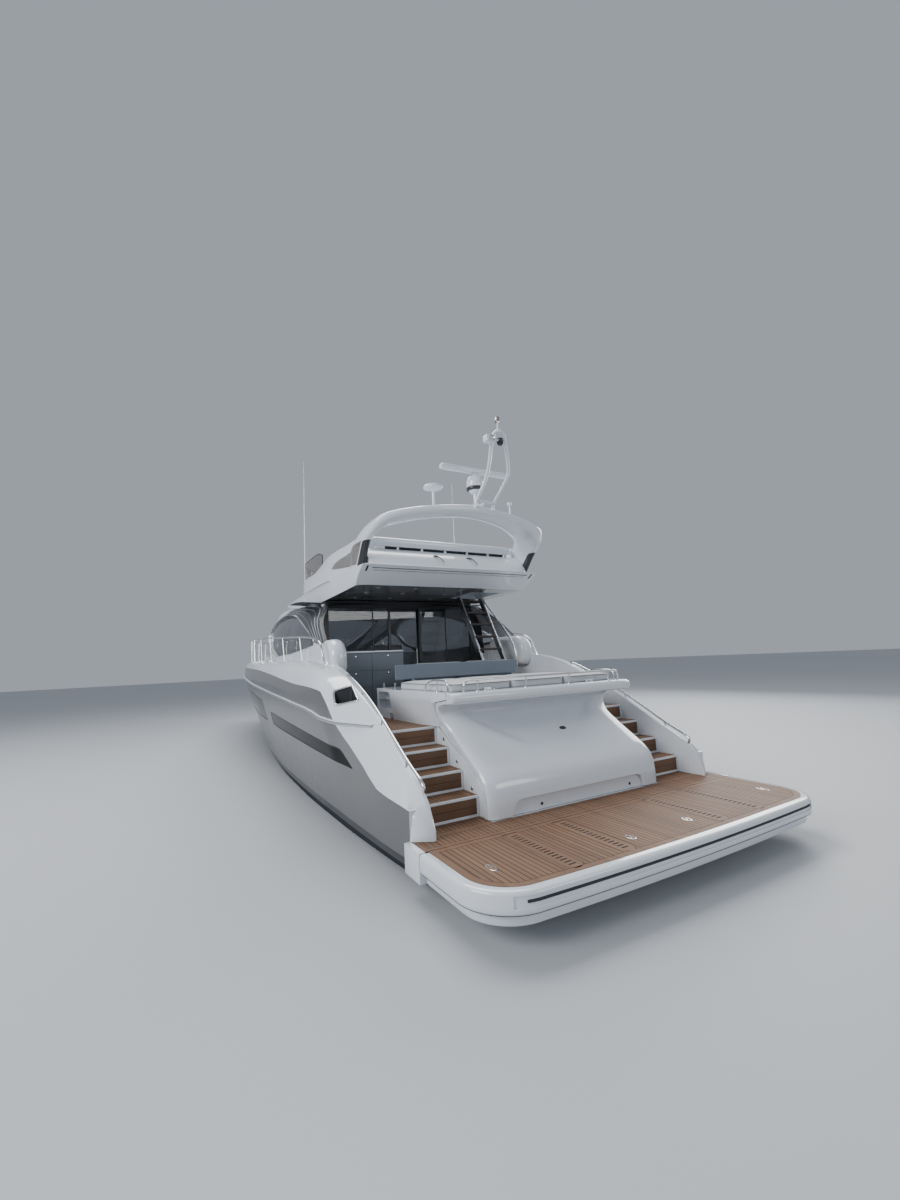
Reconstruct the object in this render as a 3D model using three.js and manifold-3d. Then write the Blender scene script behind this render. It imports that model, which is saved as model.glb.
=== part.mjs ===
// Motor yacht of 20 m with a flybridge, a garage in the transom and a lifting bathing platform.
// Millimetres. x runs forward from the transom foot, y to port, z up from the waterline.
import * as THREE from "three";
import { mergeVertices } from "three/addons/utils/BufferGeometryUtils.js";
import Module from "manifold-3d";

const wasm = await Module();
wasm.setup();

// Driving dimensions
const GAP = 0.5; // between pieces that rest on or in each other
const STEP_LEVEL = 450; // top of the stern step and bathing platform
const SOLE = 1310; // cockpit and saloon floor
const RISERS = 4; // from the stern step up to the cockpit
const STAIR_FOOT = 250; // first riser
const TREAD = 310;
const STAIR_HEAD = STAIR_FOOT + (RISERS - 1) * TREAD; // last riser, up to the cockpit
const WELL_HALF = 1985; // stern well inside the bulwarks
const COCKPIT_HALF = 1900; // cockpit well inside the coamings
const AFT_WALL = 4940; // glass wall of the saloon
const WALL = 60; // thickness of the superstructure
const PANE = 20;
const TEAK = 22;

// Finishes
const finish = (color, roughness, metalness = 0) =>
  new THREE.MeshStandardMaterial({ color, roughness, metalness });
const white = finish(0xf2f4f6, 0.25);
const hullWhite = finish(0xeceef0, 0.15);
const grey = finish(0x8d979f, 0.4);
const teak = finish(0x9a6b45, 0.6);
const steel = finish(0xc8ccd0, 0.15, 1);
const bronze = finish(0xa07840, 0.3, 1);
const glass = finish(0x15181c, 0.05);
const black = finish(0x15171a, 0.4);
const cushion = finish(0xc9c6c0, 0.8);
const antifoul = finish(0x20242a, 0.7);

// Solids
function solid(geometry) {
  const plain = geometry.index ? geometry.toNonIndexed() : geometry.clone();
  const bare = new THREE.BufferGeometry();
  bare.setAttribute("position", plain.getAttribute("position"));
  const merged = mergeVertices(bare, 1e-3);
  const make = (triVerts) =>
    new wasm.Manifold(
      new wasm.Mesh({ numProp: 3, vertProperties: merged.attributes.position.array, triVerts }),
    );
  const triVerts = new Uint32Array(merged.index.array);
  const made = make(triVerts);
  return made.volume() < 0 ? make(triVerts.slice().reverse()) : made;
}

function geometryOf(body) {
  const mesh = body.getMesh();
  const geometry = new THREE.BufferGeometry();
  geometry.setAttribute("position", new THREE.BufferAttribute(new Float32Array(mesh.vertProperties), 3));
  geometry.setIndex(new THREE.BufferAttribute(new Uint32Array(mesh.triVerts), 1));
  return geometry;
}

const join = (...bodies) => bodies.reduce((a, b) => a.add(b));
const cut = (body, ...tools) => tools.reduce((a, b) => a.subtract(b), body);

// Cuts the tools out of a body with a hair of clearance all round.
const CLEAR = 0.6;
function apart(body, ...tools) {
  const shifts = [
    [CLEAR, 0, 0],
    [-CLEAR, 0, 0],
    [0, CLEAR, 0],
    [0, -CLEAR, 0],
    [0, 0, CLEAR],
    [0, 0, -CLEAR],
  ];
  return cut(body, ...tools.flatMap((tool) => shifts.map((shift) => tool.translate(shift))));
}

// Closed skin through rings of points, with flat ends. Each ring is a list of [x, y, z].
function skin(rings, end) {
  const n = rings[0].length;
  const geometry = new THREE.BufferGeometry();
  const index = [];
  for (let r = 0; r + 1 < rings.length; r++) {
    for (let i = 0; i < n; i++) {
      const a = r * n + i;
      const b = r * n + ((i + 1) % n);
      index.push(a, b, b + n, a, b + n, a + n);
    }
  }
  const outline = end.map((p) => new THREE.Vector2(...p));
  const clockwise = THREE.ShapeUtils.isClockWise(outline);
  const last = (rings.length - 1) * n;
  for (const face of THREE.ShapeUtils.triangulateShape(outline, [])) {
    const [a, b, c] = clockwise ? face : face.toReversed();
    index.push(a, b, c, last + a, last + c, last + b);
  }
  geometry.setAttribute("position", new THREE.Float32BufferAttribute(rings.flat(2), 3));
  geometry.setIndex(index);
  return solid(geometry);
}

const mirrorY = (body) => body.mirror([0, 1, 0]);

// Loft along x, alike on both sides. Each station is [x, outline] with the port half's [y, z]
// points from the centreline below to the centreline above.
function loft(stations) {
  const port = skin(
    stations.map(([x, outline]) => outline.map(([y, z]) => [x, y, z])),
    stations[0][1],
  );
  return join(port, mirrorY(port));
}

// Straight-line value of a table's column at x, its first column.
function at(table, column, x) {
  if (x <= table[0][0]) return table[0][column];
  for (let i = 1; i < table.length; i++) {
    const [a, b] = [table[i - 1], table[i]];
    if (x <= b[0]) return a[column] + ((b[column] - a[column]) * (x - a[0])) / (b[0] - a[0]);
  }
  return table.at(-1)[column];
}

function shapeOf(points) {
  return new THREE.Shape(points.map(([a, b]) => new THREE.Vector2(a, b)));
}

// Prisms: an outline of [x, z] drawn out along y, of [x, y] along z, of [y, z] along x.
function alongY(outline, y0, y1) {
  const g = new THREE.ExtrudeGeometry(shapeOf(outline), { depth: y1 - y0, bevelEnabled: false });
  return solid(g.rotateX(Math.PI / 2).translate(0, y1, 0));
}
function alongZ(outline, z0, z1) {
  const g = new THREE.ExtrudeGeometry(shapeOf(outline), { depth: z1 - z0, bevelEnabled: false });
  return solid(g.translate(0, 0, z0));
}
function alongX(outline, x0, x1) {
  const g = new THREE.ExtrudeGeometry(shapeOf(outline), { depth: x1 - x0, bevelEnabled: false });
  return solid(g.applyMatrix4(new THREE.Matrix4().set(0, 0, 1, x0, 1, 0, 0, 0, 0, 1, 0, 0, 0, 0, 0, 1)));
}
function block(x0, x1, y0, y1, z0, z1) {
  const g = new THREE.BoxGeometry(x1 - x0, y1 - y0, z1 - z0);
  return solid(g.translate((x0 + x1) / 2, (y0 + y1) / 2, (z0 + z1) / 2));
}
function rod(from, to, radius, sides = 8, radiusTo = radius) {
  const a = new THREE.Vector3(...from);
  const b = new THREE.Vector3(...to);
  const g = new THREE.CylinderGeometry(radiusTo, radius, a.distanceTo(b), sides);
  const turn = new THREE.Quaternion().setFromUnitVectors(
    new THREE.Vector3(0, 1, 0),
    b.clone().sub(a).normalize(),
  );
  g.applyQuaternion(turn).translate(...a.add(b).multiplyScalar(0.5).toArray());
  return solid(g);
}
function tube(points, radius, steps, sides = 8) {
  const curve = new THREE.CatmullRomCurve3(points.map((p) => new THREE.Vector3(...p)), false, "centripetal");
  const ring = shapeOf(
    Array.from({ length: sides }, (_, i) => {
      const turn = (2 * Math.PI * i) / sides;
      return [radius * Math.cos(turn), radius * Math.sin(turn)];
    }),
  );
  return solid(new THREE.ExtrudeGeometry(ring, { steps, extrudePath: curve, bevelEnabled: false }));
}
function ball(centre, radii, wide = 12, high = 8) {
  const g = new THREE.SphereGeometry(1, wide, high);
  return solid(g.scale(...radii).translate(...centre));
}
// Turned body about an upright axis; the profile is [radius, z] from the axis to the axis.
function turned(profile, centre, sides = 16) {
  const g = new THREE.LatheGeometry(profile.map(([r, z]) => new THREE.Vector2(r, z)), sides);
  return solid(g.rotateX(Math.PI / 2).translate(...centre));
}

// Open line moved to its right-hand side by each point's own distance.
function shifted(line, distance) {
  return line.map(([x, z], i) => {
    const before = line[Math.max(i - 1, 0)];
    const after = line[Math.min(i + 1, line.length - 1)];
    const [dx, dz] = [after[0] - before[0], after[1] - before[1]];
    const share = distance(i) / Math.hypot(dx, dz);
    return [x + dz * share, z - dx * share];
  });
}

const yacht = new THREE.Group();
function add(name, body, material, parent = yacht) {
  const mesh = new THREE.Mesh(geometryOf(body), material);
  mesh.name = name;
  parent.add(mesh);
  return mesh;
}
function pair(name, portBody, material) {
  add(name + "_port", portBody, material);
  add(name + "_starboard", mirrorY(portBody), material);
}

// Hull. Columns: x, keel z, chine y, chine z, rail y, rail z, sheer y, sheer z
const HULL = [
  [0, -640, 2030, 30, 2130, 380, 2190, 720],
  [700, -670, 2072, 23, 2200, 430, 2252, 800],
  [1050, -690, 2092, 21, 2230, 520, 2270, 970],
  [1400, -710, 2110, 19, 2255, 620, 2290, 1130],
  [1950, -742, 2132, 15, 2320, 900, 2345, 1400],
  [2350, -766, 2143, 12, 2418, 1430, 2408, 1780],
  [4000, -840, 2170, 10, 2475, 1560, 2450, 1870],
  [5700, -890, 2162, 36, 2497, 1645, 2478, 2000],
  [8000, -940, 2080, 110, 2500, 1760, 2470, 2130],
  [10000, -940, 1930, 230, 2440, 1870, 2400, 2180],
  [12000, -880, 1660, 430, 2270, 1955, 2230, 2225],
  [14000, -680, 1240, 720, 1930, 2030, 1900, 2290],
  [15500, -330, 850, 980, 1510, 2080, 1500, 2340],
  [16600, 150, 520, 1200, 1090, 2110, 1090, 2370],
  [17400, 700, 270, 1420, 700, 2140, 710, 2390],
  [17900, 1200, 130, 1640, 400, 2160, 430, 2405],
  [18150, 1560, 60, 1800, 170, 2175, 190, 2410],
];
const CHINE_FLAT = 130;
const hullSolid = loft(
  HULL.map(([x, keel, chineY, chineZ, railY, railZ, sheerY, sheerZ]) => [
    x,
    [
      [0, keel],
      [Math.max(chineY - CHINE_FLAT, chineY / 2), chineZ - 15],
      [chineY, chineZ],
      [railY, railZ],
      [sheerY, sheerZ],
      [0, sheerZ],
    ],
  ]),
);

// Deck. Columns: x, face y, face z, cap y, cap z: halfway up the bulwark's face and its top edge
const DECK = [
  [-140, 2008, 500, 1998, 540],
  [-30, 2150, 640, 2005, 740],
  [90, 2130, 800, 2005, 860],
  [440, 2150, 910, 2005, 1050],
  [920, 2165, 1120, 2005, 1310],
  [1470, 2185, 1420, 2010, 1610],
  [1950, 2215, 1650, 2020, 1810],
  [2350, 2290, 1900, 2050, 1975],
  [3000, 2320, 2050, 2090, 2130],
  [4000, 2360, 2100, 2150, 2220],
  [6000, 2400, 2190, 2250, 2270],
  [8000, 2410, 2240, 2270, 2290],
  [10000, 2350, 2270, 2240, 2310],
  [12000, 2190, 2310, 2090, 2350],
  [14000, 1860, 2370, 1770, 2400],
  [15500, 1450, 2415, 1380, 2440],
  [16600, 1050, 2440, 980, 2460],
  [17400, 670, 2450, 600, 2475],
  [17900, 395, 2460, 330, 2485],
  [18150, 160, 2465, 120, 2490],
];
// The deck's foot stands on the hull's sheer, and aft of the transom on the stern step: [x, y]
const HEEL = [
  [-140, 2010],
  [-30, 2180],
  [-1, 2190],
];
const deckFoot = (x) =>
  x < 0 ? [at(HEEL, 1, x), STEP_LEVEL + GAP] : [at(HULL, 6, x), at(HULL, 7, x) + GAP];
const columnX = (...tables) => [...new Set(tables.flat().map((row) => row[0]))].sort((a, b) => a - b);
const CROWNED_FROM = 10000; // the foredeck is crowned by 60
function deckLoft(drop) {
  return loft(
    columnX(HEEL, HULL, DECK).map((x) => {
      const [footY, footZ] = deckFoot(x);
      const [faceY, faceZ, capY, capZ] = [1, 2, 3, 4].map((column) => at(DECK, column, x));
      return [
        x,
        [
          [0, footZ - drop],
          [footY, footZ - drop],
          [faceY, faceZ],
          [capY * 0.8 + faceY * 0.2, capZ * 0.92 + faceZ * 0.08],
          [capY, capZ],
          [0, capZ + (x > CROWNED_FROM ? 60 : 0)],
        ],
      ];
    }),
  );
}
const deckSolid = deckLoft(0);

// Superstructure. Columns: x, base y, shoulder y, shoulder z, crown z
const CABIN = [
  [3700, 1985, 1700, 3180, 3240],
  [4940, 1990, 1700, 3290, 3340],
  [6500, 2020, 1740, 3400, 3460],
  [8200, 2020, 1740, 3520, 3590],
  [9300, 1990, 1700, 3530, 3620],
  [10000, 1940, 1620, 3370, 3500],
  [11000, 1830, 1480, 3040, 3200],
  [12000, 1680, 1340, 2740, 2880],
  [13000, 1420, 1180, 2500, 2600],
];
const CABIN_FOOT = 2000;
function cabinLoft(margin, ends = 0) {
  return loft(
    CABIN.map(([x, baseY, shoulderY, shoulderZ, crownZ], i) => [
      i ? x : x - ends,
      [
        [0, CABIN_FOOT - ends],
        [baseY - margin, CABIN_FOOT - ends],
        [baseY - margin, 2300],
        [shoulderY * 0.25 + baseY * 0.75 - margin + 15, shoulderZ * 0.6 + 2300 * 0.4],
        [shoulderY + 20 - margin, shoulderZ - 60 - margin / 2],
        [shoulderY - 90 - margin, shoulderZ + 25 - margin],
        [0, crownZ - margin],
      ],
    ]),
  );
}
const cabinOuter = cabinLoft(0);
const cabinInner = cabinLoft(WALL, 300);

// Windows in the sides, seen from port as [x, z]
const SIDE_WINDOW = [
  [4430, 2500],
  [4520, 2610],
  [5300, 2890],
  [6300, 3180],
  [7250, 3340],
  [8050, 3400],
  [9100, 3330],
  [9800, 3110],
  [9300, 2720],
  [8080, 2400],
  [6200, 2410],
];
const QUARTER_WINDOW = [
  [9960, 3080],
  [10900, 2850],
  [11900, 2560],
  [10600, 2480],
  [9500, 2440],
  [8500, 2410],
  [9420, 2670],
];
// Windscreen seen from above, port half, as [x, y]
const WINDSCREEN = [
  [9850, 0],
  [9800, 1250],
  [10900, 1130],
  [12050, 900],
  [12350, 0],
];

// Wells and rooms cut into the hull
const WELL_FLOOR = STEP_LEVEL - TEAK - 2 * GAP;
const SOLE_FLOOR = SOLE - TEAK - GAP;
const COCKPIT_PLAN = [
  [STAIR_HEAD, WELL_HALF],
  [2900, WELL_HALF],
  [3300, COCKPIT_HALF],
  [AFT_WALL - 200, COCKPIT_HALF],
  [AFT_WALL - 200, 1860],
  [AFT_WALL, 1860],
];
const CUT_TOP = 3000; // the wells are cut this high, clear of the deck
// Outline alike on both sides from its port half's [x, y], which may end on the centreline
const bothSides = (half) => [
  ...half.map(([x, y]) => [x, -y]),
  ...half.toReversed().filter(([, y]) => y > 0),
];
const sternWell = (floor) => block(-600, STAIR_HEAD + 1, -WELL_HALF, WELL_HALF, floor, CUT_TOP);
const cockpitWell = alongZ(bothSides(COCKPIT_PLAN), SOLE_FLOOR, CUT_TOP);
const saloonWell = alongZ(
  [
    [AFT_WALL - 20, -1860],
    [10200, -1760],
    [11900, -1350],
    [11900, 1350],
    [10200, 1760],
    [AFT_WALL - 20, 1860],
  ],
  SOLE,
  CUT_TOP,
);
const GARAGE = { fore: 2250, half: 1180 };
const garageHold = block(-300, GARAGE.fore, -GARAGE.half, GARAGE.half, WELL_FLOOR - 10, 2400);
const ENGINE_ROOM = { aft: 2500, fore: 4700, half: 1450, floor: 0 };
const engineRoom = block(
  ENGINE_ROOM.aft,
  ENGINE_ROOM.fore,
  -ENGINE_ROOM.half,
  ENGINE_ROOM.half,
  ENGINE_ROOM.floor,
  SOLE + 400,
);

// Propeller shafts slope down aft
const SHAFT = { y: 900, propX: 1100, propZ: -840, foreX: 3000, slope: 0.19, radius: 32 };
const shaftZ = (x) => SHAFT.propZ + SHAFT.slope * (x - SHAFT.propX);
const shaftPoint = (x) => [x, SHAFT.y, shaftZ(x)];
const shaftHole = rod(shaftPoint(SHAFT.propX), shaftPoint(SHAFT.foreX + 700), SHAFT.radius + 8, 12);

// Rudder stocks turn in round holes
const RUDDER = { x: 420, y: 900, stock: 28, gap: 0.8 };
const stockAt = (z0, z1, radius) => rod([RUDDER.x, RUDDER.y, z0], [RUDDER.x, RUDDER.y, z1], radius, 24);
const stockHole = stockAt(-500, -200, RUDDER.stock + RUDDER.gap);

// Windows in the topsides are shallow recesses, as [x, z]
const AFT_LIGHT = [
  [1420, 880],
  [1800, 1080],
  [5700, 1250],
  [6300, 1270],
  [6250, 1030],
  [3540, 950],
];
const FORE_LIGHT = [
  [7000, 1000],
  [7250, 1480],
  [10400, 1620],
  [11000, 1540],
  [10300, 1130],
];
const LIGHT_DEPTH = 12;
const topside = loft(
  HULL.map(([x, keel, chineY, chineZ, railY, railZ, sheerY, sheerZ]) => [
    x,
    [
      [0, keel],
      [Math.max(chineY - CHINE_FLAT, chineY / 2), chineZ - 15],
      [Math.max(chineY - LIGHT_DEPTH, 20), chineZ],
      [Math.max(railY - LIGHT_DEPTH, 30), railZ],
      [Math.max(sheerY - LIGHT_DEPTH, 30), sheerZ],
      [0, sheerZ],
    ],
  ]),
);
const hullSkin = cut(hullSolid, topside);
const lightCut = (outline) => alongY(outline, -3000, 3000).intersect(hullSkin);
const ARM = { y: 500, hull: [-80, -380], platform: [-773, 20], half: 30 };
const PIN = { radius: 20, hole: 20.6 };
const pinAt = ([x, z], y0, y1, radius) => rod([x, y0, z], [x, y1, z], radius, 16);
const armBrackets = [1, -1].map((side) =>
  cut(
    block(-140, 20, side * ARM.y - 35, side * ARM.y + 35, ARM.hull[1] - 55, ARM.hull[1] + 80),
    pinAt(ARM.hull, side * ARM.y - 60, side * ARM.y + 60, PIN.hole),
  ),
);
const hull = cut(
  join(hullSolid, ...armBrackets),
  sternWell(WELL_FLOOR),
  cockpitWell,
  saloonWell,
  garageHold,
  engineRoom,
  shaftHole,
  mirrorY(shaftHole),
  stockHole,
  mirrorY(stockHole),
  lightCut(AFT_LIGHT),
  lightCut(FORE_LIGHT),
);
add("hull", hull, hullWhite);

// Rubbing strake of rubber and steel along the rail, kinked on to the quarter
const RAIL_SIDE = 30;
const STRAKE_END = [
  [1200, 2075, 1385],
  [1470, 2198, 1392],
  [1950, 2345, 1400],
];
function strake() {
  const line = HULL.filter((r) => r[0] > 2000).map((r) => [r[0], r[4], r[5]]);
  const rings = [...STRAKE_END, ...line].map(([x, y, z]) => [
    [x, y - 60, z - RAIL_SIDE],
    [x, y + 22, z - RAIL_SIDE],
    [x, y + 45, z],
    [x, y + 22, z + RAIL_SIDE],
    [x, y - 60, z + RAIL_SIDE],
  ]);
  return skin(rings, [[0, 0], [82, 0], [105, 30], [82, 60], [0, 60]]);
}
const hullAndDeck = join(hullSolid, deckSolid);
pair("rubbing_strake", apart(strake(), hullAndDeck), steel);

// Deck moulding: bulwarks, side decks and foredeck with a low trunk
const FAIRLEAD = [
  [2170, 2280],
  [2050, 2290],
  [1700, 2085],
  [2050, 2060],
];
const FAIRLEAD_FLOOR = 1570;
const TRUNK = [
  [12200, 1480, 2520],
  [13000, 1400, 2540],
  [14500, 1000, 2560],
  [15900, 520, 2540],
];
const trunkX = columnX(TRUNK, HULL).filter((x) => x >= TRUNK[0][0] && x <= TRUNK.at(-1)[0]);
const trunk = loft(
  trunkX.map((x) => {
    const foot = at(HULL, 7, x) + 2 * GAP;
    const [y, z] = [at(TRUNK, 1, x), at(TRUNK, 2, x)];
    return [x, [[0, foot], [y, foot], [y - 60, z], [0, z + 50]]];
  }),
);
const fairleadHole = alongZ(FAIRLEAD, FAIRLEAD_FLOOR, CUT_TOP);
// Hatches in the foredeck. Rows: aft x, fore x, half-width, seat depth
const LOCKER = { aft: 16150, fore: 16750, half: 300, depth: 200 };
const SKYLIGHT = { aft: 13600, fore: 14200, half: 300, depth: 110 };
const HATCH_TOP = 2620;
const hatchHole = ({ aft, fore, half, depth }) =>
  block(aft, fore, -half, half, HATCH_TOP - depth - 60, HATCH_TOP + 200);
const deck = cut(
  join(deckSolid, trunk),
  sternWell(STEP_LEVEL - 30),
  cockpitWell,
  saloonWell,
  garageHold,
  fairleadHole,
  mirrorY(fairleadHole),
  hatchHole(LOCKER),
  hatchHole(SKYLIGHT),
);
add("deck_moulding", deck, white);
const deckSpace = join(deckLoft(400), trunk).translate([0, 0, GAP]);

// Saloon shell with its windows, and wings that run down aft to the cockpit
const WING = [
  [3600, 1900],
  [3600, 2300],
  [3720, 2480],
  [4940, 3400],
  [4940, 3700],
  [3000, 3700],
  [3000, 1900],
];
const BAY_HALF = 1640; // between the wings, where the roof is the flybridge's underside
const sideOpening = (outline) => {
  const tool = alongY(outline, 900, 2600);
  return join(tool, mirrorY(tool));
};
const screenHalf = alongZ(WINDSCREEN, 2300, 4000);
const screenOpening = join(screenHalf, mirrorY(screenHalf));
const shell = cut(
  cabinOuter,
  cabinInner,
  deckSpace,
  alongY(WING, -2600, 2600),
  block(3000, AFT_WALL + 60, -BAY_HALF, BAY_HALF, 1800, 4000),
  sideOpening(SIDE_WINDOW),
  sideOpening(QUARTER_WINDOW),
  screenOpening,
);
add("saloon_shell", shell, white);

// Glass stands behind the shell, one sheet to a side and one in front
const glassSkin = cut(cabinLoft(WALL + GAP, 300), cabinLoft(WALL + PANE, 300), deckSpace);
const SIDE_GLASS = [
  [4400, 2440],
  [5300, 2960],
  [7250, 3420],
  [9200, 3420],
  [12100, 2600],
  [11000, 2430],
  [8000, 2370],
];
const sideGlass = alongY(SIDE_GLASS, 1240, 2600).intersect(glassSkin);
pair("side_glass", sideGlass, glass);
const SCREEN_GLASS_HALF = 1235;
const screenGlass = cut(
  block(9700, 12420, -SCREEN_GLASS_HALF, SCREEN_GLASS_HALF, 2400, 4000).intersect(glassSkin),
  sideGlass,
);
add("windscreen", screenGlass, glass);

// Glass wall between cockpit and saloon: two panes in one frame, and a sliding door
const WALL_FRAME = { thick: 50, top: 3379, sill: 60 };
const DOORWAY = { starboard: -330, port: 300 };
const PANES = [
  [350, 1570],
  [-1570, -380],
];
const wallBand = (half, z0, z1) => block(AFT_WALL, AFT_WALL + WALL_FRAME.thick, -half, half, z0, z1);
const wallOpening = (y0, y1, z0) => block(AFT_WALL - 10, AFT_WALL + 90, y0, y1, z0, 3230);
const wallSheet = cut(
  apart(
    join(
      wallBand(1858, SOLE + GAP, 2260),
      wallBand(2000, 2250, 3250).intersect(cabinLoft(WALL + 1, 300)),
      wallBand(BAY_HALF - 5, 3000, WALL_FRAME.top),
    ),
    deck,
    sideGlass,
    mirrorY(sideGlass),
  ),
  wallOpening(DOORWAY.starboard, DOORWAY.port, SOLE + 12),
  ...PANES.map(([from, to]) => wallOpening(from, to, SOLE + WALL_FRAME.sill)),
);
const wallPanes = PANES.map(([from, to]) =>
  block(AFT_WALL + 15, AFT_WALL + 15 + PANE, from - 5, to + 5, SOLE + WALL_FRAME.sill - 5, 3235),
);
add("aft_glass_wall", join(wallSheet, ...wallPanes), glass);
const DOOR = { x: AFT_WALL + 60, thick: 34, overlap: 40 };
const doorBand = (y0, y1, z0, z1) => block(DOOR.x, DOOR.x + DOOR.thick, y0, y1, z0, z1);
const doorEdge = [DOORWAY.starboard - DOOR.overlap, DOORWAY.port + DOOR.overlap];
const door = join(
  doorBand(...doorEdge, SOLE + 8, 3250),
  doorBand(doorEdge[0] + 60, doorEdge[0] + 160, SOLE + 0.7, SOLE + 9),
  doorBand(doorEdge[1] - 160, doorEdge[1] - 60, SOLE + 0.7, SOLE + 9),
);
add("saloon_door", door, glass);

// Flybridge moulding. Columns: x, low edge y, low edge z, top edge y, top edge z, underside z
const FLY = [
  [2600, 1630, 3385, 1665, 3640, 3390],
  [4400, 1655, 3365, 1660, 3715, 3390],
  [5750, 1655, 3365, 1640, 3760, 3400],
  [7500, 1640, 3520, 1560, 3800, 3500],
  [8700, 1600, 3690, 1450, 3850, 3560],
  [9300, 1480, 3780, 1300, 3875, 3590],
  [9800, 1000, 3790, 850, 3850, 3650],
];
const FLY_FLOOR = 3640;
// The aft fascia leans forward on its way down
const FASCIA = [
  [2500, 3640],
  [2610, 3640],
  [3060, 3385],
  [3060, 3300],
  [2500, 3300],
];
const FLY_WELL = [
  [3150, 1480],
  [5000, 1470],
  [6700, 1410],
  [7350, 1290],
  [7900, 930],
  [8200, 450],
  [8260, 0],
];
const FLY_HATCH = { aft: 3500, fore: 4400, starboard: -1440, port: -800, lid: 30 };
const flyWell = alongZ(bothSides(FLY_WELL), FLY_FLOOR, 4000);
const flyHatchHole = block(
  FLY_HATCH.aft,
  FLY_HATCH.fore,
  FLY_HATCH.starboard,
  FLY_HATCH.port,
  3300,
  4000,
);
const fly = cut(
  apart(
    loft(
      FLY.map(([x, lowY, lowZ, topY, topZ, under]) => [
        x,
        [[0, under], [lowY - 180, under], [lowY, lowZ], [topY, topZ], [0, topZ + 10]],
      ]),
    ),
    join(cabinOuter, block(AFT_WALL, 6000, -1635, 1635, 2600, 3380)),
  ),
  alongY(FASCIA, -2000, 2000),
  flyWell,
  flyHatchHole,
);
add("flybridge_moulding", fly, white);

// Coaming round the flybridge, with a tinted light in each side
const COAMING = [
  [3120, 1550],
  [5000, 1535],
  [6700, 1475],
  [7450, 1340],
  [8030, 970],
  [8330, 480],
  [8400, 0],
];
const COAMING_WALL = 60;
const COAMING_TOP = [
  [3000, 3400],
  [3000, 4130],
  [4690, 4095],
  [6700, 4190],
  [8500, 4210],
  [8500, 3400],
];
const ringPlan = (line, wall, z0, z1) => {
  const inner = line.map(([x, y], i) => [
    i === line.length - 1 ? x - wall : x - (i > 2 ? wall * 0.7 : 0),
    Math.max(0, y - wall),
  ]);
  const hollow = [[line[0][0] - 100, inner[0][1]], ...inner.slice(1)];
  return cut(alongZ(bothSides(line), z0, z1), alongZ(bothSides(hollow), z0 - 1, z1 + 1));
};
const coamingFoot = apart(fly, flyWell);
const coaming = cut(
  ringPlan(COAMING, COAMING_WALL, 3600, 4400).intersect(alongY(COAMING_TOP, -1700, 1700)),
  fly.translate([0, 0, GAP]),
  coamingFoot.translate([0, 0, GAP]),
);

// Arch. Columns: outer y, outer z, inner y, inner z, aft x, fore x
const ARCH = [
  [1630, 3660, 1520, 3660, 2840, 3560],
  [1650, 3950, 1530, 3960, 2600, 3440],
  [1650, 4100, 1510, 4050, 2410, 3260],
  [1575, 4250, 1420, 4160, 2240, 3060],
  [1430, 4350, 1290, 4230, 2100, 2860],
  [1000, 4450, 950, 4310, 2000, 2640],
  [500, 4510, 480, 4370, 1930, 2460],
  [0, 4540, 0, 4395, 1890, 2400],
];
const archRing = ([outY, outZ, inY, inZ, aft, fore], side) => {
  const [midY, midZ] = [(outY + inY) / 2, (outZ + inZ) / 2];
  const chord = fore - aft;
  return [
    [aft, midY, midZ],
    [aft + chord * 0.1, outY, outZ],
    [fore - chord * 0.3, outY, outZ],
    [fore, midY, midZ],
    [fore - chord * 0.3, inY, inZ],
    [aft + chord * 0.1, inY, inZ],
  ].map(([x, y, z]) => [x, side * y, z]);
};
const archRings = [
  ...ARCH.map((row) => archRing(row, 1)),
  ...ARCH.slice(0, -1)
    .reverse()
    .map((row) => archRing(row, -1)),
];
const archEnd = archRings[0].map(([x, y]) => [x, y]);
const archFull = skin(archRings, archEnd);
const arch = apart(cut(archFull, fly.translate([0, 0, GAP])), coamingFoot);
add("radar_arch", arch, white);
add("flybridge_coaming", apart(coaming, arch), white);

// Flybridge fittings: windscreen, seats, helm and stairs up from the cockpit
const screenLine = COAMING.slice(2).map(([x, y]) => [x - 12, y - 12]);
const flyScreen = ringPlan([[7000, 1415], ...screenLine.slice(1, -1), [8388, 0]], 20, 4000, 4460);
const SCREEN_SLOPE = [
  [7000, 4080],
  [7000, 4260],
  [7400, 4440],
  [8500, 4440],
  [8500, 4080],
];
add(
  "flybridge_windscreen",
  apart(flyScreen.intersect(alongY(SCREEN_SLOPE, -1700, 1700)), coaming),
  glass,
);
const FLY_BACK = [
  [2690, 3650],
  [3000, 4000],
  [3110, 4000],
  [3110, 3600],
  [2690, 3600],
];
const FLY_BACK_BAND = [
  [2995, 4040],
  [2985, 4165],
  [3020, 4190],
  [3080, 4190],
  [3110, 4160],
  [3110, 4040],
];
const BACK_HALF = { foot: 1515, band: 1400 };
const flyBack = join(
  alongY(FLY_BACK, -BACK_HALF.foot, BACK_HALF.foot),
  alongY(FLY_BACK_BAND, -BACK_HALF.band, BACK_HALF.band),
  ...[-1300, -450, 450, 1300].map((y) => block(3035, 3075, y - 20, y + 20, 3990, 4050)),
);
add("flybridge_aft_seat_back", apart(flyBack, fly), white);
const flySeat = apart(
  join(
    block(3160, 3480, -700, 1400, FLY_FLOOR + GAP, FLY_FLOOR + 400),
    block(3160, 5400, 900, 1400, FLY_FLOOR + GAP, FLY_FLOOR + 400),
  ),
  arch,
  coaming,
);
add("flybridge_seat", flySeat, cushion);
const CONSOLE = [
  [7000, FLY_FLOOR + GAP],
  [7000, 4150],
  [7120, 4300],
  [7500, 4330],
  [7620, 4200],
  [7620, FLY_FLOOR + GAP],
];

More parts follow.
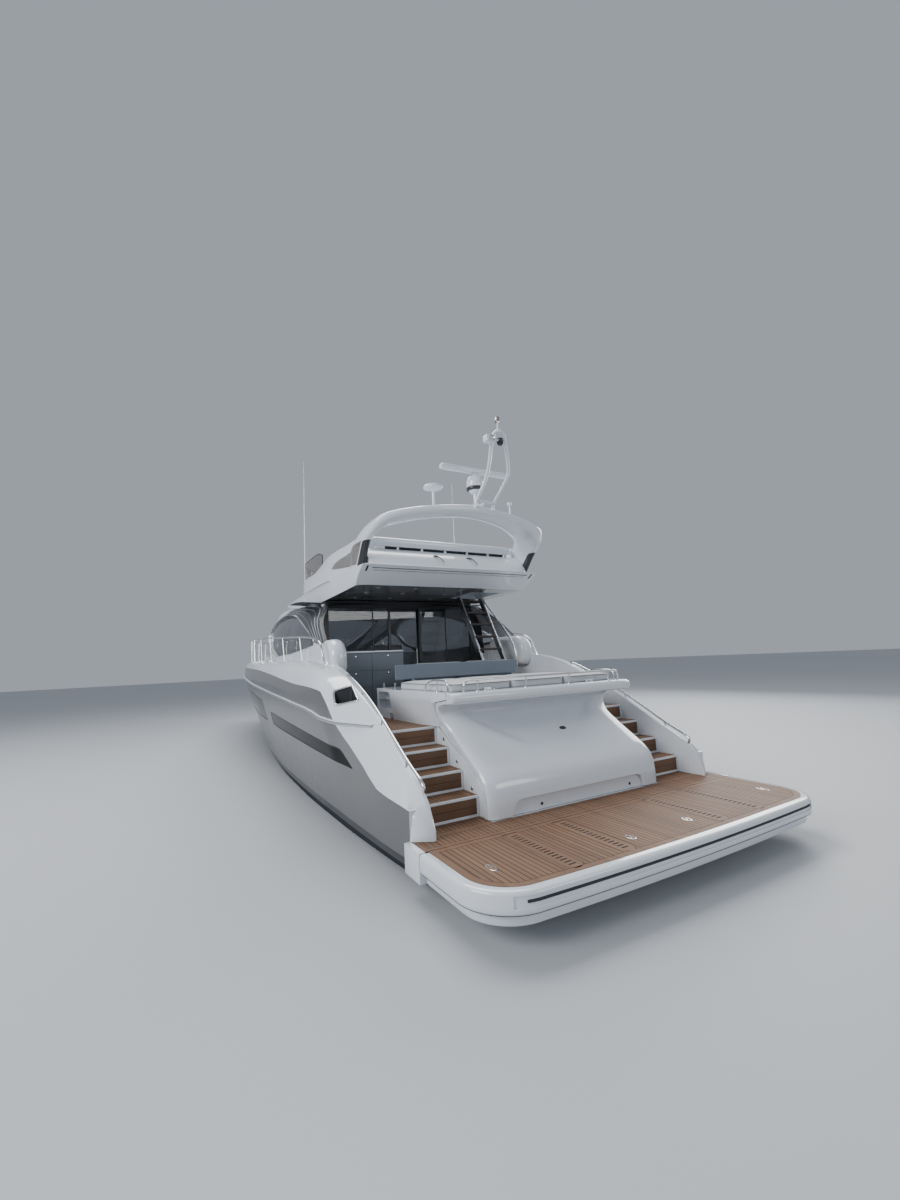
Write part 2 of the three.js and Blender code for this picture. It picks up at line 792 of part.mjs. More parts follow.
// Steering wheel in a plane that leans, and the hole that its shaft turns in
const WHEEL_SHAFT = { radius: 26, gap: 0.8, hole: 600, sides: 24 };
const wheelShaft = (from, to, radius) => rod([from, 0, 0], [to, 0, 0], radius, WHEEL_SHAFT.sides);
const leaned = (body, [x, y, z], lean) => body.rotate([0, lean, 0]).translate([x, y, z]);
const shaftBore = ({ at: centre, lean }) =>
  leaned(wheelShaft(0, WHEEL_SHAFT.hole, WHEEL_SHAFT.radius + WHEEL_SHAFT.gap), centre, lean);
function wheel({ at: centre, lean, shaft }, radius) {
  const rim = new THREE.TorusGeometry(radius, 16, 8, 24);
  const body = join(
    solid(rim.rotateY(Math.PI / 2)),
    wheelShaft(-20, shaft, WHEEL_SHAFT.radius),
    ...[0, 1, 2].map((i) => {
      const turn = (i * 2 * Math.PI) / 3;
      return rod([0, 0, 0], [0, radius * Math.cos(turn), radius * Math.sin(turn)], 11, 6);
    }),
  );
  return leaned(body, centre, lean);
}
const FLY_WHEEL = { at: [6880, -650, 4080], lean: -25, shaft: 200 };
const LOWER_WHEEL = { at: [9180, -900, 2330], lean: -25, shaft: 280 };
add("flybridge_wheel", wheel(FLY_WHEEL, 190), black);
add(
  "flybridge_helm_console",
  cut(apart(alongY(CONSOLE, -1050, -150), coaming), shaftBore(FLY_WHEEL)),
  white,
);
add(
  "flybridge_helm_seat",
  join(
    block(6050, 6500, -950, -350, FLY_FLOOR + 350, FLY_FLOOR + 480),
    block(6000, 6090, -950, -350, FLY_FLOOR + 350, FLY_FLOOR + 900),
    block(6150, 6400, -800, -500, FLY_FLOOR + GAP, FLY_FLOOR + 360),
  ),
  cushion,
);
add(
  "flybridge_hatch",
  block(
    FLY_HATCH.aft + 6,
    FLY_HATCH.fore - 6,
    FLY_HATCH.starboard + 0.7,
    FLY_HATCH.port - 6,
    FLY_FLOOR - 40,
    FLY_FLOOR - 40 + FLY_HATCH.lid,
  ),
  white,
);

// Mast: a bent loop on the arch, with the radar's arm, a horn box and the light
const mastLine = [
  [1900, 40, 4470],
  [1880, 20, 4600],
  [1760, -60, 4860],
  [1640, -75, 5080],
  [1450, -40, 5440],
  [1400, -90, 5540],
  [1400, -200, 5540],
  [1450, -265, 5440],
  [1620, -430, 5130],
  [1710, -450, 4950],
  [1900, -320, 4600],
  [1920, -300, 4470],
];
const RADAR = { x: 2330, y: -245, foot: 4475, top: 5190 };
const mast = join(
  tube(mastLine, 28, 30),
  block(1370, 1480, -230, 110, 5360, 5450),
  rod([1400, -120, 5540], [1400, -120, 5700], 22, 8),
  ball([1400, -120, 5740], [38, 38, 50], 8, 6),
  rod([RADAR.x, RADAR.y, RADAR.foot], [RADAR.x, RADAR.y, 4940], 36, 10),
  rod([1890, -150, 4590], [RADAR.x, RADAR.y, 4620], 30, 8),
  rod([1885, 20, 4590], [1895, -325, 4590], 26, 8),
  turned(
    [
      [0, 4900],
      [80, 4910],
      [115, 4990],
      [115, 5150],
      [60, RADAR.top],
      [0, RADAR.top],
    ],
    [RADAR.x, RADAR.y, 0],
    12,
  ),
);
add("mast", apart(mast, arch), white);
add(
  "radar_scanner",
  join(
    block(RADAR.x - 55, RADAR.x + 55, RADAR.y - 650, RADAR.y + 650, RADAR.top + 40, RADAR.top + 110),
    rod([RADAR.x, RADAR.y, RADAR.top + 0.7], [RADAR.x, RADAR.y, RADAR.top + 60], 40, 12),
  ),
  white,
);
const DOME = { x: 2250, y: 600 };
add(
  "satellite_dome",
  apart(
    join(
      turned(
        [
          [0, 4810],
          [60, 4810],
          [150, 4860],
          [155, 4900],
          [110, 4940],
          [0, 4955],
        ],
        [DOME.x, DOME.y, 0],
        16,
      ),
      rod([DOME.x, DOME.y, 4400], [DOME.x, DOME.y, 4830], 24, 8),
    ),
    arch,
  ),
  white,
);
add(
  "whip_aerial",
  apart(rod([7280, 1480, 3740], [7280, 1480, 7100], 16, 6, 6), fly, coaming),
  white,
);

// Stairs from cockpit to flybridge on the starboard side
const FLY_STAIR = { foot: [2900, 1310], head: [4250, 3540], out: -1400, inn: -860, treads: 8 };
function flyStairs() {
  const [x0, z0] = FLY_STAIR.foot;
  const [x1, z1] = FLY_STAIR.head;
  const string = [
    [x0, z0 + GAP],
    [x0 + 130, z0 + GAP],
    [x1 + 60, z1],
    [x1 - 70, z1],
  ];
  const treads = Array.from({ length: FLY_STAIR.treads }, (_, i) => {
    const t = (i + 1) / (FLY_STAIR.treads + 1);
    const [x, z] = [x0 + (x1 - x0) * t, z0 + (z1 - z0) * t];
    return block(x - 60, x + 190, FLY_STAIR.out + 10, FLY_STAIR.inn - 10, z - 20, z + 20);
  });
  return join(
    alongY(string, FLY_STAIR.out, FLY_STAIR.out + 40),
    alongY(string, FLY_STAIR.inn - 40, FLY_STAIR.inn),
    ...treads,
  );
}
add("flybridge_stairs", apart(flyStairs(), fly), steel);

// Rails
const railHeight = (x, up) => at(DECK, 4, x) + up;
const RAIL = [
  [3350, 60],
  [3600, 330],
  [4400, 410],
  [6000, 470],
  [8000, 560],
  [10800, 650],
  [13100, 690],
  [15500, 700],
  [16900, 690],
  [17750, 650],
];
const railPoint = ([x, up]) => [x, at(DECK, 3, x) - 20, railHeight(x, up)];
const STANCHIONS = [4700, 6000, 7400, 8800, 10200, 11600, 13000, 14300, 15500, 16600, 17500];
const bowRail = join(
  tube([[3200, 2050, 2120], ...RAIL.map(railPoint)], 17, 60, 8),
  ...STANCHIONS.map((x) =>
    rod([x - 120, at(DECK, 3, x - 120) - 30, railHeight(x - 120, -25)], railPoint([x, at(RAIL, 1, x)]), 13, 6),
  ),
);
pair("bow_rail", apart(bowRail, join(deckSolid, trunk)), steel);
const STERN_POSTS = [420, 1100, 1750];
const sternRail = join(
  tube(
    [
      [75, 2005, 830],
      [70, 2005, 930],
      [440, 2010, 1115],
      [1470, 2015, 1672],
      [2210, 2040, 1965],
      [2330, 2055, 1930],
    ],
    17,
    30,
  ),
  ...STERN_POSTS.map((x) => rod([x, 2022, railHeight(x, -40)], [x, 2010, railHeight(x, 55)], 12, 6)),
);
pair("stern_handrail", apart(sternRail, deckSolid), steel);

// Foredeck: hatches, windlass and anchor
for (const [name, h] of [
  ["anchor_locker_lid", LOCKER],
  ["foredeck_hatch", SKYLIGHT],
]) {
  add(name, block(h.aft + 6, h.fore - 0.7, 6 - h.half, h.half - 6, HATCH_TOP - 100, HATCH_TOP - 60), white);
}
const anchor = join(
  alongY(
    [
      [17500, 2560],
      [18450, 2560],
      [18520, 2480],
      [18450, 2470],
      [17500, 2500],
    ],
    -40,
    40,
  ),
  alongZ(
    [
      [18100, 0],
      [18300, 190],
      [18560, 0],
      [18300, -190],
    ],
    2380,
    2500,
  ),
);
add("anchor", apart(anchor, hullSolid, deckSolid, trunk), steel);

// Stern step and the platform that sinks on two arms
const PLATFORM = { fore: -330, aft: -1500, half: 2250, bottom: 190, skirt: 285, edge: 430, corner: 480 };
const STERN_STEP = { aft: -320, half: 2250 };
const footNotch = (side) =>
  block(-400, 20, ...(side > 0 ? [1900, 2300] : [-2300, -1900]), STEP_LEVEL, STEP_LEVEL + 50);
add(
  "stern_step",
  cut(
    block(STERN_STEP.aft, -GAP, -STERN_STEP.half, STERN_STEP.half, PLATFORM.bottom, STEP_LEVEL),
    footNotch(1),
    footNotch(-1),
  ),
  teak,
);
// The platform's outline, drawn in by a margin. Its aft edge is a little bowed.
const BOW_OUT = 45;
const CORNER_STEPS = 6;
function platformPlan(margin) {
  const { fore, aft, half, corner } = PLATFORM;
  const radius = corner - margin;
  const edge = [[fore - margin, half - margin]];
  for (let i = 0; i <= CORNER_STEPS; i++) {
    const turn = (i * Math.PI) / 2 / CORNER_STEPS;
    edge.push([
      aft + BOW_OUT + corner - radius * Math.sin(turn),
      half - corner + radius * Math.cos(turn),
    ]);
  }
  edge.push([aft + BOW_OUT / 4 + margin, 900]);
  return bothSides(edge);
}
const armPins = (end, from, to, radius) => [1, -1].map((side) => pinAt(end, side * from, side * to, radius));
const platform = join(
  alongZ(platformPlan(12), PLATFORM.edge - 1, STEP_LEVEL),
  alongZ(platformPlan(0), PLATFORM.skirt, PLATFORM.edge),
  alongZ(platformPlan(55), PLATFORM.bottom, PLATFORM.skirt + 1),
  ...[1, -1].map((side) =>
    block(-860, -700, side * ARM.y - 35, side * ARM.y + 35, ARM.platform[1] - 50, PLATFORM.bottom + 1),
  ),
);
add("swim_platform", cut(platform, ...armPins(ARM.platform, ARM.y - 60, ARM.y + 60, PIN.hole)), teak);
const ARM_BAR = [
  [ARM.hull[0] - 20, ARM.hull[1] - 35],
  [ARM.hull[0] + 20, ARM.hull[1] + 35],
  [ARM.platform[0] + 20, ARM.platform[1] + 35],
  [ARM.platform[0] - 20, ARM.platform[1] - 35],
];
const ARM_IN = ARM.y - 80; // the bars run inside the brackets
const armMiddle = [0, 1].map((i) => (ARM.hull[i] + ARM.platform[i]) / 2);
const liftArms = join(
  ...[ARM_IN, -ARM_IN].map((y) => alongY(ARM_BAR, y - ARM.half, y + ARM.half)),
  pinAt(armMiddle, -ARM_IN, ARM_IN, 35),
  ...[ARM.hull, ARM.platform].flatMap((end) => armPins(end, ARM_IN, ARM.y + 30, PIN.radius)),
);
add("lift_arms", liftArms, steel);

// Garage: a house on the well floor, shut by one moulded door with the bulge, scoop and lip.
// The door's outer and inner lines, foot to top. Columns: x, z, share of the rounding at its sides
const DOOR_LINE = [
  [0, 455, 1],
  [0, 600, 1],
  [20, 740, 1],
  [60, 840, 1],
  [140, 930, 1],
  [260, 1015, 1],
  [500, 1165, 1],
  [740, 1330, 1],
  [850, 1430, 0.8],
  [880, 1500, 0.5],
  [840, 1560, 0.3],
  [700, 1590, 0.3],
  [480, 1610, 0.3],
  [435, 1640, 0.5],
  [430, 1690, 0.5],
  [450, 1725, 0.5],
  [490, 1740, 0.3],
  [590, 1740, 0],
];
const DOOR_BACK = [
  [55, 455, 1],
  [55, 600, 1],
  [78, 725, 1],
  [120, 815, 1],
  [195, 895, 1],
  [300, 970, 1],
  [535, 1115, 1],
  [785, 1285, 1],
  [905, 1395, 0.8],
  [940, 1490, 0.5],
  [930, 1550, 0.3],
  [880, 1605, 0.2],
  [720, 1640, 0],
  [590, 1660, 0],
];
// How the door's sides round off. Columns: distance from the side, drop of the surface
const DOOR_SIDES = [
  [0, 62],
  [15, 40],
  [50, 22],
  [110, 8],
  [200, 0],
];
const HOUSE = { half: 1290, inner: 1262, fore: 2350, top: 1740, ceiling: 1660 };
// The sides flare out under the lip: [z, half-width]
const FLARE = [
  [1330, HOUSE.half],
  [1640, 1430],
];
const DOOR_MARGIN = 6;
function doorRing(side, [fromSide, drop]) {
  const line = (points) =>
    shifted(points, (i) => drop * points[i][2]).map(([x, z], i) => {
      const half = at(FLARE, 1, points[i][1]) - DOOR_MARGIN - fromSide;
      return [x, side * half, z];
    });
  return [...line(DOOR_LINE), ...line(DOOR_BACK).reverse()];
}
const doorRings = [
  ...DOOR_SIDES.map((row) => doorRing(-1, row)),
  ...DOOR_SIDES.toReversed().map((row) => doorRing(1, row)),
];
// The kick recess at the door's foot, as [y, z]
const KICK = [
  [-1010, 440],
  [-960, 580],
  [-900, 612],
  [900, 612],
  [960, 580],
  [1010, 440],
];
const KICK_DEPTH = 35;
// Hinges on top, under the sunpad: ears on the door and knuckles on the house
const DOOR_HINGE = { at: [604, 1753], y: 800, pin: 10, hole: 10.7 };
const EAR = [
  [560, 1730],
  [575, 1760],
  [592, 1771],
  [612, 1771],
  [623, 1755],
  [616, 1741],
  [585, 1736],
];
const KNUCKLE = [
  [586, 1745],
  [590, 1771],
  [655, 1771],
  [660, 1735],
  [640, 1700],
  [634, 1735],
];
const atHinges = (make) => [1, -1].map((side) => make(side));
const doorHoles = atHinges((side) => {
  const y = side * (DOOR_HINGE.y + 30);
  return block(565, 700, y - 45, y + 45, 1700, 1800);
});
const garageDoor = join(
  cut(
    skin(doorRings, doorRings[0].map(([x, , z]) => [x, z])),
    alongX(KICK, -50, KICK_DEPTH),
    ...doorHoles,
  ),
  ...atHinges((side) => {
    const y = side * (DOOR_HINGE.y - 50);
    return alongY(EAR, y - 30, y + 30);
  }),
  ...atHinges((side) => pinAt(DOOR_HINGE.at, side * (DOOR_HINGE.y - 60), side * (DOOR_HINGE.y + 55), DOOR_HINGE.pin)),
);
add("garage_door", garageDoor, white);

const DOOR_ROOM = 8;
const doorSpace = alongY(
  [
    [-300, WELL_FLOOR + TEAK],
    [200, WELL_FLOOR + TEAK],
    ...shifted(DOOR_BACK, (i) => DOOR_SIDES[0][1] * DOOR_BACK[i][2] + DOOR_ROOM),
    [598, 1760],
    [-300, 1760],
  ],
  -1500,
  1500,
);
// The house's side stands proud round the door, down to this ledge
const LEDGE = [
  [80, 300],
  [90, 570],
  [120, 710],
  [230, 830],
  [420, 960],
  [680, 1110],
  [970, 1280],
  [1150, 1360],
  [1920, 1390],
  [2500, 1390],
  [2500, 300],
];
const houseSide = [
  [0, WELL_FLOOR + GAP],
  [0, HOUSE.top],
  [HOUSE.fore, HOUSE.top],
  [HOUSE.fore, SOLE_FLOOR + GAP],
  [STAIR_HEAD - GAP, SOLE_FLOOR + GAP],
  [STAIR_HEAD - GAP, WELL_FLOOR + GAP],
];
const flareSection = bothSides([...FLARE, [HOUSE.top, FLARE[1][1]]]).map(([z, y]) => [y, z]);
const flare = alongX(flareSection, 400, HOUSE.fore);
// A block that carries the moulding on forward to port, with a locker in its outboard face
const WING_BLOCK = { fore: 3020, inner: 1010, locker: [2300, 2940, 1450, 1690], depth: 120 };
const [lockerAft, lockerFore, lockerFoot, lockerTop] = WING_BLOCK.locker;
const house = cut(
  join(
    alongY(houseSide, -HOUSE.half, HOUSE.half),
    flare,
    block(HOUSE.fore - 10, WING_BLOCK.fore, WING_BLOCK.inner, 1350, SOLE + GAP, HOUSE.top),
  ),
  block(200, GARAGE.fore, -GARAGE.half, GARAGE.half, WELL_FLOOR - 5, HOUSE.ceiling),
  block(-50, 632, -GARAGE.half, GARAGE.half, STEP_LEVEL - 1, 1800),
  doorSpace,
  ...[1, -1].map((side) =>
    alongY(LEDGE, ...(side > 0 ? [HOUSE.inner, 1500] : [-1500, -HOUSE.inner])),
  ),
  block(lockerAft, lockerFore, 1350 - WING_BLOCK.depth, 1500, lockerFoot, lockerTop),
);
const knuckles = atHinges((side) => {
  const y = side * (DOOR_HINGE.y + 30);
  return cut(alongY(KNUCKLE, y - 30, y + 30), pinAt(DOOR_HINGE.at, y - 60, y + 60, DOOR_HINGE.hole));
});
add("garage_house", join(house, ...knuckles), white);

// Stairs either side of the garage, with teak treads
const riser = (i) => STAIR_FOOT + TREAD * i;
const treadTop = (i) => STEP_LEVEL + ((SOLE - STEP_LEVEL) / RISERS) * (i + 1);
const stairLine = [
  [0, WELL_FLOOR + GAP],
  [0, STEP_LEVEL],
  [STAIR_FOOT, STEP_LEVEL],
];
for (let i = 0; i < RISERS - 1; i++) {
  stairLine.push([riser(i), treadTop(i)], [Math.min(riser(i + 1), STAIR_HEAD - GAP), treadTop(i)]);
}
stairLine.push([STAIR_HEAD - GAP, WELL_FLOOR + GAP]);
const stairBlock = alongY(stairLine, HOUSE.inner, WELL_HALF - GAP);
pair("stairs", apart(stairBlock, house), teak);

// Cockpit
const ENGINE_HATCH = { aft: 3050, fore: 3800, from: 400, to: 1300 };
const soleHalf = COCKPIT_PLAN.map(([x, y]) => [Math.min(Math.max(x, STAIR_HEAD + 1), AFT_WALL - 1), y - 10]);
const soleBody = cut(
  alongZ(bothSides(soleHalf), SOLE - TEAK, SOLE),
  block(0, HOUSE.fore + 2, -HOUSE.inner - 2, HOUSE.inner + 2, 1200, 1400),
);
const engineHatchHole = block(
  ENGINE_HATCH.aft,
  ENGINE_HATCH.fore,
  ENGINE_HATCH.from,
  ENGINE_HATCH.to,
  1200,
  1400,
);
add("cockpit_sole", cut(apart(soleBody, house), engineHatchHole), teak);
add(
  "engine_hatch",
  block(
    ENGINE_HATCH.aft + 6,
    ENGINE_HATCH.fore - 0.7,
    ENGINE_HATCH.from + 6,
    ENGINE_HATCH.to - 6,
    SOLE - TEAK,
    SOLE,
  ),
  teak,
);
add("sunpad", block(664, 2250, -1300, 1300, HOUSE.top + GAP, HOUSE.top + 110), cushion);
add(
  "cockpit_sofa",
  join(
    block(HOUSE.fore + 2, 2950, -800, 1000, SOLE + GAP, SOLE + 430),
    block(HOUSE.fore + 2, 2480, -800, 1000, SOLE + 400, SOLE + 850),
  ),
  cushion,
);
const TABLE = { x: 3500, y: -200, halfLong: 350, halfWide: 500, top: 2040, thick: 40 };
const tableLeg = (z, radius, sides) =>
  rod([TABLE.x, TABLE.y, SOLE + GAP], [TABLE.x, TABLE.y, z], radius, sides);
add(
  "cockpit_table",
  join(
    block(
      TABLE.x - TABLE.halfLong,
      TABLE.x + TABLE.halfLong,
      TABLE.y - TABLE.halfWide,
      TABLE.y + TABLE.halfWide,
      TABLE.top - TABLE.thick,
      TABLE.top,
    ),
    tableLeg(TABLE.top - 20, 60, 12),
    tableLeg(SOLE + 30, 200, 16),
  ),
  teak,
);
add("wet_bar", block(4200, AFT_WALL - 1, 350, 1630, SOLE + GAP, 2360), grey);

// Saloon
const LOWER_CONSOLE = [
  [9350, SOLE + GAP],
  [9300, 2150],
  [9400, 2500],
  [9800, 2560],
  [10350, 2500],
  [10500, SOLE + GAP],
];
add("helm_console", cut(alongY(LOWER_CONSOLE, -1400, 1400), shaftBore(LOWER_WHEEL)), black);
add("helm_wheel", wheel(LOWER_WHEEL, 200), black);
add(
  "helm_seat",
  join(
    block(8250, 8750, -1400, -450, SOLE + 620, SOLE + 760),
    block(8200, 8310, -1400, -450, SOLE + 620, SOLE + 1350),
    block(8300, 8650, -1150, -700, SOLE + GAP, SOLE + 640),
  ),
  cushion,
);
add(
  "saloon_sofa",
  join(
    block(5700, 7900, 950, 1700, SOLE + GAP, SOLE + 450),
    block(5700, 7900, 1500, 1700, SOLE + 400, SOLE + 900),
  ),
  cushion,
);

// Engines, propellers and rudders
pair("engine", block(2750, 4450, 420, 1180, ENGINE_ROOM.floor + GAP, 900), grey);
const BLADES = 4;
const PROP_RADIUS = 350;
function propeller() {
  const blade = skin(
    [
      [40, 70, 45],
      [150, 110, 34],
      [260, 120, 24],
      [PROP_RADIUS, 60, 12],
    ].map(([r, half, twist]) => {
      const turn = THREE.MathUtils.degToRad(twist - 90);
      const [c, s] = [Math.cos(turn) * half, Math.sin(turn) * half];
      const thick = 10;
      const [nx, ny] = [(-Math.sin(turn) * thick) / 2, (Math.cos(turn) * thick) / 2];
      return [
        [c + nx, s + ny, r],
        [-c + nx, -s + ny, r],
        [-c - nx, -s - ny, r],
        [c - nx, s - ny, r],
      ];
    }),
    [
      [0, 1],
      [1, 1],
      [1, 0],
      [0, 0],
    ],
  );
  const blades = Array.from({ length: BLADES }, (_, i) => blade.rotate([(i * 360) / BLADES, 0, 0]));
  const lean = (-Math.atan(SHAFT.slope) * 180) / Math.PI;
  const turnedPart = join(
    rod([-120, 0, 0], [110, 0, 0], 40, 12, 75),
    rod([0, 0, 0], [(SHAFT.foreX + 300 - SHAFT.propX) / Math.cos(Math.atan(SHAFT.slope)), 0, 0], SHAFT.radius, 12),
    ...blades,
  );
  return turnedPart.rotate([0, lean, 0]).translate(shaftPoint(SHAFT.propX));
}
pair("propeller", propeller(), bronze);
const STRUT_X = 1420;
const strut = cut(
  join(
    rod(shaftPoint(STRUT_X - 90), shaftPoint(STRUT_X + 90), 62, 12),
    ...[-300, 240].map((y) =>
      rod(shaftPoint(STRUT_X), [STRUT_X + 60, SHAFT.y + y, -250], 26, 8),
    ),
  ),
  rod(shaftPoint(STRUT_X - 200), shaftPoint(STRUT_X + 200), SHAFT.radius + 2, 12),
);
pair("shaft_strut", apart(strut, hullSolid), bronze);
const blade = skin(
  [
    [150, -430, 45],
    [110, -1180, 22],
  ].map(([fore, z, half]) => [
    [RUDDER.x + fore, RUDDER.y, z],
    [RUDDER.x + 30, RUDDER.y + half, z],
    [RUDDER.x - 330, RUDDER.y + 8, z],
    [RUDDER.x - 330, RUDDER.y - 8, z],
    [RUDDER.x + 30, RUDDER.y - half, z],
  ]),
  [
    [150, 0],
    [30, 1],
    [-330, 0.5],
    [-330, -0.5],
    [30, -1],
  ],
);
pair("rudder", join(blade, stockAt(-470, -230, RUDDER.stock)), bronze);

// Trim tabs on the transom's lower edge, following the bottom's rise
const TAB = { inn: 1150, out: 1800, long: 270, thick: 14 };
const tabZ = (y) => at([[0, -640], [1900, 15]], 1, y) - 12;
const TAB_KNUCKLE = 3.5;
const tab = join(
  rod([-4, TAB.inn, tabZ(TAB.inn) + 10], [-4, TAB.out, tabZ(TAB.out) + 10], TAB_KNUCKLE, 12),
  skin(
    [-TAB.long, -5].map((x) => [
      [x, TAB.inn, tabZ(TAB.inn)],
      [x, TAB.out, tabZ(TAB.out)],
      [x, TAB.out, tabZ(TAB.out) + TAB.thick],
      [x, TAB.inn, tabZ(TAB.inn) + TAB.thick],
    ]),
    [
      [0, 0],
      [1, 0],
      [1, 1],
      [0, 1],
    ],
  ),
);
pair("trim_tab", tab, steel);

export default yacht;
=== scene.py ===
# %% [markdown]
# # A motor yacht, dressed for the studio
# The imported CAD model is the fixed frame: every solid is where it belongs, in metres, with x forward
# from the transom foot, y to port and z up from the waterline. This file gives the yacht its smooth
# mouldings, its teak, its glass and its fittings, and leaves the frame's places and sizes alone.

# %% Load the frame
import math
from contextlib import contextmanager

import bmesh
import bpy
import numpy as np
from mathutils import Matrix, Vector


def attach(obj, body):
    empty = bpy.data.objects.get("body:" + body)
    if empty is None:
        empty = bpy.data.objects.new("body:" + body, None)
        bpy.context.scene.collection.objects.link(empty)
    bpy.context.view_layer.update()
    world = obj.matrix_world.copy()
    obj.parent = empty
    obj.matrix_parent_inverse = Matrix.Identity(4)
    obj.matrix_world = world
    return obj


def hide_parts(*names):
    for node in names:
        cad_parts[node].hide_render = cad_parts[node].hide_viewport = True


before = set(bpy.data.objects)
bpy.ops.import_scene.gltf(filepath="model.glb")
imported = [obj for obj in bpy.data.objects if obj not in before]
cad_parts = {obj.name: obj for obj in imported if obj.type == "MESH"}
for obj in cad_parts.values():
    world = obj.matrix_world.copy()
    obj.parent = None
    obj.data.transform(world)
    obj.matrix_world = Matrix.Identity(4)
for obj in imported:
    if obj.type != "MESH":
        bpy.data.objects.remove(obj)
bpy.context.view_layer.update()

# %% [markdown]
# ## Camera
# The photograph was taken with a very wide lens from a little behind the port quarter, two metres
# above the water. The camera is set by three axes instead of angles, because they were solved from
# points that the model and the photograph share.

# %% Camera
EYE = (-4.5, 4.145, 2.1)
AHEAD = Vector((0.86712, -0.48277, 0.12258)).normalized()
ASIDE = Vector((-0.48073, -0.87557, -0.04771))
LENS = 14.915  # on a 36 mm sensor, upright picture

camera_data = bpy.data.cameras.new("camera")
camera_data.lens = LENS
camera_data.clip_end = 400
camera = bpy.data.objects.new("camera", camera_data)
right = (ASIDE - AHEAD * ASIDE.dot(AHEAD)).normalized()
upward = right.cross(AHEAD)
camera.matrix_world = Matrix.Translation(EYE) @ Matrix((right, upward, -AHEAD)).transposed().to_4x4()
bpy.context.scene.collection.objects.link(camera)
bpy.context.scene.camera = camera
print("camera at", EYE)

# %% [markdown]
# ## Stage and light
# The floor stands in for the water, so it lies at the waterline and the hull goes on below it. The
# light is a soft studio: an even pale world, one large soft box overhead and one to each side, which
# gives gloss finishes long clean reflections.

# %% Stage
def new_object(name, points, faces, edges=()):
    mesh = bpy.data.meshes.new(name)
    mesh.from_pydata([tuple(p) for p in points], [tuple(e) for e in edges], [tuple(f) for f in faces])
    mesh.update()
    made = bpy.data.objects.new(name, mesh)
    bpy.context.scene.collection.objects.link(made)
    return made


def oblong(x, y):
    """Four corners, between two values each way."""
    return [(x[0], y[0]), (x[1], y[0]), (x[1], y[1]), (x[0], y[1])]


FLOOR_HALF = 150
floor = new_object(
    "studio_floor", [(*p, 0) for p in oblong((-FLOOR_HALF, FLOOR_HALF), (-FLOOR_HALF, FLOOR_HALF))],
    [(0, 1, 2, 3)],
)
world = bpy.data.worlds.new("studio")
bpy.context.scene.world = world
world.use_nodes = True
sky = world.node_tree.nodes["Background"].inputs
sky["Color"].default_value, sky["Strength"].default_value = (0.72, 0.78, 0.88, 1), 0.5

# Rows: name, place, aim, size, power
SOFT_BOXES = [
    ("key", (0, 17, 10), (7, 0, 2), 12, 2400),
    ("overhead", (10, 0, 17), (7, 0, 0), 16, 3400),
    ("stern", (-15, -7, 7), (1, 0, 1), 7, 420),
    ("starboard", (8, -17, 9), (8, 0, 2), 12, 1600),
]
for name, place, aim, size, power in SOFT_BOXES:
    lamp = bpy.data.lights.new(name, "AREA")
    lamp.shape, lamp.size, lamp.size_y, lamp.energy = "RECTANGLE", size, size * 0.6, power
    light = bpy.data.objects.new(name, lamp)
    light.location, light.rotation_mode = place, "QUATERNION"
    light.rotation_quaternion = (Vector(aim) - Vector(place)).to_track_quat("-Z", "Y")
    bpy.context.scene.collection.objects.link(light)
print("lights", len(SOFT_BOXES))

# %% [markdown]
# ## Effects that several finishes share
# Weather, dimples, grain, brushing and weave are each one node group, so that a change shows up
# everywhere.
# A group puts out only values, colours and normals that vary over the surface. The shader itself, and
# every number that is the same all over, stays in the material.

# %% A small kit for node groups
NUMBERS = ("Math", "VectorMath", "CombineXYZ")  # kinds that both sorts of tree share


def group(name, kind, inputs, outputs):
    """A tree with its sockets, what its inputs give, and the node that stands for its outputs."""
    tree = bpy.data.node_groups.new(name, kind + "NodeTree")
    for way, rows in (("INPUT", inputs), ("OUTPUT", outputs)):
        for label, what, *start in rows:
            socket = tree.interface.new_socket(label, in_out=way, socket_type="NodeSocket" + what)
            if start:
                socket.default_value = start[0]
    return tree, tree.nodes.new("NodeGroupInput").outputs, tree.nodes.new("NodeGroupOutput")


def fill(tree, node, values):
    """Puts values or links on a node's sockets."""
    for socket, value in dict(values).items():
        if isinstance(value, bpy.types.NodeSocket):
            tree.links.new(value, node.inputs[socket])
        else:
            node.inputs[socket].default_value = value


def put(tree, kind, values=(), **settings):
    """A new node's first output. Its settings come first, then values or links on its sockets."""
    family = "GeometryNode" if tree.type == "GEOMETRY" and kind not in NUMBERS else "ShaderNode"
    made = tree.nodes.new(family + kind)
    for key, value in settings.items():
        setattr(made, key, value)
    fill(tree, made, values)
    return made.outputs[0]


def sums(tree, operation, *values):
    """One Math node's result."""
    return put(tree, "Math", enumerate(values), operation=operation)


def shifts(tree, operation, *values):
    """One Vector Math node's result."""
    return put(tree, "VectorMath", enumerate(values), operation=operation)


def scaled(tree, vector, by):
    return put(tree, "VectorMath", {0: vector, "Scale": by}, operation="SCALE")


def noise(tree, vector, scale, detail=2.0):
    return put(tree, "TexNoise", {"Vector": vector, "Scale": scale, "Detail": detail})


def mixed(tree, share, first, second):
    """A colour between two."""
    pair = [c if isinstance(c, bpy.types.NodeSocket) else (*c, 1) for c in (first, second)]
    return put(tree, "Mix", {0: share, 6: pair[0], 7: pair[1]}, data_type="RGBA").node.outputs[2]


def shader(name):
    """A new material, its tree, its Principled shader and the object's coordinates."""
    made = bpy.data.materials.new(name)
    made.use_nodes = True
    tree = made.node_tree
    return made, tree, tree.nodes["Principled BSDF"], put(tree, "TexCoord").node.outputs["Object"]


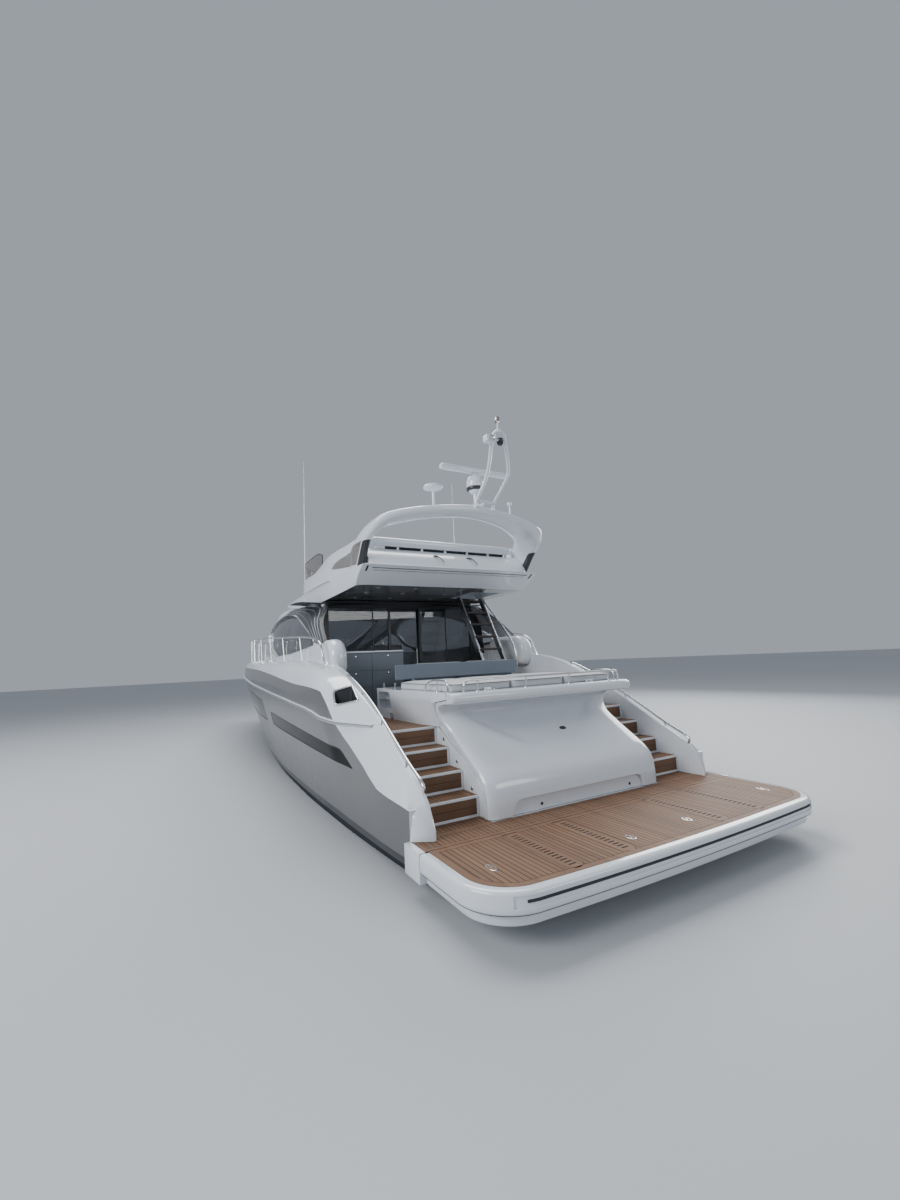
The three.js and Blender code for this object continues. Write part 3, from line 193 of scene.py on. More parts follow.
floor_paint, tree, paint, where = shader("studio_floor")
tone = put(tree, "ValToRGB", {"Fac": noise(tree, where, 0.05)})
for stop, shade in zip(tone.node.color_ramp.elements, ((0.42, 0.44, 0.46, 1), (0.48, 0.50, 0.52, 1))):
    stop.color = shade
fill(tree, paint, {"Roughness": 0.55, "Base Color": tone})
floor.data.materials.append(floor_paint)
print("floor half-width", FLOOR_HALF)

# %% Weather: soft clouds of tone with faint streaks that run down
weather, given, out = group(
    "weather", "Shader", [("Vector", "Vector"), ("Size", "Float", 1.0)],
    [("Cloud", "Float"), ("Streak", "Float")],
)
spread = scaled(weather, given["Vector"], given["Size"])
drawn = put(weather, "Mapping", {"Vector": spread, "Scale": (6.0, 6.0, 0.5)})
fill(weather, out, {"Cloud": noise(weather, spread, 0.8, 6.0), "Streak": noise(weather, drawn, 1.6, 4.0)})
print("group", weather.name)

# %% Dimple: the slight waviness and grain that any sprayed or moulded skin has
DIMPLE_INPUTS = [
    ("Vector", "Vector"), ("Size", "Float", 60.0), ("Height", "Float", 0.1), ("Depth", "Float", 0.001),
]
dimple, given, out = group("dimple", "Shader", DIMPLE_INPUTS, [("Normal", "Vector")])
bumps = noise(dimple, given["Vector"], given["Size"])
raised = put(dimple, "Bump", {"Strength": given["Height"], "Distance": given["Depth"], "Height": bumps})
fill(dimple, out, {"Normal": raised})
print("group", dimple.name)

# %% Wood grain: each plank has its own tone, and its fibres run along it
GRAIN_INPUTS = [("Vector", "Vector"), ("Plank", "Float", 0.05), ("Light", "Color"), ("Dark", "Color")]
grain, given, out = group("grain", "Shader", GRAIN_INPUTS, [("Color", "Color"), ("Height", "Float")])
across = put(grain, "SeparateXYZ", {0: given["Vector"]}).node.outputs["Y"]
row = sums(grain, "FLOOR", sums(grain, "DIVIDE", across, given["Plank"]))
own = put(grain, "TexWhiteNoise", {"W": row}, noise_dimensions="1D")
slid = put(grain, "CombineXYZ", {"X": sums(grain, "MULTIPLY", own, 40.0)})
stretched = put(
    grain, "Mapping", {"Vector": shifts(grain, "ADD", given["Vector"], slid), "Scale": (2.2, 60.0, 60.0)},
)
fibres = noise(grain, stretched, 2.4, 8.0)
share = sums(grain, "MULTIPLY", fibres, 0.75)
for part, weight in ((own, 0.42), (noise(grain, given["Vector"], 1.4, 3.0), 0.5)):
    share = sums(grain, "ADD", share, sums(grain, "MULTIPLY", part, weight))
share = sums(grain, "SUBTRACT", share, 0.42)
fill(grain, out, {"Color": mixed(grain, share, given["Dark"], given["Light"]), "Height": fibres})
print("group", grain.name)

# %% Brushing: hair-fine lines along a bar or plate, and smudges where hands have been
BRUSHING_INPUTS = [("Vector", "Vector"), ("Rough", "Float", 0.1), ("Spread", "Float", 0.15)]
brushing, given, out = group("brushing", "Shader", BRUSHING_INPUTS, [("Roughness", "Float")])
lines = put(brushing, "Mapping", {"Vector": given["Vector"], "Scale": (4.0, 90.0, 90.0)})
both = sums(brushing, "ADD", noise(brushing, lines, 3.0, 5.0), noise(brushing, given["Vector"], 7.0, 3.0))
uneven = sums(brushing, "MULTIPLY", sums(brushing, "MULTIPLY", both, 0.5), given["Spread"])
fill(brushing, out, {"Roughness": sums(brushing, "ADD", uneven, given["Rough"])})
print("group", brushing.name)

# %% Weave: a plain cloth of crossing threads
WEAVE_INPUTS = [("Vector", "Vector"), ("Thread", "Float", 0.003), ("Depth", "Float", 0.0006)]
weave, given, out = group("weave", "Shader", WEAVE_INPUTS, [("Shade", "Float"), ("Normal", "Vector")])
turns = sums(weave, "DIVIDE", 2 * math.pi, given["Thread"])
parts = put(weave, "SeparateXYZ", {0: given["Vector"]}).node.outputs
waves = [sums(weave, "SINE", sums(weave, "MULTIPLY", parts[axis], turns)) for axis in "XYZ"]
cross = sums(weave, "ADD", sums(weave, "MULTIPLY", waves[0], waves[1]), waves[2])
raised = put(weave, "Bump", {"Strength": 0.4, "Distance": given["Depth"], "Height": cross})
fill(weave, out, {"Shade": noise(weave, given["Vector"], 9.0, 5.0), "Normal": raised})
print("group", weave.name)

# %% [markdown]
# ## Finishes
# Gelcoat is a glassy clear layer over pigment, so it gets a coat. Its colour drifts very slightly and
# rain leaves faint streaks, which the weather group gives. The topsides are a darker metallic grey
# above a black boot stripe, and below that stripe the bottom is painted with antifouling.

# %% Gelcoats and paints
def weathered(name, light, dark, rough, streaks=0.25, coat=0.0, metal=0.0, dimples=None, specular=0.5):
    """A paint or gelcoat whose tone drifts between two colours."""
    made, tree, principled, where = shader(name)
    drift = put(tree, "Group", {"Vector": where}, node_tree=weather).node.outputs
    share = sums(tree, "MULTIPLY", drift["Streak"], streaks)
    share = sums(tree, "ADD", share, sums(tree, "MULTIPLY", drift["Cloud"], 1 - streaks))
    fill(tree, principled, {
        "Base Color": mixed(tree, share, dark, light),
        "Roughness": sums(tree, "MULTIPLY_ADD", share, rough * 0.8, rough * 0.6),
        "Metallic": metal, "Coat Weight": coat, "Coat Roughness": 0.03, "Specular IOR Level": specular,
    })
    if dimples:
        sizes = dict(zip(("Size", "Height", "Depth"), dimples), Vector=where)
        fill(tree, principled, {"Normal": put(tree, "Group", sizes, node_tree=dimple)})
    return made


gelcoat = weathered(
    "white_gelcoat", (0.80, 0.84, 0.88), (0.68, 0.73, 0.79), 0.2, coat=0.8, dimples=(3.0, 0.25, 0.004),
)
nonslip = weathered(
    "nonslip_gelcoat", (0.74, 0.76, 0.78), (0.62, 0.65, 0.68), 0.6, dimples=(260.0, 0.7, 0.002),
)
lacquer = weathered("cabinet_lacquer", (0.17, 0.21, 0.25), (0.12, 0.15, 0.19), 0.3, coat=0.4)
trim = weathered(
    "black_trim", (0.035, 0.037, 0.042), (0.02, 0.021, 0.024), 0.35, dimples=(180.0, 0.3, 0.0006),
)
rubber = weathered(
    "black_rubber", (0.03, 0.03, 0.032), (0.016, 0.016, 0.018), 0.7, dimples=(400.0, 0.4, 0.0005),
)
caulk = weathered("teak_caulking", (0.016, 0.015, 0.014), (0.008, 0.0075, 0.007), 0.85)
# The headliner is dark grey: painted shade under the flybridge's overhang, with a gloss coat.
shade_liner = weathered("headliner", (0.20, 0.205, 0.215), (0.15, 0.155, 0.165), 0.22, coat=0.6)
engine_paint = weathered("engine_paint", (0.55, 0.57, 0.58), (0.4, 0.42, 0.43), 0.4)
print("paints ready")

# %% Topsides: grey above, boot stripe and antifouling below
BOOT_TOP = 0.2
BOOT_FOOT = 0.1
topsides = weathered(
    "grey_topsides", (0.19, 0.19, 0.193), (0.15, 0.15, 0.154), 0.3, streaks=0.08, coat=0.15, metal=0.2,
    specular=0.25,
)
tree = topsides.node_tree
principled = tree.nodes["Principled BSDF"]
height = put(tree, "SeparateXYZ", {0: put(tree, "TexCoord").node.outputs["Object"]}).node.outputs["Z"]
under_stripe = sums(tree, "LESS_THAN", height, BOOT_FOOT)
above, rough = (principled.inputs[label].links[0].from_socket for label in ("Base Color", "Roughness"))
striped = mixed(tree, sums(tree, "LESS_THAN", height, BOOT_TOP), above, (0.012, 0.013, 0.016))
fill(tree, principled, {
    "Base Color": mixed(tree, under_stripe, striped, (0.022, 0.026, 0.035)),
    "Roughness": sums(tree, "MULTIPLY_ADD", under_stripe, 0.55, rough),
    "Coat Weight": sums(tree, "MULTIPLY", sums(tree, "GREATER_THAN", height, BOOT_FOOT), 0.3),
    "Metallic": sums(tree, "MULTIPLY", sums(tree, "GREATER_THAN", height, BOOT_TOP), 0.35),
})
print("topsides ready")

# %% [markdown]
# ## Teak
# Laid teak is narrow planks with black caulking between them. The planks here are real strips with
# real gaps, so the finish only has to give each strip its own tone and its fibres. The pattern reads
# the same plank width as the geometry, and a Mapping node turns it where planks run across.

# %% Teak
PLANK = 0.052
LAID = {"fore_aft": 0, "across": 90}


def teak(name, turn, light=(0.25, 0.134, 0.070, 1), dark=(0.125, 0.061, 0.030, 1), pitch=PLANK):
    made, tree, principled, where = shader(name)
    run = put(tree, "Mapping", {"Vector": where, "Rotation": (0, 0, math.radians(turn))})
    wood = put(
        tree, "Group", {"Vector": run, "Plank": pitch, "Light": light, "Dark": dark}, node_tree=grain,
    ).node.outputs
    fill(tree, principled, {
        "Base Color": wood["Color"],
        "Roughness": sums(tree, "MULTIPLY_ADD", wood["Height"], 0.3, 0.42),
        "Normal": put(tree, "Bump", {"Strength": 0.35, "Distance": 0.0015, "Height": wood["Height"]}),
    })
    return made


teak_long = teak("teak_fore_aft", LAID["fore_aft"])
teak_cross = teak("teak_across", LAID["across"])
teak_riser = teak("teak_riser", LAID["across"], (0.215, 0.118, 0.065, 1), (0.11, 0.056, 0.029, 1), pitch=0.5)
print("teak ready")

# %% [markdown]
# ## Metal, glass and cloth
# Marine stainless is nearly a mirror, with fine brushing and smudges in its roughness. The yacht's
# glass is tinted almost black, but light still comes through it, so it transmits and is a real sheet
# with two faces. Seats are a pale woven outdoor cloth.

# %% Metals
def metal(name, colour, rough, spread):
    made, tree, principled, where = shader(name)
    cloud = put(tree, "Group", {"Vector": where, "Size": 4.0}, node_tree=weather)
    fill(tree, principled, {
        "Base Color": mixed(tree, cloud, [0.82 * c for c in colour], colour),
        "Roughness": put(
            tree, "Group", {"Vector": where, "Rough": rough, "Spread": spread}, node_tree=brushing,
        ),
        "Metallic": 1.0,
    })
    return made


steel = metal("stainless", (0.78, 0.79, 0.80), 0.06, 0.16)
bronze = metal("bronze", (0.55, 0.36, 0.17), 0.25, 0.3)
print("metals ready")


# %% Glass
def tinted(name, colour, rough=0.02, ior=1.45, through=1.0):
    made, tree, principled, where = shader(name)
    drift = put(tree, "Group", {"Vector": where, "Size": 0.6}, node_tree=weather).node.outputs
    fill(tree, principled, {
        "Base Color": mixed(tree, drift["Cloud"], [0.8 * c for c in colour], colour),
        "Roughness": sums(tree, "MULTIPLY", drift["Streak"], rough),
        "IOR": ior, "Transmission Weight": through,
    })
    return made


dark_glass = tinted("dark_glass", (0.42, 0.44, 0.46))
black_glass = tinted("black_glass", (0.008, 0.009, 0.010), through=0.0, ior=1.12)
smoked = tinted("smoked_acrylic", (0.50, 0.44, 0.39))
print("glass ready")


# %% Cloth
def cloth(name, light, dark, thread=0.004):
    made, tree, principled, where = shader(name)
    woven = put(tree, "Group", {"Vector": where, "Thread": thread}, node_tree=weave).node.outputs
    fill(tree, principled, {
        "Base Color": mixed(tree, woven["Shade"], dark, light),
        "Normal": woven["Normal"],
        "Roughness": sums(tree, "MULTIPLY_ADD", woven["Shade"], 0.2, 0.7),
        "Sheen Weight": 0.3,
    })
    return made


cream = cloth("pale_upholstery", (0.62, 0.64, 0.66), (0.46, 0.48, 0.50))
# The cockpit's cloth is a darker blue-grey than the other pads: painted shade under the flybridge's overhang.
shaded_slate = cloth("slate_upholstery_painted_shade", (0.25, 0.29, 0.33), (0.17, 0.20, 0.24))
sand = cloth("sand_upholstery", (0.50, 0.45, 0.38), (0.36, 0.32, 0.27))
piping_grey = cloth("grey_piping", (0.16, 0.17, 0.18), (0.09, 0.10, 0.11), 0.002)
print("cloth ready")

# %% [markdown]
# ## Tools for the mouldings
# A moulding is drawn the way a lofting floor draws it: a few stations with known widths and heights,
# and fair curves through them. The curve used here never overshoots between two stations, so a
# smooth piece stays inside the measures of the solid that it stands for.

# %% Fair curves
SIDES = ((1, "port"), (-1, "starboard"))


def span(side, a, b):
    """Two distances out from the centreline, on one side of the yacht, the lower value first."""
    return sorted((side * a, side * b))


def inset(ends, low, high=None):
    """Two ends drawn in by a margin each."""
    return ends[0] + low, ends[1] - (low if high is None else high)


def raised_by(profile, level):
    """A profile of (radius, height) moved up to a level."""
    return [(r, h + level) for r, h in profile]


def on_side(points, side):
    """Points of the port side, or their mirror image to starboard."""
    return [(x, side * y, z) for x, y, z in points]


def flipped(points):
    return on_side(points, -1)


def slopes(xs, ys):
    """Slopes at the points of a curve that neither overshoots nor ripples."""
    h, d = np.diff(xs), np.diff(ys) / np.diff(xs)
    m = np.zeros(len(xs))
    m[0], m[-1] = d[0], d[-1]
    for i in range(1, len(xs) - 1):
        if d[i - 1] * d[i] > 0:
            w = 2 * h[i] + h[i - 1], h[i] + 2 * h[i - 1]
            m[i] = sum(w) / (w[0] / d[i - 1] + w[1] / d[i])
    return m


def fair(table, column, x):
    """A table's column at x, its first column, read off the fair curve."""
    xs = np.array([row[0] for row in table])
    ys = np.array([row[column] for row in table])
    x = min(max(x, xs[0]), xs[-1])
    i = min(max(int(np.searchsorted(xs, x)) - 1, 0), len(xs) - 2)
    m = slopes(xs, ys)
    h = xs[i + 1] - xs[i]
    t = (x - xs[i]) / h
    start = ys[i] * (1 + 2 * t) * (1 - t) ** 2 + m[i] * h * t * (1 - t) ** 2
    return float(start + ys[i + 1] * t * t * (3 - 2 * t) - m[i + 1] * h * t * t * (1 - t))


def curve(points, steps, closed=False):
    """Points of a Catmull-Rom curve through the given ones, any number of columns."""
    p = [np.array(q, float) for q in points]
    n = len(p)
    dense = []
    for i in range(n if closed else n - 1):
        a, b, c, d = (p[j % n] if closed else p[min(max(j, 0), n - 1)] for j in (i - 1, i, i + 1, i + 2))
        for k in range(steps):
            t = k / steps
            dense.append(
                0.5 * (
                    2 * b + (c - a) * t + (2 * a - 5 * b + 4 * c - d) * t**2 + (3 * b - a - 3 * c + d) * t**3
                ),
            )
    if not closed:
        dense.append(p[-1])
    return [tuple(q) for q in dense]


def between(tables, step):
    """Stations of several tables with more of them in between, at most a step apart."""
    marks = sorted({row[0] for table in tables for row in table})
    xs = []
    for a, b in zip(marks, marks[1:]):
        count = max(1, math.ceil((b - a) / step))
        xs += [a + (b - a) * i / count for i in range(count)]
    return xs + [marks[-1]]


print("fair curve halfway:", round(fair([(0, 0), (1, 2), (3, 3)], 1, 2), 3))


# %% Meshes from rings, outlines and profiles
@contextmanager
def editing(made):
    """The object's mesh, open for editing."""
    bm = bmesh.new()
    bm.from_mesh(made.data)
    yield bm
    bm.to_mesh(made.data)
    bm.free()


def clean(made, sharp=32):
    """Welds the doubles, turns the faces outwards and smooths across all but sharp edges."""
    with editing(made) as bm:
        bmesh.ops.remove_doubles(bm, verts=bm.verts, dist=1e-5)
        bmesh.ops.dissolve_degenerate(bm, edges=bm.edges, dist=1e-6)
        bmesh.ops.recalc_face_normals(bm, faces=bm.faces)
    made.data.polygons.foreach_set("use_smooth", [True] * len(made.data.polygons))
    made.data.set_sharp_from_angle(angle=math.radians(sharp))
    return made


def skin(name, rings, closed=True, caps=True, sharp=32):
    """A skin through rings of points, with its ends filled."""
    n = len(rings[0])
    points = [p for ring in rings for p in ring]
    faces = []
    for r in range(0, len(points) - n, n):
        for i in range(n if closed else n - 1):
            j = (i + 1) % n
            faces.append((r + i, r + j, r + n + j, r + n + i))
    if caps:
        faces += [tuple(range(n))[::-1], tuple(range(len(points) - n, len(points)))]
    return clean(new_object(name, points, faces), sharp)


def mirrored(half):
    """A ring from its port half, which runs from the centreline below to the centreline above."""
    return list(half) + [(x, -y, z) for x, y, z in reversed(half[1:-1])]


AXES = {"x": (1, 2, 0), "y": (0, 2, 1), "z": (0, 1, 2)}


def set_out(axis, p, q, level):
    """The point at (p, q) on the plane across an axis at a level."""
    point = [0.0, 0.0, 0.0]
    for place, value in zip(AXES[axis], (p, q, level)):
        point[place] = value
    return tuple(point)


def prism(name, outline, axis, low, high):
    """An outline drawn out along an axis. It is in (y, z), (x, z) or (x, y)."""
    return skin(name, [[set_out(axis, p, q, level) for p, q in outline] for level in (low, high)])


def block(name, x, y, z):
    return prism(name, oblong(x, y), "z", *z)


def circle(sides):
    return [(math.cos(2 * math.pi * i / sides), math.sin(2 * math.pi * i / sides)) for i in range(sides)]


def turned(name, profile, centre=(0, 0, 0), axis="z", sides=32):
    """A body turned about an axis; the profile is (radius, height), from the axis to the axis."""
    return skin(
        name, [
            [tuple(set_out(axis, r * c, r * s, h) + np.array(centre)) for c, s in circle(sides)]
            for r, h in profile
        ],
    )


def rod(name, radius, ends, centre, axis="z", sides=32):
    low, high = ends
    return turned(name, [(0, low), (radius, low), (radius, high), (0, high)], centre, axis, sides)


def section_ring(spot, out, up, radius, sides, squash=1.0):
    return [tuple(spot + out * (radius * c) + up * (radius * squash * s)) for c, s in circle(sides)]


def pipe(name, line, radius, steps=8, sides=12, squash=1.0):
    """A round bar along a fair line. The radius may be one number or one for each given point."""
    wide = [radius] * len(line) if np.isscalar(radius) else radius
    dense = [(*p, r) for p, r in zip(line, wide)]
    dense = curve(dense, steps) if steps > 1 else dense
    spots = [Vector(p[:3]) for p in dense]
    side = None
    rings = []
    for i, spot in enumerate(spots):
        ahead = (spots[min(i + 1, len(spots) - 1)] - spots[max(i - 1, 0)]).normalized()
        if side is None:
            side = ahead.cross(Vector((0, 0, 1)) if abs(ahead.z) < 0.9 else Vector((1, 0, 0))).normalized()
        side = (side - ahead * side.dot(ahead)).normalized()
        rings.append(section_ring(spot, side, ahead.cross(side), dense[i][3], sides, squash))
    return skin(name, rings, sharp=50)


def ring_bar(name, loop, radius, sides=8):
    """A thin cord along a closed loop."""
    n = len(loop)
    spots = [Vector(p) for p in loop]
    middle = sum(spots, Vector()) / n
    rings = []
    for i, spot in enumerate(spots):
        ahead = (spots[(i + 1) % n] - spots[i - 1]).normalized()
        out = (spot - middle - ahead * (spot - middle).dot(ahead)).normalized()
        rings.append(section_ring(spot, out, ahead.cross(out), radius, sides))
    return skin(name, rings + [rings[0]], caps=False, sharp=60)


print("points round a bar:", len(circle(12)))


# %% Cuts, bevels, copies and the finish of a piece
def baked(made, sharp=32):
    """The object with its modifiers worked into its mesh."""
    bpy.context.view_layer.update()
    mesh = bpy.data.meshes.new_from_object(made.evaluated_get(bpy.context.evaluated_depsgraph_get()))
    made.modifiers.clear()
    made.data = mesh
    return clean(made, sharp)


def combined(made, tool, operation, sharp=32):
    """Cuts with a tool, or joins it on. The tool is used up."""
    step = made.modifiers.new("cut", "BOOLEAN")
    step.object, step.operation, step.solver = tool, operation, "EXACT"
    baked(made, sharp)
    bpy.data.objects.remove(tool)
    return made


def cut(made, *tools, sharp=32):
    for tool in tools:
        combined(made, tool, "DIFFERENCE", sharp)
    return made


FLAT_SHARE = 6  # a face this much larger than its bevel is shaded flat


def rounded(made, width, segments=3, angle=32, flats=True):
    """Rounds the sharp edges of a piece and keeps its large faces flat."""
    step = made.modifiers.new("round", "BEVEL")
    step.width, step.segments, step.limit_method = width, segments, "ANGLE"
    step.angle_limit, step.use_clamp_overlap, step.harden_normals = math.radians(angle), True, False
    baked(made, 50)
    with editing(made) as bm:
        for edge in bm.edges:
            if flats and len(edge.link_faces) == 2:
                small, large = sorted(face.calc_area() for face in edge.link_faces)
                if large > FLAT_SHARE * small and edge.calc_face_angle(0) > math.radians(4):
                    edge.smooth = False
    return made


def copied(node, name, width=0.0, segments=3):
    """A welded copy of a CAD node with flat faces made whole and its edges rounded."""
    made = new_object(name, [], [])
    made.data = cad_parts[node].data.copy()
    made.data.materials.clear()
    with editing(made) as bm:
        bmesh.ops.remove_doubles(bm, verts=bm.verts, dist=1e-5)
        bmesh.ops.dissolve_limit(bm, angle_limit=math.radians(1), verts=bm.verts, edges=bm.edges)
    clean(made)
    return rounded(made, width, segments) if width else made


def painted(made, finish):
    made.data.materials.clear()
    made.data.materials.append(finish)
    return made


def joined(name, parts):
    """One mesh from several, each part keeping its material and its sharp edges."""
    made = new_object(name, [], [])
    finishes = []
    with editing(made) as bm:
        for part in parts:
            finishes += [m for m in part.data.materials if m not in finishes]
            slots = [finishes.index(m) for m in part.data.materials] or [0]
            start = len(bm.faces)
            bm.from_mesh(part.data)
            bm.faces.ensure_lookup_table()
            for face in bm.faces[start:]:
                face.material_index = slots[min(face.material_index, len(slots) - 1)]
            bpy.data.objects.remove(part)
    for finish in finishes:
        made.data.materials.append(finish)
    return made


SLOTS = {
    "topside_gelcoat": [topsides], "grey_lacquer": [lacquer, engine_paint],
    "teak": [teak_long, teak_cross, teak_riser],
}
SLOTS |= {
    "black_trim": [trim, rubber, caulk], "tinted_glass": [dark_glass, black_glass, smoked],
    "stainless": [steel],
}
SLOTS |= {"bronze": [bronze], "cushion": [cream, shaded_slate, sand, piping_grey]}


def finished(made, finish, body="yacht", node=None):
    """Gives a piece its finish, hangs it on its body's empty, and hides the CAD node that it stands for."""
    if finish:
        painted(made, finish)
    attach(made, body)
    if node:
        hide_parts(node)
    return made


# %% [markdown]
# ## Hull
# The hull is one big laminate: a flat-bottomed vee, a chine, flared topsides and a knuckle at the
# sheer. It is lofted from the same stations as the frame, with many more in between, so the long
# faces run fair from stem to transom. The wells, the garage and the windows are cut out of it.

# %% Hull stations
# Columns: x, keel z, chine y, chine z, rail y, rail z, sheer y, sheer z
HULL = [
    (0.0, -0.64, 2.03, 0.03, 2.13, 0.38, 2.19, 0.72),
    (0.7, -0.67, 2.072, 0.023, 2.2, 0.43, 2.252, 0.8),
    (1.05, -0.69, 2.092, 0.021, 2.23, 0.52, 2.27, 0.97),
    (1.4, -0.71, 2.11, 0.019, 2.255, 0.62, 2.29, 1.13),
    (1.95, -0.742, 2.132, 0.015, 2.32, 0.9, 2.345, 1.4),
    (2.35, -0.766, 2.143, 0.012, 2.418, 1.43, 2.408, 1.78),
    (4.0, -0.84, 2.17, 0.01, 2.475, 1.56, 2.45, 1.87),
    (5.7, -0.89, 2.162, 0.036, 2.497, 1.645, 2.478, 2.0),
    (8.0, -0.94, 2.08, 0.11, 2.5, 1.76, 2.47, 2.13),
    (10.0, -0.94, 1.93, 0.23, 2.44, 1.87, 2.4, 2.18),
    (12.0, -0.88, 1.66, 0.43, 2.27, 1.955, 2.23, 2.225),
    (14.0, -0.68, 1.24, 0.72, 1.93, 2.03, 1.9, 2.29),
    (15.5, -0.33, 0.85, 0.98, 1.51, 2.08, 1.5, 2.34),
    (16.6, 0.15, 0.52, 1.2, 1.09, 2.11, 1.09, 2.37),
    (17.4, 0.7, 0.27, 1.42, 0.7, 2.14, 0.71, 2.39),
    (17.9, 1.2, 0.13, 1.64, 0.4, 2.16, 0.43, 2.405),
    (18.15, 1.56, 0.06, 1.8, 0.17, 2.175, 0.19, 2.41),
]
CHINE_FLAT = 0.13
BULGE = 0.018  # the topsides swell this much between chine and rail


def row_at(table, x):
    """All of a table's columns at x."""
    return [fair(table, column, x) for column in range(1, len(table[0]))]


def topside(x, share, proud=0.0):
    """A point of the port topside, from the chine at 0 over the rail at 1 to the sheer at 2."""
    _, chine_y, chine_z, rail_y, rail_z, sheer_y, sheer_z = row_at(HULL, x)
    low = min(share, 1.0)
    y = chine_y + (rail_y - chine_y) * low + BULGE * math.sin(math.pi * low)
    z = chine_z + (rail_z - chine_z) * low
    if share > 1:
        y = rail_y + (sheer_y - rail_y) * (share - 1)
        z = rail_z + (sheer_z - rail_z) * (share - 1)
    return (x, y + proud, z)


def side_at(x, z, proud=0.0):
    """The point of the port topside at a height."""
    _, _, chine_z, _, rail_z, _, sheer_z = row_at(HULL, x)
    share = (z - chine_z) / (rail_z - chine_z)
    if share > 1:
        share = 1 + (z - rail_z) / (sheer_z - rail_z)
    return topside(x, share, proud)


def hull_ring(x):
    keel, chine_y, chine_z, _, _, _, sheer_z = row_at(HULL, x)
    half = [(x, 0, keel), (x, max(chine_y - CHINE_FLAT, chine_y / 2), chine_z - 0.015)]
    half += [topside(x, i / 6) for i in range(7)] + [topside(x, 1.5), topside(x, 2)]
    return mirrored(half + [(x, 0, sheer_z)])


hull_stations = between([HULL], 0.3)
print("hull stations", len(hull_stations))

# %% Hull: loft, wells and rooms
WELL_HALF = 1.985
STAIR_HEAD = 1.18
SOLE = 1.31
STEP_TOP = 0.45
SOLE_BED = 1.2875
WELL_BED = 0.427
AFT_WALL = 4.94
CUT_TOP = 3.0  # above everything that the wells open
COCKPIT_PLAN = [(1.17, 1.985), (2.9, 1.985), (3.3, 1.9), (4.74, 1.9), (4.74, 1.86), (4.96, 1.86)]
SALOON_PLAN = [(4.92, 1.86), (10.2, 1.76), (11.9, 1.35)]


def both_sides(half):
    """A plan from its port half."""
    return list(half) + [(x, -y) for x, y in reversed(half) if y > 0]


def wells():
    return [
        block("well", (-0.6, STAIR_HEAD + 0.001), (-WELL_HALF, WELL_HALF), (WELL_BED, CUT_TOP)),
        prism("well", both_sides(COCKPIT_PLAN), "z", SOLE_BED, CUT_TOP),
        prism("well", both_sides(SALOON_PLAN), "z", SOLE, CUT_TOP),
        block("garage", (-0.3, 2.25), (-1.18, 1.18), (WELL_BED - 0.01, 2.4)),
    ]


AFT_LIGHT = [
    (1.40, 0.885), (1.79, 1.085), (3.5, 1.165), (5.7, 1.25), (6.3, 1.27), (6.25, 1.03), (5.7, 1.0),
    (3.54, 0.95),
]
FORE_LIGHT = [(7.0, 1.02), (7.22, 1.46), (8.6, 1.56), (10.4, 1.62), (11.0, 1.54), (10.3, 1.14), (8.6, 1.06)]


def soft_outline(outline, size, steps=5):
    """An outline with its corners rounded off by arcs of about the given size."""
    made = []
    n = len(outline)
    for i, corner in enumerate(outline):
        here = Vector(corner)
        back, on = Vector(outline[i - 1]) - here, Vector(outline[(i + 1) % n]) - here
        reach = min(size, 0.45 * back.length, 0.45 * on.length)
        a, b = here + back.normalized() * reach, here + on.normalized() * reach
        for k in range(steps + 1):
            t = k / steps
            made.append(tuple(a * (1 - t) ** 2 + here * (2 * t * (1 - t)) + b * t * t))
    return made


def grown(outline, margin):
    """An outline with its sides moved outwards by a margin."""
    n = len(outline)
    area = sum(outline[i - 1][0] * outline[i][1] - outline[i][0] * outline[i - 1][1] for i in range(n))
    side = 1 if area > 0 else -1
    made = []
    for i in range(n):
        a, b, c = (Vector(outline[j % n]) for j in (i - 1, i, i + 1))
        u, v = (b - a).normalized(), (c - b).normalized()
        normal = Vector((u.y + v.y, -u.x - v.x)) * side
        made.append(tuple(b + normal / max(normal.length_squared, 0.5) * 2 * margin))
    return made


def side_patch(name, outline, depth, proud):
    """A sheet that follows the topsides inside an outline of (x, z), port and starboard."""
    xs = [x for x, _ in outline]
    marks = between([[(min(xs),), (max(xs),)]], 0.12)
    heights = [z for _, z in outline]
    low, high = min(heights), max(heights)
    rows = [low + (high - low) * i / 6 for i in range(7)]
    parts = []
    for side, _ in SIDES:
        rings = []
        for x in marks:
            outer = [side_at(x, z, proud) for z in rows]
            inner = [side_at(x, z, proud - depth) for z in reversed(rows)]
            rings.append(on_side(outer + inner, side))
        parts.append(
            combined(skin(name, rings), prism("window", outline, "y", *span(side, 1.2, 2.8)), "INTERSECT")
        )
    return parts


GLASS_SINK = 0.012
hull = skin("hull_skin", [hull_ring(x) for x in hull_stations])
cut(hull, *wells())
cut(hull, block("engine room", (2.5, 4.7), (-1.45, 1.45), (0.0, SOLE + 0.4)))
for light in (AFT_LIGHT, FORE_LIGHT):
    cut(hull, *side_patch("recess", soft_outline(light, 0.07), 0.05, 0.05 - GLASS_SINK))
for side, _ in SIDES:
    cut(hull, rod("stock hole", 0.0288, (0, 0.3), Vector((0.42, 0.9 * side, -0.5))))
print("hull faces", len(hull.data.polygons))

# %% [markdown]
# ## Deck moulding
# The deck is a second moulding that sits on the hull. Aft it is the white quarter that sweeps down to
# the stern step, amidships the bulwark's cap and side deck, forward a crowned foredeck. One loft
# makes all of it; a fair curve through foot, face, shoulder and cap rounds its section.

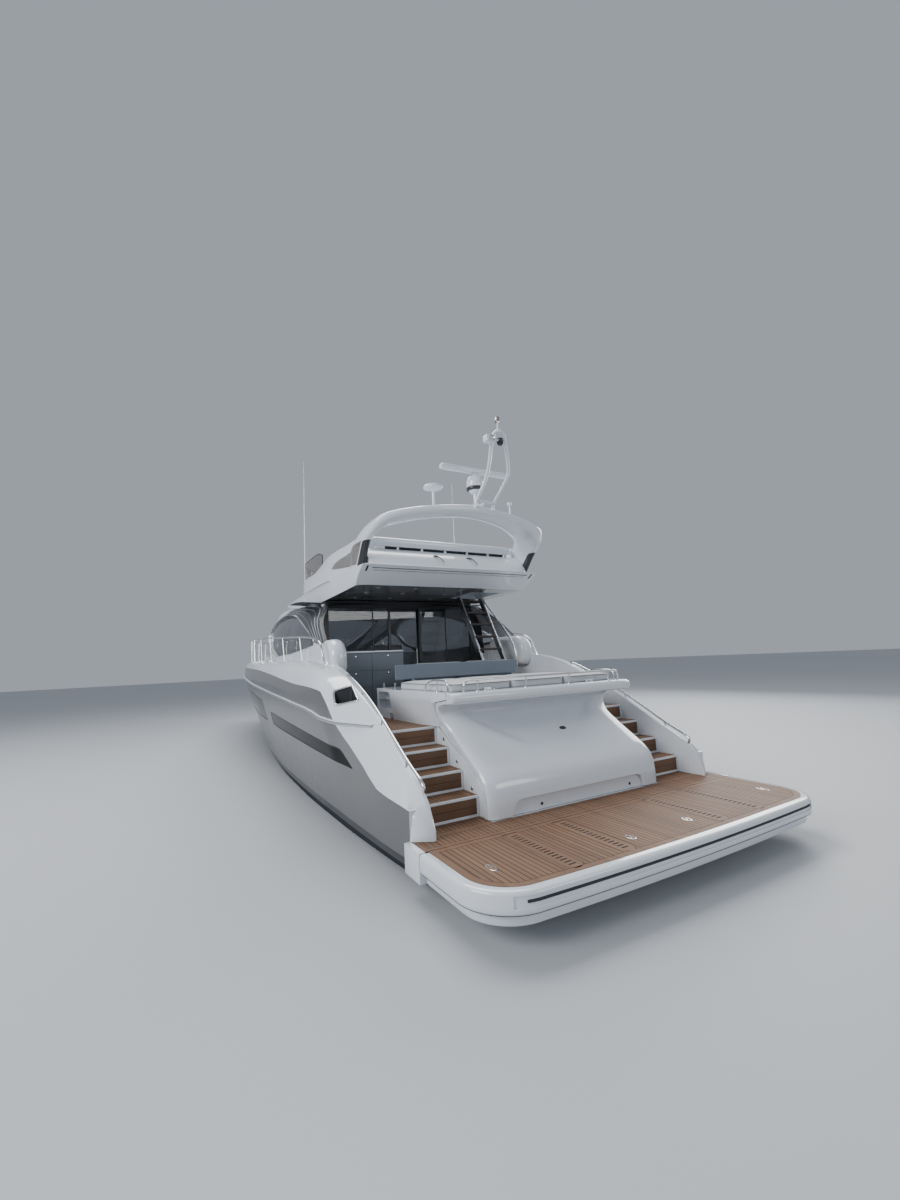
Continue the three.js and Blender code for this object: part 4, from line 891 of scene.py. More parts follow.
# %% Deck stations
# Columns: x, face y, face z, cap y, cap z
DECK = [
    (-0.14, 2.008, 0.5, 1.998, 0.54),
    (-0.03, 2.15, 0.64, 2.005, 0.74),
    (0.09, 2.13, 0.8, 2.005, 0.86),
    (0.44, 2.15, 0.91, 2.005, 1.05),
    (0.92, 2.165, 1.12, 2.005, 1.31),
    (1.47, 2.185, 1.42, 2.01, 1.61),
    (1.95, 2.215, 1.65, 2.02, 1.81),
    (2.35, 2.29, 1.9, 2.05, 1.975),
    (3.0, 2.32, 2.05, 2.09, 2.13),
    (4.0, 2.36, 2.1, 2.15, 2.22),
    (6.0, 2.4, 2.19, 2.25, 2.27),
    (8.0, 2.41, 2.24, 2.27, 2.29),
    (10.0, 2.35, 2.27, 2.24, 2.31),
    (12.0, 2.19, 2.31, 2.09, 2.35),
    (14.0, 1.86, 2.37, 1.77, 2.4),
    (15.5, 1.45, 2.415, 1.38, 2.44),
    (16.6, 1.05, 2.44, 0.98, 2.46),
    (17.4, 0.67, 2.45, 0.6, 2.475),
    (17.9, 0.395, 2.46, 0.33, 2.485),
    (18.15, 0.16, 2.465, 0.12, 2.49),
]
HEEL = [(-0.14, 2.01), (-0.03, 2.18), (-0.001, 2.19)]
CROWN = [(9.0, 0.0), (11.0, 0.055), (18.0, 0.06)]


def deck_foot(x):
    if x < 0:
        return fair(HEEL, 1, x), STEP_TOP + 0.001
    return fair(HULL, 6, x), fair(HULL, 7, x) + 0.001


def deck_section(x, steps=4):
    """The moulding's outer line at a station, from its foot to its cap, as (y, z)."""
    foot = deck_foot(x)
    face_y, face_z, top_y, top_z = row_at(DECK, x)
    shoulder = (top_y * 0.8 + face_y * 0.2, top_z * 0.92 + face_z * 0.08)
    line = curve([foot, (face_y, face_z), shoulder, (top_y, top_z)], steps)
    return [(min(y, max(foot[0], face_y)), z) for y, z in line]


def cap_z(x):
    return fair(DECK, 4, x)


def deck_ring(x):
    foot_y, foot_z = deck_foot(x)
    line = deck_section(x)
    cap = line[-1]
    crown = fair(CROWN, 1, x)
    half = [(x, 0, foot_z)] + [(x, y, z) for y, z in line]
    half += [(x, cap[0] * share, cap[1] + crown * (1 - share * share)) for share in (0.75, 0.5, 0.25, 0)]
    return mirrored(half)


FAIRLEAD = [(2.17, 2.28), (2.05, 2.30), (1.70, 2.09), (2.05, 2.06)]
FAIRLEAD_FLOOR = 1.57
# After edge, fore edge, half-width and floor of each opening
HATCHES = {"anchor_locker_lid": (16.15, 16.75, 0.3, 2.36), "foredeck_hatch": (13.6, 14.2, 0.3, 2.45)}
TRUNK = [(12.2, 1.48, 2.52), (13.0, 1.4, 2.54), (14.5, 1.0, 2.56), (15.9, 0.52, 2.54)]


def trunk_ring(x):
    y, z = fair(TRUNK, 1, x), fair(TRUNK, 2, x)
    foot = fair(HULL, 7, x) + 0.002
    edge = [
        (y, foot), (y - 0.01, z - 0.07), (y - 0.03, z - 0.015), (y - 0.08, z), (y * 0.5, z + 0.035),
        (0, z + 0.05),
    ]
    return mirrored([(x, 0, foot)] + [(x, *p) for p in edge])


deck = skin("deck_skin", [deck_ring(x) for x in between([HEEL, HULL, DECK], 0.25)])
combined(deck, skin("trunk", [trunk_ring(x) for x in between([TRUNK], 0.3)]), "UNION")
cut(deck, *wells())
for side, _ in SIDES:
    plan = [(x, side * y) for x, y in FAIRLEAD]
    cut(deck, prism("fairlead", soft_outline(plan, 0.04), "z", FAIRLEAD_FLOOR, CUT_TOP))
for aft, fore, half, low in HATCHES.values():
    cut(deck, block("hatch", (aft, fore), (-half, half), (low, CUT_TOP)))
rounded(deck, 0.012, 3, 50)
print("deck faces", len(deck.data.polygons))

# %% Non-slip tread on the decks that are walked on
def walked_on(made, aft, edge, tread):
    """Gives the second finish to flat faces forward of a line and inside an edge."""
    made.data.materials.append(tread)
    for face in made.data.polygons:
        x, y, _ = face.center
        if face.normal.z > 0.96 and x > aft and abs(y) < fair(DECK, 3, x) - edge:
            face.material_index = 1


finished(deck, gelcoat, node="deck_moulding")
walked_on(deck, 4.97, 0.0, nonslip)
finished(hull, topsides, node="hull")
hull.data.materials.append(gelcoat)
for face in hull.data.polygons:
    x, y, z = face.center
    inward = face.normal.y * y < 0 or abs(face.normal.y) < 0.1
    if z > WELL_BED - 0.02 and abs(y) < WELL_HALF + 0.01 and 0.01 < x < 12 and inward:
        face.material_index = 1
print("deck and hull finished")

# %% [markdown]
# ## Windows in the topsides and the rubbing strake
# The long hull windows are black glass let into the laminate with a thin gasket. The strake is a
# half-round rubber with a stainless strip on it, which follows the rail and kinks on to the quarter.

# %% Hull windows
def labelled(made, name):
    made.name = name
    return made


for name, light in (("aft_hull_window", AFT_LIGHT), ("fore_hull_window", FORE_LIGHT)):
    inner = soft_outline(grown(light, -0.016), 0.06)
    panes = side_patch("pane", inner, 0.006, -GLASS_SINK + 0.009)
    rims = side_patch("rim", soft_outline(light, 0.07), 0.008, -GLASS_SINK + 0.011)
    holes = side_patch("hole", inner, 0.04, 0.02)
    for (_, word), pane in zip(SIDES, panes):
        finished(labelled(pane, f"{name}_{word}"), black_glass)
    for (_, word), rim, hole in zip(SIDES, rims, holes):
        finished(cut(labelled(rim, f"{name}_gasket_{word}"), hole), rubber)
print("hull windows", 4)

# %% Rubbing strake
STRAKE_END = [(1.2, 2.075, 1.385), (1.47, 2.198, 1.392), (1.95, 2.345, 1.4)]
# The strake's section, as (out from the rail, up from its middle)
STRAKE_RUBBER = [
    (-0.05, -0.028), (0.012, -0.028), (0.026, -0.02), (0.03, 0), (0.026, 0.02), (0.012, 0.028),
    (-0.05, 0.028),
]
STRAKE_STRIP = [
    (0.02, -0.017), (0.036, -0.014), (0.043, -0.006), (0.043, 0.006), (0.036, 0.014), (0.02, 0.017),
]
rail_line = [(x, fair(HULL, 4, x), fair(HULL, 5, x)) for x in between([HULL[5:]], 0.35)]
strake_line = curve(STRAKE_END + rail_line[:1], 6)[:-1] + rail_line
for side, label in SIDES:
    for name, section, finish in (
        ("rubbing_strake", STRAKE_RUBBER, gelcoat), ("strake_strip", STRAKE_STRIP, steel),
    ):
        rings = [
            [(x, side * (y + out_by), z + up_by) for out_by, up_by in section]
            for x, y, z in strake_line
        ]
        node = "rubbing_strake_" + label if finish == gelcoat else None
        finished(skin(f"{name}_{label}", rings), finish, node=node)
print("strake points", len(strake_line))

# %% [markdown]
# ## Superstructure
# The saloon is a shell of moulded laminate with the windows cut through it and dark glass bonded
# behind. The roof edge is a fair curve, and the shell is open aft, where the glass wall stands.

# %% Saloon shell
# Columns: x, base y, shoulder y, shoulder z, crown z
CABIN = [
    (3.7, 1.985, 1.7, 3.18, 3.24),
    (4.94, 1.99, 1.7, 3.29, 3.34),
    (6.5, 2.02, 1.74, 3.4, 3.46),
    (8.2, 2.02, 1.74, 3.52, 3.59),
    (9.3, 1.99, 1.7, 3.53, 3.62),
    (10.0, 1.94, 1.62, 3.37, 3.5),
    (11.0, 1.83, 1.48, 3.04, 3.2),
    (12.0, 1.68, 1.34, 2.74, 2.88),
    (13.0, 1.42, 1.18, 2.5, 2.6),
]
CABIN_FOOT = 2.1
WALL = 0.06


def cabin_line(x, margin):
    base_y, shoulder_y, shoulder_z, crown_z = row_at(CABIN, x)
    upper = [
        (base_y - margin, 2.3),
        (shoulder_y * 0.25 + base_y * 0.75 - margin + 0.015, shoulder_z * 0.6 + 2.3 * 0.4),
        (shoulder_y + 0.02 - margin, shoulder_z - 0.06 - margin / 2),
        (shoulder_y - 0.09 - margin, shoulder_z + 0.025 - margin),
        (shoulder_y * 0.5, shoulder_z * 0.4 + crown_z * 0.6 - margin),
        (0, crown_z - margin),
    ]
    return curve(upper, 4)


def cabin_point(x, z, proud=0.0):
    """A point of the shell's port side at a height."""
    line = cabin_line(x, -proud)
    for a, b in zip(line, line[1:]):
        if a[1] <= z <= b[1]:
            t = (z - a[1]) / (b[1] - a[1])
            return Vector((x, a[0] + (b[0] - a[0]) * t, z))
    return Vector((x, *line[0]))


def cabin_skin(name, margin, ends=0.0, foot=CABIN_FOOT):
    xs = between([CABIN], 0.25)
    xs = [xs[0] - ends, *xs[1:-1], xs[-1]]
    rings = []
    for x in xs:
        line = cabin_line(x, margin)
        rings.append(mirrored([(x, 0, foot), (x, line[0][0], foot)] + [(x, *p) for p in line]))
    return skin(name, rings)


SIDE_WINDOW = [
    (4.43, 2.5), (4.52, 2.61), (5.3, 2.89), (6.3, 3.18), (7.25, 3.34), (8.05, 3.4),
    (9.1, 3.33), (9.8, 3.11), (9.3, 2.72), (8.08, 2.4), (6.2, 2.41),
]
QUARTER_WINDOW = [
    (9.96, 3.08), (10.9, 2.85), (11.9, 2.56), (10.6, 2.48), (9.5, 2.44), (8.5, 2.41), (9.42, 2.67),
]
WINDSCREEN = [(9.85, 0.0), (9.8, 1.25), (10.9, 1.13), (12.05, 0.9), (12.35, 0.0)]
WING = [(3.6, 1.9), (3.6, 2.3), (3.72, 2.48), (4.2, 2.86), (4.94, 3.4), (4.94, 3.7), (3.0, 3.7), (3.0, 1.9)]
BAY_HALF = 1.64


def through_sides(name, outline):
    """Tools that cut an outline of (x, z) through both sides of the shell."""
    return [prism(name, outline, "y", *span(side, 0.9, 2.6)) for side, _ in SIDES]


side_light = soft_outline(SIDE_WINDOW, 0.22, 4)
quarter_light = soft_outline(QUARTER_WINDOW, 0.16, 4)
screen_light = soft_outline([*WINDSCREEN[1:], *[(x, -y) for x, y in WINDSCREEN[-2:0:-1]]], 0.2, 4)
shell = cabin_skin("saloon_shell_skin", 0.0)
cut(
    shell,
    cabin_skin("inside", WALL, 0.3, 1.9),
    prism("wing", WING, "y", -2.6, 2.6),
    block("bay", (3.0, AFT_WALL + 0.06), (-BAY_HALF, BAY_HALF), (1.8, 4.0)),
    *through_sides("window", side_light),
    *through_sides("quarter window", quarter_light),
    prism("windscreen", screen_light, "z", 2.3, 4.0),
)
rounded(shell, 0.01, 2, 40)
finished(shell, gelcoat, node="saloon_shell")
shell.data.materials.append(trim)
for face in shell.data.polygons:
    x, y, z = face.center
    if 2.5 < z < 3.4 and x < 3.8 + (z - 2.48) * 1.3 and abs(face.normal.y) < 0.8:
        face.material_index = 1
print("shell faces", len(shell.data.polygons))

# %% Saloon glass
PANE = 0.02
SIDE_GLASS = [(4.4, 2.44), (5.3, 2.96), (7.25, 3.42), (9.2, 3.42), (12.1, 2.6), (11.0, 2.43), (8.0, 2.37)]


def glazed(name, node, tool):
    """The part of the shell's inner sheet of glass that lies inside a tool."""
    sheet = cut(
        cabin_skin("sheet", WALL + 0.001, 0.3, 1.95), cabin_skin("sheet inside", WALL + PANE, 0.35, 1.9),
    )
    finished(labelled(combined(sheet, tool, "INTERSECT"), name), dark_glass, node=node)


for side, word in SIDES:
    glazed(
        f"side_glass_sheet_{word}", f"side_glass_{word}",
        prism("band", SIDE_GLASS, "y", *span(side, 1.24, 2.6)),
    )
glazed("windscreen_sheet", "windscreen", block("front", (9.7, 12.42), (-1.235, 1.235), (2.4, 4.0)))
print("saloon glass", PANE)

# %% [markdown]
# ## Flybridge
# The flybridge is one deep moulding that hangs out aft over the cockpit, with a coaming on top and an
# arch that carries the aerials. Two grooves run across its aft face, each with a black strip in it that is
# painted shadow. The coaming sweeps up into the arch's feet, and tinted panels fill the gap under the sweep.

# %% Flybridge moulding
# Columns: x, low edge y, low edge z, top edge y, top edge z, underside z
FLY = [
    (2.6, 1.63, 3.385, 1.665, 3.64, 3.39),
    (4.4, 1.655, 3.365, 1.66, 3.715, 3.39),
    (5.75, 1.655, 3.365, 1.64, 3.76, 3.4),
    (7.5, 1.64, 3.52, 1.56, 3.8, 3.5),
    (8.7, 1.6, 3.69, 1.45, 3.85, 3.56),
    (9.3, 1.48, 3.78, 1.3, 3.875, 3.59),
    (9.8, 1.0, 3.79, 0.85, 3.85, 3.65),
]
FLY_FLOOR = 3.64
FASCIA = [(2.5, 3.64), (2.61, 3.64), (3.06, 3.385), (3.06, 3.3), (2.5, 3.3)]
FLY_WELL = [(3.15, 1.48), (5.0, 1.47), (6.7, 1.41), (7.35, 1.29), (7.9, 0.93), (8.2, 0.45), (8.26, 0.0)]
FLY_HATCH = (3.5, 4.4), (-1.44, -0.8)


def fly_edge(x, share, proud=0.0):
    """A point of the brow, from its low edge at 0 to its top edge at 1."""
    low_y, low_z, top_y, top_z, _ = row_at(FLY, x)
    swell = 0.02 * math.sin(math.pi * share)
    return Vector((x, low_y + (top_y - low_y) * share + swell + proud, low_z + (top_z - low_z) * share))


def fly_ring(x):
    low_y, low_z, top_y, top_z, under = row_at(FLY, x)
    half = [(x, 0, under), (x, low_y - 0.18, under), (x, low_y - 0.05, (under + low_z) / 2)]
    half += [tuple(fly_edge(x, i / 5)) for i in range(6)]
    return mirrored(half + [(x, top_y - 0.05, top_z + 0.008), (x, 0, top_z + 0.01)])


fly = skin("flybridge_skin", [fly_ring(x) for x in between([FLY], 0.2)])
well_line = [tuple(p) for p in curve(FLY_WELL, 4)]
cut(
    fly,
    prism("fascia", FASCIA, "y", -2.0, 2.0),
    prism("well", both_sides(well_line), "z", FLY_FLOOR, 4.2),
    block("hatch", *FLY_HATCH, (3.3, 4.0)),
    cut(cabin_skin("roof", 0.0, foot=2.2), block("bay", (3.0, AFT_WALL), (-BAY_HALF, BAY_HALF), (1.8, 4.0))),
)
# Grooves across the aft face: place down the slope, width, half-length
GROOVES = [(0.07, 0.026, 1.50), (0.13, 0.016, 1.46)]
slope = Vector((FASCIA[2][0] - FASCIA[1][0], 0, FASCIA[2][1] - FASCIA[1][1])).normalized()
outward = Vector((slope.z, 0, -slope.x))
fascia_top = Vector((FASCIA[1][0], 0, FASCIA[1][1]))
for down, width, half in GROOVES:
    a, b = fascia_top + slope * down, fascia_top + slope * (down + width)
    ring = [a + outward * 0.02, b + outward * 0.02, b - outward * 0.014, a - outward * 0.014]
    cut(fly, prism("groove", [(p.x, p.z) for p in ring], "y", -half, half))
    # A black strip set into the groove's floor paints the shadow in the groove.
    black = [a - outward * 0.009, b - outward * 0.009, b - outward * 0.02, a - outward * 0.02]
    strip = prism(f"fascia_groove_shadow_{int(down * 100)}", [(p.x, p.z) for p in black], "y", -half, half)
    finished(strip, rubber)
rounded(fly, 0.014, 3, 38)
finished(fly, gelcoat, node="flybridge_moulding")
# The underside over the cockpit gets the dark headliner, which paints the shade under the overhang.
fly.data.materials.append(shade_liner)
for face in fly.data.polygons:
    if face.normal.z < -0.95 and face.center.x < AFT_WALL:
        face.material_index = 1
print("flybridge faces", len(fly.data.polygons))

# %% Coaming
COAMING = [(3.12, 1.55), (5.0, 1.545), (6.7, 1.525), (7.6, 1.45), (8.14, 1.12), (8.36, 0.56), (8.4, 0.0)]
COAMING_TOP = [
    (3.0, 4.21), (3.8, 4.22), (4.6, 4.265), (5.1, 4.27), (5.7, 4.19), (6.3, 4.135), (6.9, 4.16), (8.5, 4.2),
]
coaming_line = [tuple(p) for p in curve(COAMING, 6)]


def coaming_ring(x, y, along):
    """A section of the coaming: leaning sides and a rounded top."""
    foot, top = fair(FLY, 4, x) - 0.03, fair(COAMING_TOP, 1, x)
    inward = Vector((along.y, -along.x, 0)).normalized()
    section = [(0.0, foot), (0.004, (foot + top) / 2), (0.012, top - 0.03), (0.028, top - 0.005)]
    section += [(0.045, top), (0.066, top - 0.012), (0.074, top - 0.05), (0.078, foot)]
    return [tuple(Vector((x, y, 0)) + inward * reach + Vector((0, 0, z))) for reach, z in section]


half_rings = []
for i, (x, y) in enumerate(coaming_line):
    before = Vector((*coaming_line[max(i - 1, 0)], 0))
    after = Vector((*coaming_line[min(i + 1, len(coaming_line) - 1)], 0))
    along = Vector((0, -1, 0)) if i == len(coaming_line) - 1 else after - before
    half_rings.append(coaming_ring(x, y, along))
coaming = skin("coaming_skin", half_rings + [flipped(ring) for ring in reversed(half_rings[:-1])])
finished(coaming, gelcoat, node="flybridge_coaming")
print("coaming faces", len(coaming.data.polygons))

# %% Arch
# Columns: outer y, outer z, inner y, inner z, aft x, fore x
ARCH = [
    (1.63, 3.66, 1.52, 3.66, 2.84, 3.56),
    (1.65, 3.95, 1.53, 3.96, 2.6, 3.44),
    (1.65, 4.1, 1.51, 4.05, 2.41, 3.26),
    (1.575, 4.25, 1.42, 4.16, 2.24, 3.06),
    (1.43, 4.35, 1.29, 4.23, 2.1, 2.86),
    (1.0, 4.45, 0.95, 4.31, 2.0, 2.64),
    (0.5, 4.51, 0.48, 4.37, 1.93, 2.46),
    (0.0, 4.54, 0.0, 4.395, 1.89, 2.4),
]


def arch_ring(row):
    out_y, out_z, in_y, in_z, aft, fore = row
    mid_y, mid_z, chord = (out_y + in_y) / 2, (out_z + in_z) / 2, fore - aft
    corners = [
        (aft, mid_y, mid_z),
        (aft + chord * 0.06, out_y * 0.8 + mid_y * 0.2, out_z * 0.8 + mid_z * 0.2),
        (aft + chord * 0.25, out_y, out_z),
        (fore - chord * 0.35, out_y, out_z),
        (fore, mid_y, mid_z),
        (fore - chord * 0.35, in_y, in_z),
        (aft + chord * 0.25, in_y, in_z),
        (aft + chord * 0.06, in_y * 0.8 + mid_y * 0.2, in_z * 0.8 + mid_z * 0.2),
    ]
    return curve(corners, 4, closed=True)


whole_arch = ARCH + [(-r[0], r[1], -r[2], r[3], r[4], r[5]) for r in reversed(ARCH[:-1])]
arch = skin("arch_skin", [arch_ring(row) for row in curve(whole_arch, 5)])
finished(arch, gelcoat, node="radar_arch")
print("arch faces", len(arch.data.polygons))

# %% [markdown]
# ## Mast and aerials
# A bent tube rises off the arch with the horn and the masthead light. The open-array radar turns on
# its own motor housing, a flat satellite dome stands to port, and a whip aerial leans on the coaming.

# %% Mast
MAST = [
    (1.9, 0.04, 4.47), (1.88, 0.02, 4.6), (1.76, -0.06, 4.86), (1.64, -0.075, 5.08), (1.45, -0.04, 5.44),
    (1.4, -0.09, 5.54), (1.4, -0.2, 5.54), (1.45, -0.265, 5.44), (1.62, -0.43, 5.13), (1.71, -0.45, 4.95),
    (1.9, -0.32, 4.6), (1.92, -0.3, 4.47),
]
RADAR_AT, MASTHEAD = Vector((2.33, -0.245, 0)), (1.4, -0.12, 0)
RADAR_TOP = 5.19
LIGHT_STEM = [(0, 5.53), (0.02, 5.53), (0.016, 5.69), (0, 5.69)]
RADAR_STEM = [(0, 4.475), (0.055, 4.475), (0.04, 4.53), (0.036, 4.94), (0, 4.94)]
RADAR_MOTOR = [
    (0, 4.885), (0.07, 4.89), (0.115, 4.93), (0.14, 4.99), (0.145, 5.06), (0.135, 5.13), (0.10, 5.175),
    (0.05, RADAR_TOP), (0, RADAR_TOP),
]
LENS = [(0, 5.69), (0.034, 5.69), (0.038, 5.70), (0.038, 5.765), (0.026, 5.785), (0, 5.79)]
BELL = [
    (0, 1.47), (0.018, 1.47), (0.02, 1.4), (0.034, 1.36), (0.05, 1.34), (0.046, 1.34), (0.03, 1.365),
    (0, 1.37),
]
CAMERA_BALL = [
    (0, 5.345), (0.03, 5.35), (0.05, 5.375), (0.055, 5.405), (0.04, 5.44), (0.045, 5.455), (0, 5.46),
]
mast_parts = [
    pipe("tube", MAST, 0.028, 6),
    pipe("rung", [(1.885, 0.02, 4.59), (1.895, -0.325, 4.59)], 0.022, 1),
    pipe("stay", [(1.89, -0.15, 4.59), (*RADAR_AT[:2], 4.62)], 0.026, 1),
    rounded(block("horn box", (1.365, 1.485), (-0.05, 0.115), (5.355, 5.455)), 0.015),
    turned("light stem", LIGHT_STEM, MASTHEAD, sides=16),
    turned("radar stem", RADAR_STEM, RADAR_AT),
    turned("radar motor", RADAR_MOTOR, RADAR_AT),
]
lens = painted(turned("masthead lens", LENS, MASTHEAD, sides=20), smoked)
mast = joined("mast_tube", [*[painted(part, gelcoat) for part in mast_parts], lens])
finished(mast, None, node="mast")
finished(turned("horn_bell", BELL, (0, 0.03, 5.405), "x", 20), steel)
finished(turned("mast_camera", CAMERA_BALL, (1.43, -0.17, 0), sides=24), trim)
print("mast", len(mast.data.polygons))

# %% Radar, dome and whip
SCANNER = [
    (-0.06, 0.035), (-0.038, 0.0), (0.038, 0.0), (0.062, 0.035), (0.048, 0.085), (0.0, 0.095),
    (-0.048, 0.085),
]
SCANNER_ENDS = [
    (-0.65, 0.55), (-0.645, 0.82), (-0.62, 0.97), (-0.58, 1.0), (0.58, 1.0), (0.62, 0.97), (0.645, 0.82),
    (0.65, 0.55),
]
SCANNER_HUB = [(0, 0.001), (0.045, 0.001), (0.038, 0.05), (0, 0.05)]
DOME = [
    (0, 4.42), (0.05, 4.42), (0.03, 4.47), (0.02, 4.5), (0.02, 4.79), (0.05, 4.806), (0.12, 4.818),
    (0.15, 4.835), (0.156, 4.855), (0.146, 4.876), (0.10, 4.897), (0.04, 4.908), (0, 4.91),
]
MUSHROOM = [
    (0, 4.44), (0.03, 4.44), (0.014, 4.5), (0.012, 4.70), (0.042, 4.72), (0.045, 4.735), (0.03, 4.755),
    (0, 4.76),
]
MOTOR_RING = [(0, 4.927), (0.118, 4.927), (0.143, 4.945), (0.147, 4.965), (0.143, 4.982), (0, 4.982)]


def scanner_ring(y, size):
    section = curve(SCANNER, 3, closed=True)
    return [
        (RADAR_AT[0] + a * size, RADAR_AT[1] + y, RADAR_TOP + 0.04 + 0.035 + (b - 0.035) * size)
        for a, b in section
    ]


def whip(name, x, y, heights, radii, sides):
    return pipe(name, [(x, y, z) for z in heights], radii, 4, sides)


bar = skin("scanner bar", [scanner_ring(*row) for row in SCANNER_ENDS])
hub = turned("scanner hub", raised_by(SCANNER_HUB, RADAR_TOP), RADAR_AT)
scanner = joined("radar_bar", [painted(part, gelcoat) for part in (bar, hub)])
finished(scanner, None, "radar_scanner", node="radar_scanner")
finished(turned("dome_shell", DOME, (2.25, 0.6, 0)), gelcoat, node="satellite_dome")
finished(
    whip("whip_rod", 7.28, 1.48, (3.745, 3.9, 5.2, 7.098), [0.02, 0.014, 0.01, 0.004], 10), gelcoat,
    node="whip_aerial",
)
finished(turned("radar_motor_ring", MOTOR_RING, RADAR_AT, sides=40), trim)
finished(turned("gps_mushroom", MUSHROOM, (2.2, -0.84, 0)), gelcoat)
finished(whip("short_whip", 5.29, -1.495, (4.18, 4.4, 6.25), [0.014, 0.009, 0.003], 8), gelcoat)
print("scanner faces", len(scanner.data.polygons))

# %% [markdown]
# ## Laid teak by Geometry Nodes
# A teak deck follows one rule: strips of one width, side by side, with a caulked gap between. So the
# tree lays a line of long boxes across the panel that it is given and keeps what lies inside the
# panel. The same tree lays the platform, the step, the treads and the cockpit. A Python loop with a
# cut for each strip would do the same work more slowly and would hide the rule.

# %% A small kit for geometry trees
def geometry_tree(name, inputs):
    mesh = [("Geometry", "Geometry")]
    return group(name, "Geometry", mesh + inputs, mesh)


def dressed(tree, mesh, finish, out):
    """Ends a tree: real geometry in its material."""
    real = put(tree, "RealizeInstances", {0: mesh})
    fill(tree, out, {0: put(tree, "SetMaterial", {"Geometry": real, "Material": finish})})


def box_middle(tree, mesh):
    """The size and the middle of the geometry's bounding box."""
    box = put(tree, "BoundBox", {0: mesh}).node.outputs
    size = shifts(tree, "SUBTRACT", box["Max"], box["Min"])
    return size, scaled(tree, shifts(tree, "ADD", box["Max"], box["Min"]), 0.5)


def grown_by(made, tree, sharp=32, **values):
    """The object with a geometry tree worked into its mesh."""
    step = made.modifiers.new(tree.name, "NODES")
    step.node_group = tree
    for socket in tree.interface.items_tree:
        if socket.in_out == "INPUT" and socket.name in values:
            step[socket.identifier] = values[socket.name]
    return baked(made, sharp)


PLANKING_INPUTS = [
    ("Plank Width", "Float", PLANK), ("Caulk Gap", "Float", 0.0085), ("Across", "Vector", (0, 1, 0)),
    ("Wood", "Material"),
]
planking, given, out = geometry_tree("planking", PLANKING_INPUTS)
panel, across, pitch = (given[label] for label in ("Geometry", "Across", "Plank Width"))
size, middle = box_middle(planking, panel)
reach = put(planking, "VectorMath", {0: size, 1: across}, operation="DOT_PRODUCT").node.outputs["Value"]
count = sums(planking, "ADD", sums(planking, "CEIL", sums(planking, "DIVIDE", reach, pitch)), 1.0)
half_row = sums(
    planking, "MULTIPLY", sums(planking, "SUBTRACT", count, 1.0), sums(planking, "MULTIPLY", pitch, -0.5),
)
start = shifts(planking, "ADD", middle, scaled(planking, across, half_row))
one_on = scaled(planking, across, pitch)
line = put(planking, "MeshLine", {"Count": count, "Start Location": start, "Offset": one_on}, mode="OFFSET")
lengthwise = shifts(planking, "SUBTRACT", (1.0, 1.0, 1.0), across)
long_part = shifts(planking, "MULTIPLY", shifts(planking, "ADD", size, (0.1, 0.1, 0.1)), lengthwise)
wide_part = scaled(planking, across, sums(planking, "SUBTRACT", pitch, given["Caulk Gap"]))
plank = put(planking, "MeshCube", {"Size": shifts(planking, "ADD", long_part, wide_part)})
laid = put(planking, "InstanceOnPoints", {"Points": line, "Instance": plank})
kept = put(planking, "MeshBoolean", {"Mesh 2": panel}, operation="INTERSECT")
fill(planking, kept.node, {"Mesh 2": put(planking, "RealizeInstances", {0: laid})})
dressed(planking, kept, given["Wood"], out)
print("tree", planking.name)


# %% Teak panels
TEAK_THICK = 0.012
CAULK_SUNK = 0.0025


def room(outline, top, reach=0.1):
    """A tool that clears an outline above and below a level."""
    return prism("room", outline, "z", top - reach, top + reach)


def laid_teak(name, outline, top, holes=(), body="yacht", node=None, margin=0.06):
    """A teak panel: a margin board all round, planks inside it, and caulking just below their tops."""
    bed = prism(name + "_caulking", outline, "z", top - TEAK_THICK, top - CAULK_SUNK)
    board = prism("board", outline, "z", top - TEAK_THICK + 0.002, top)
    inner = grown(outline, -margin)
    cut(board, room(inner, top))
    field = prism("field", grown(inner, -0.005), "z", top - TEAK_THICK + 0.002, top)
    cut(field, *[room(hole, top) for hole in holes])
    field = grown_by(field, planking, Wood=teak_long)
    finished(joined(name, [field, painted(board, teak_long)]), None, body, node)
    finished(bed, caulk, body)


print("teak", TEAK_THICK)

# %% [markdown]
# ## Bathing platform
# The platform is a deep white moulding with a rounded rim. Its aft face has a shallow sunk band with
# a black rubber in it, and a thin black band paints the shadow where the lower tier tucks under. The
# teak lies in a tray inside the rim, with slotted grilles that let the sea through when the platform sinks.

# %% Platform moulding
PLATFORM = {"fore": -0.33, "aft": -1.488, "half": 2.25, "corner": 0.48, "bow": 0.045}


def platform_plan(margin, fore_margin=None):
    """The platform's outline, drawn in by a margin."""
    p = PLATFORM
    radius = max(p["corner"] - margin, 0.02)
    fore = p["fore"] - (margin if fore_margin is None else fore_margin)
    half = [(fore, p["half"] - margin)]
    for i in range(17):
        turn = i * math.pi / 32
        half.append(
            (
                p["aft"] + p["bow"] + p["corner"] - radius * math.sin(turn),
                p["half"] - p["corner"] + radius * math.cos(turn),
            ),
        )
    for i in range(1, 8):
        y = (p["half"] - p["corner"]) * (1 - i / 8)
        bow = p["bow"] * (1 - (y / (p["half"] - p["corner"])) ** 2)
        half.append((p["aft"] + p["bow"] - bow + margin, y))
    half.append((p["aft"] + margin, 0.0))
    return both_sides(half)


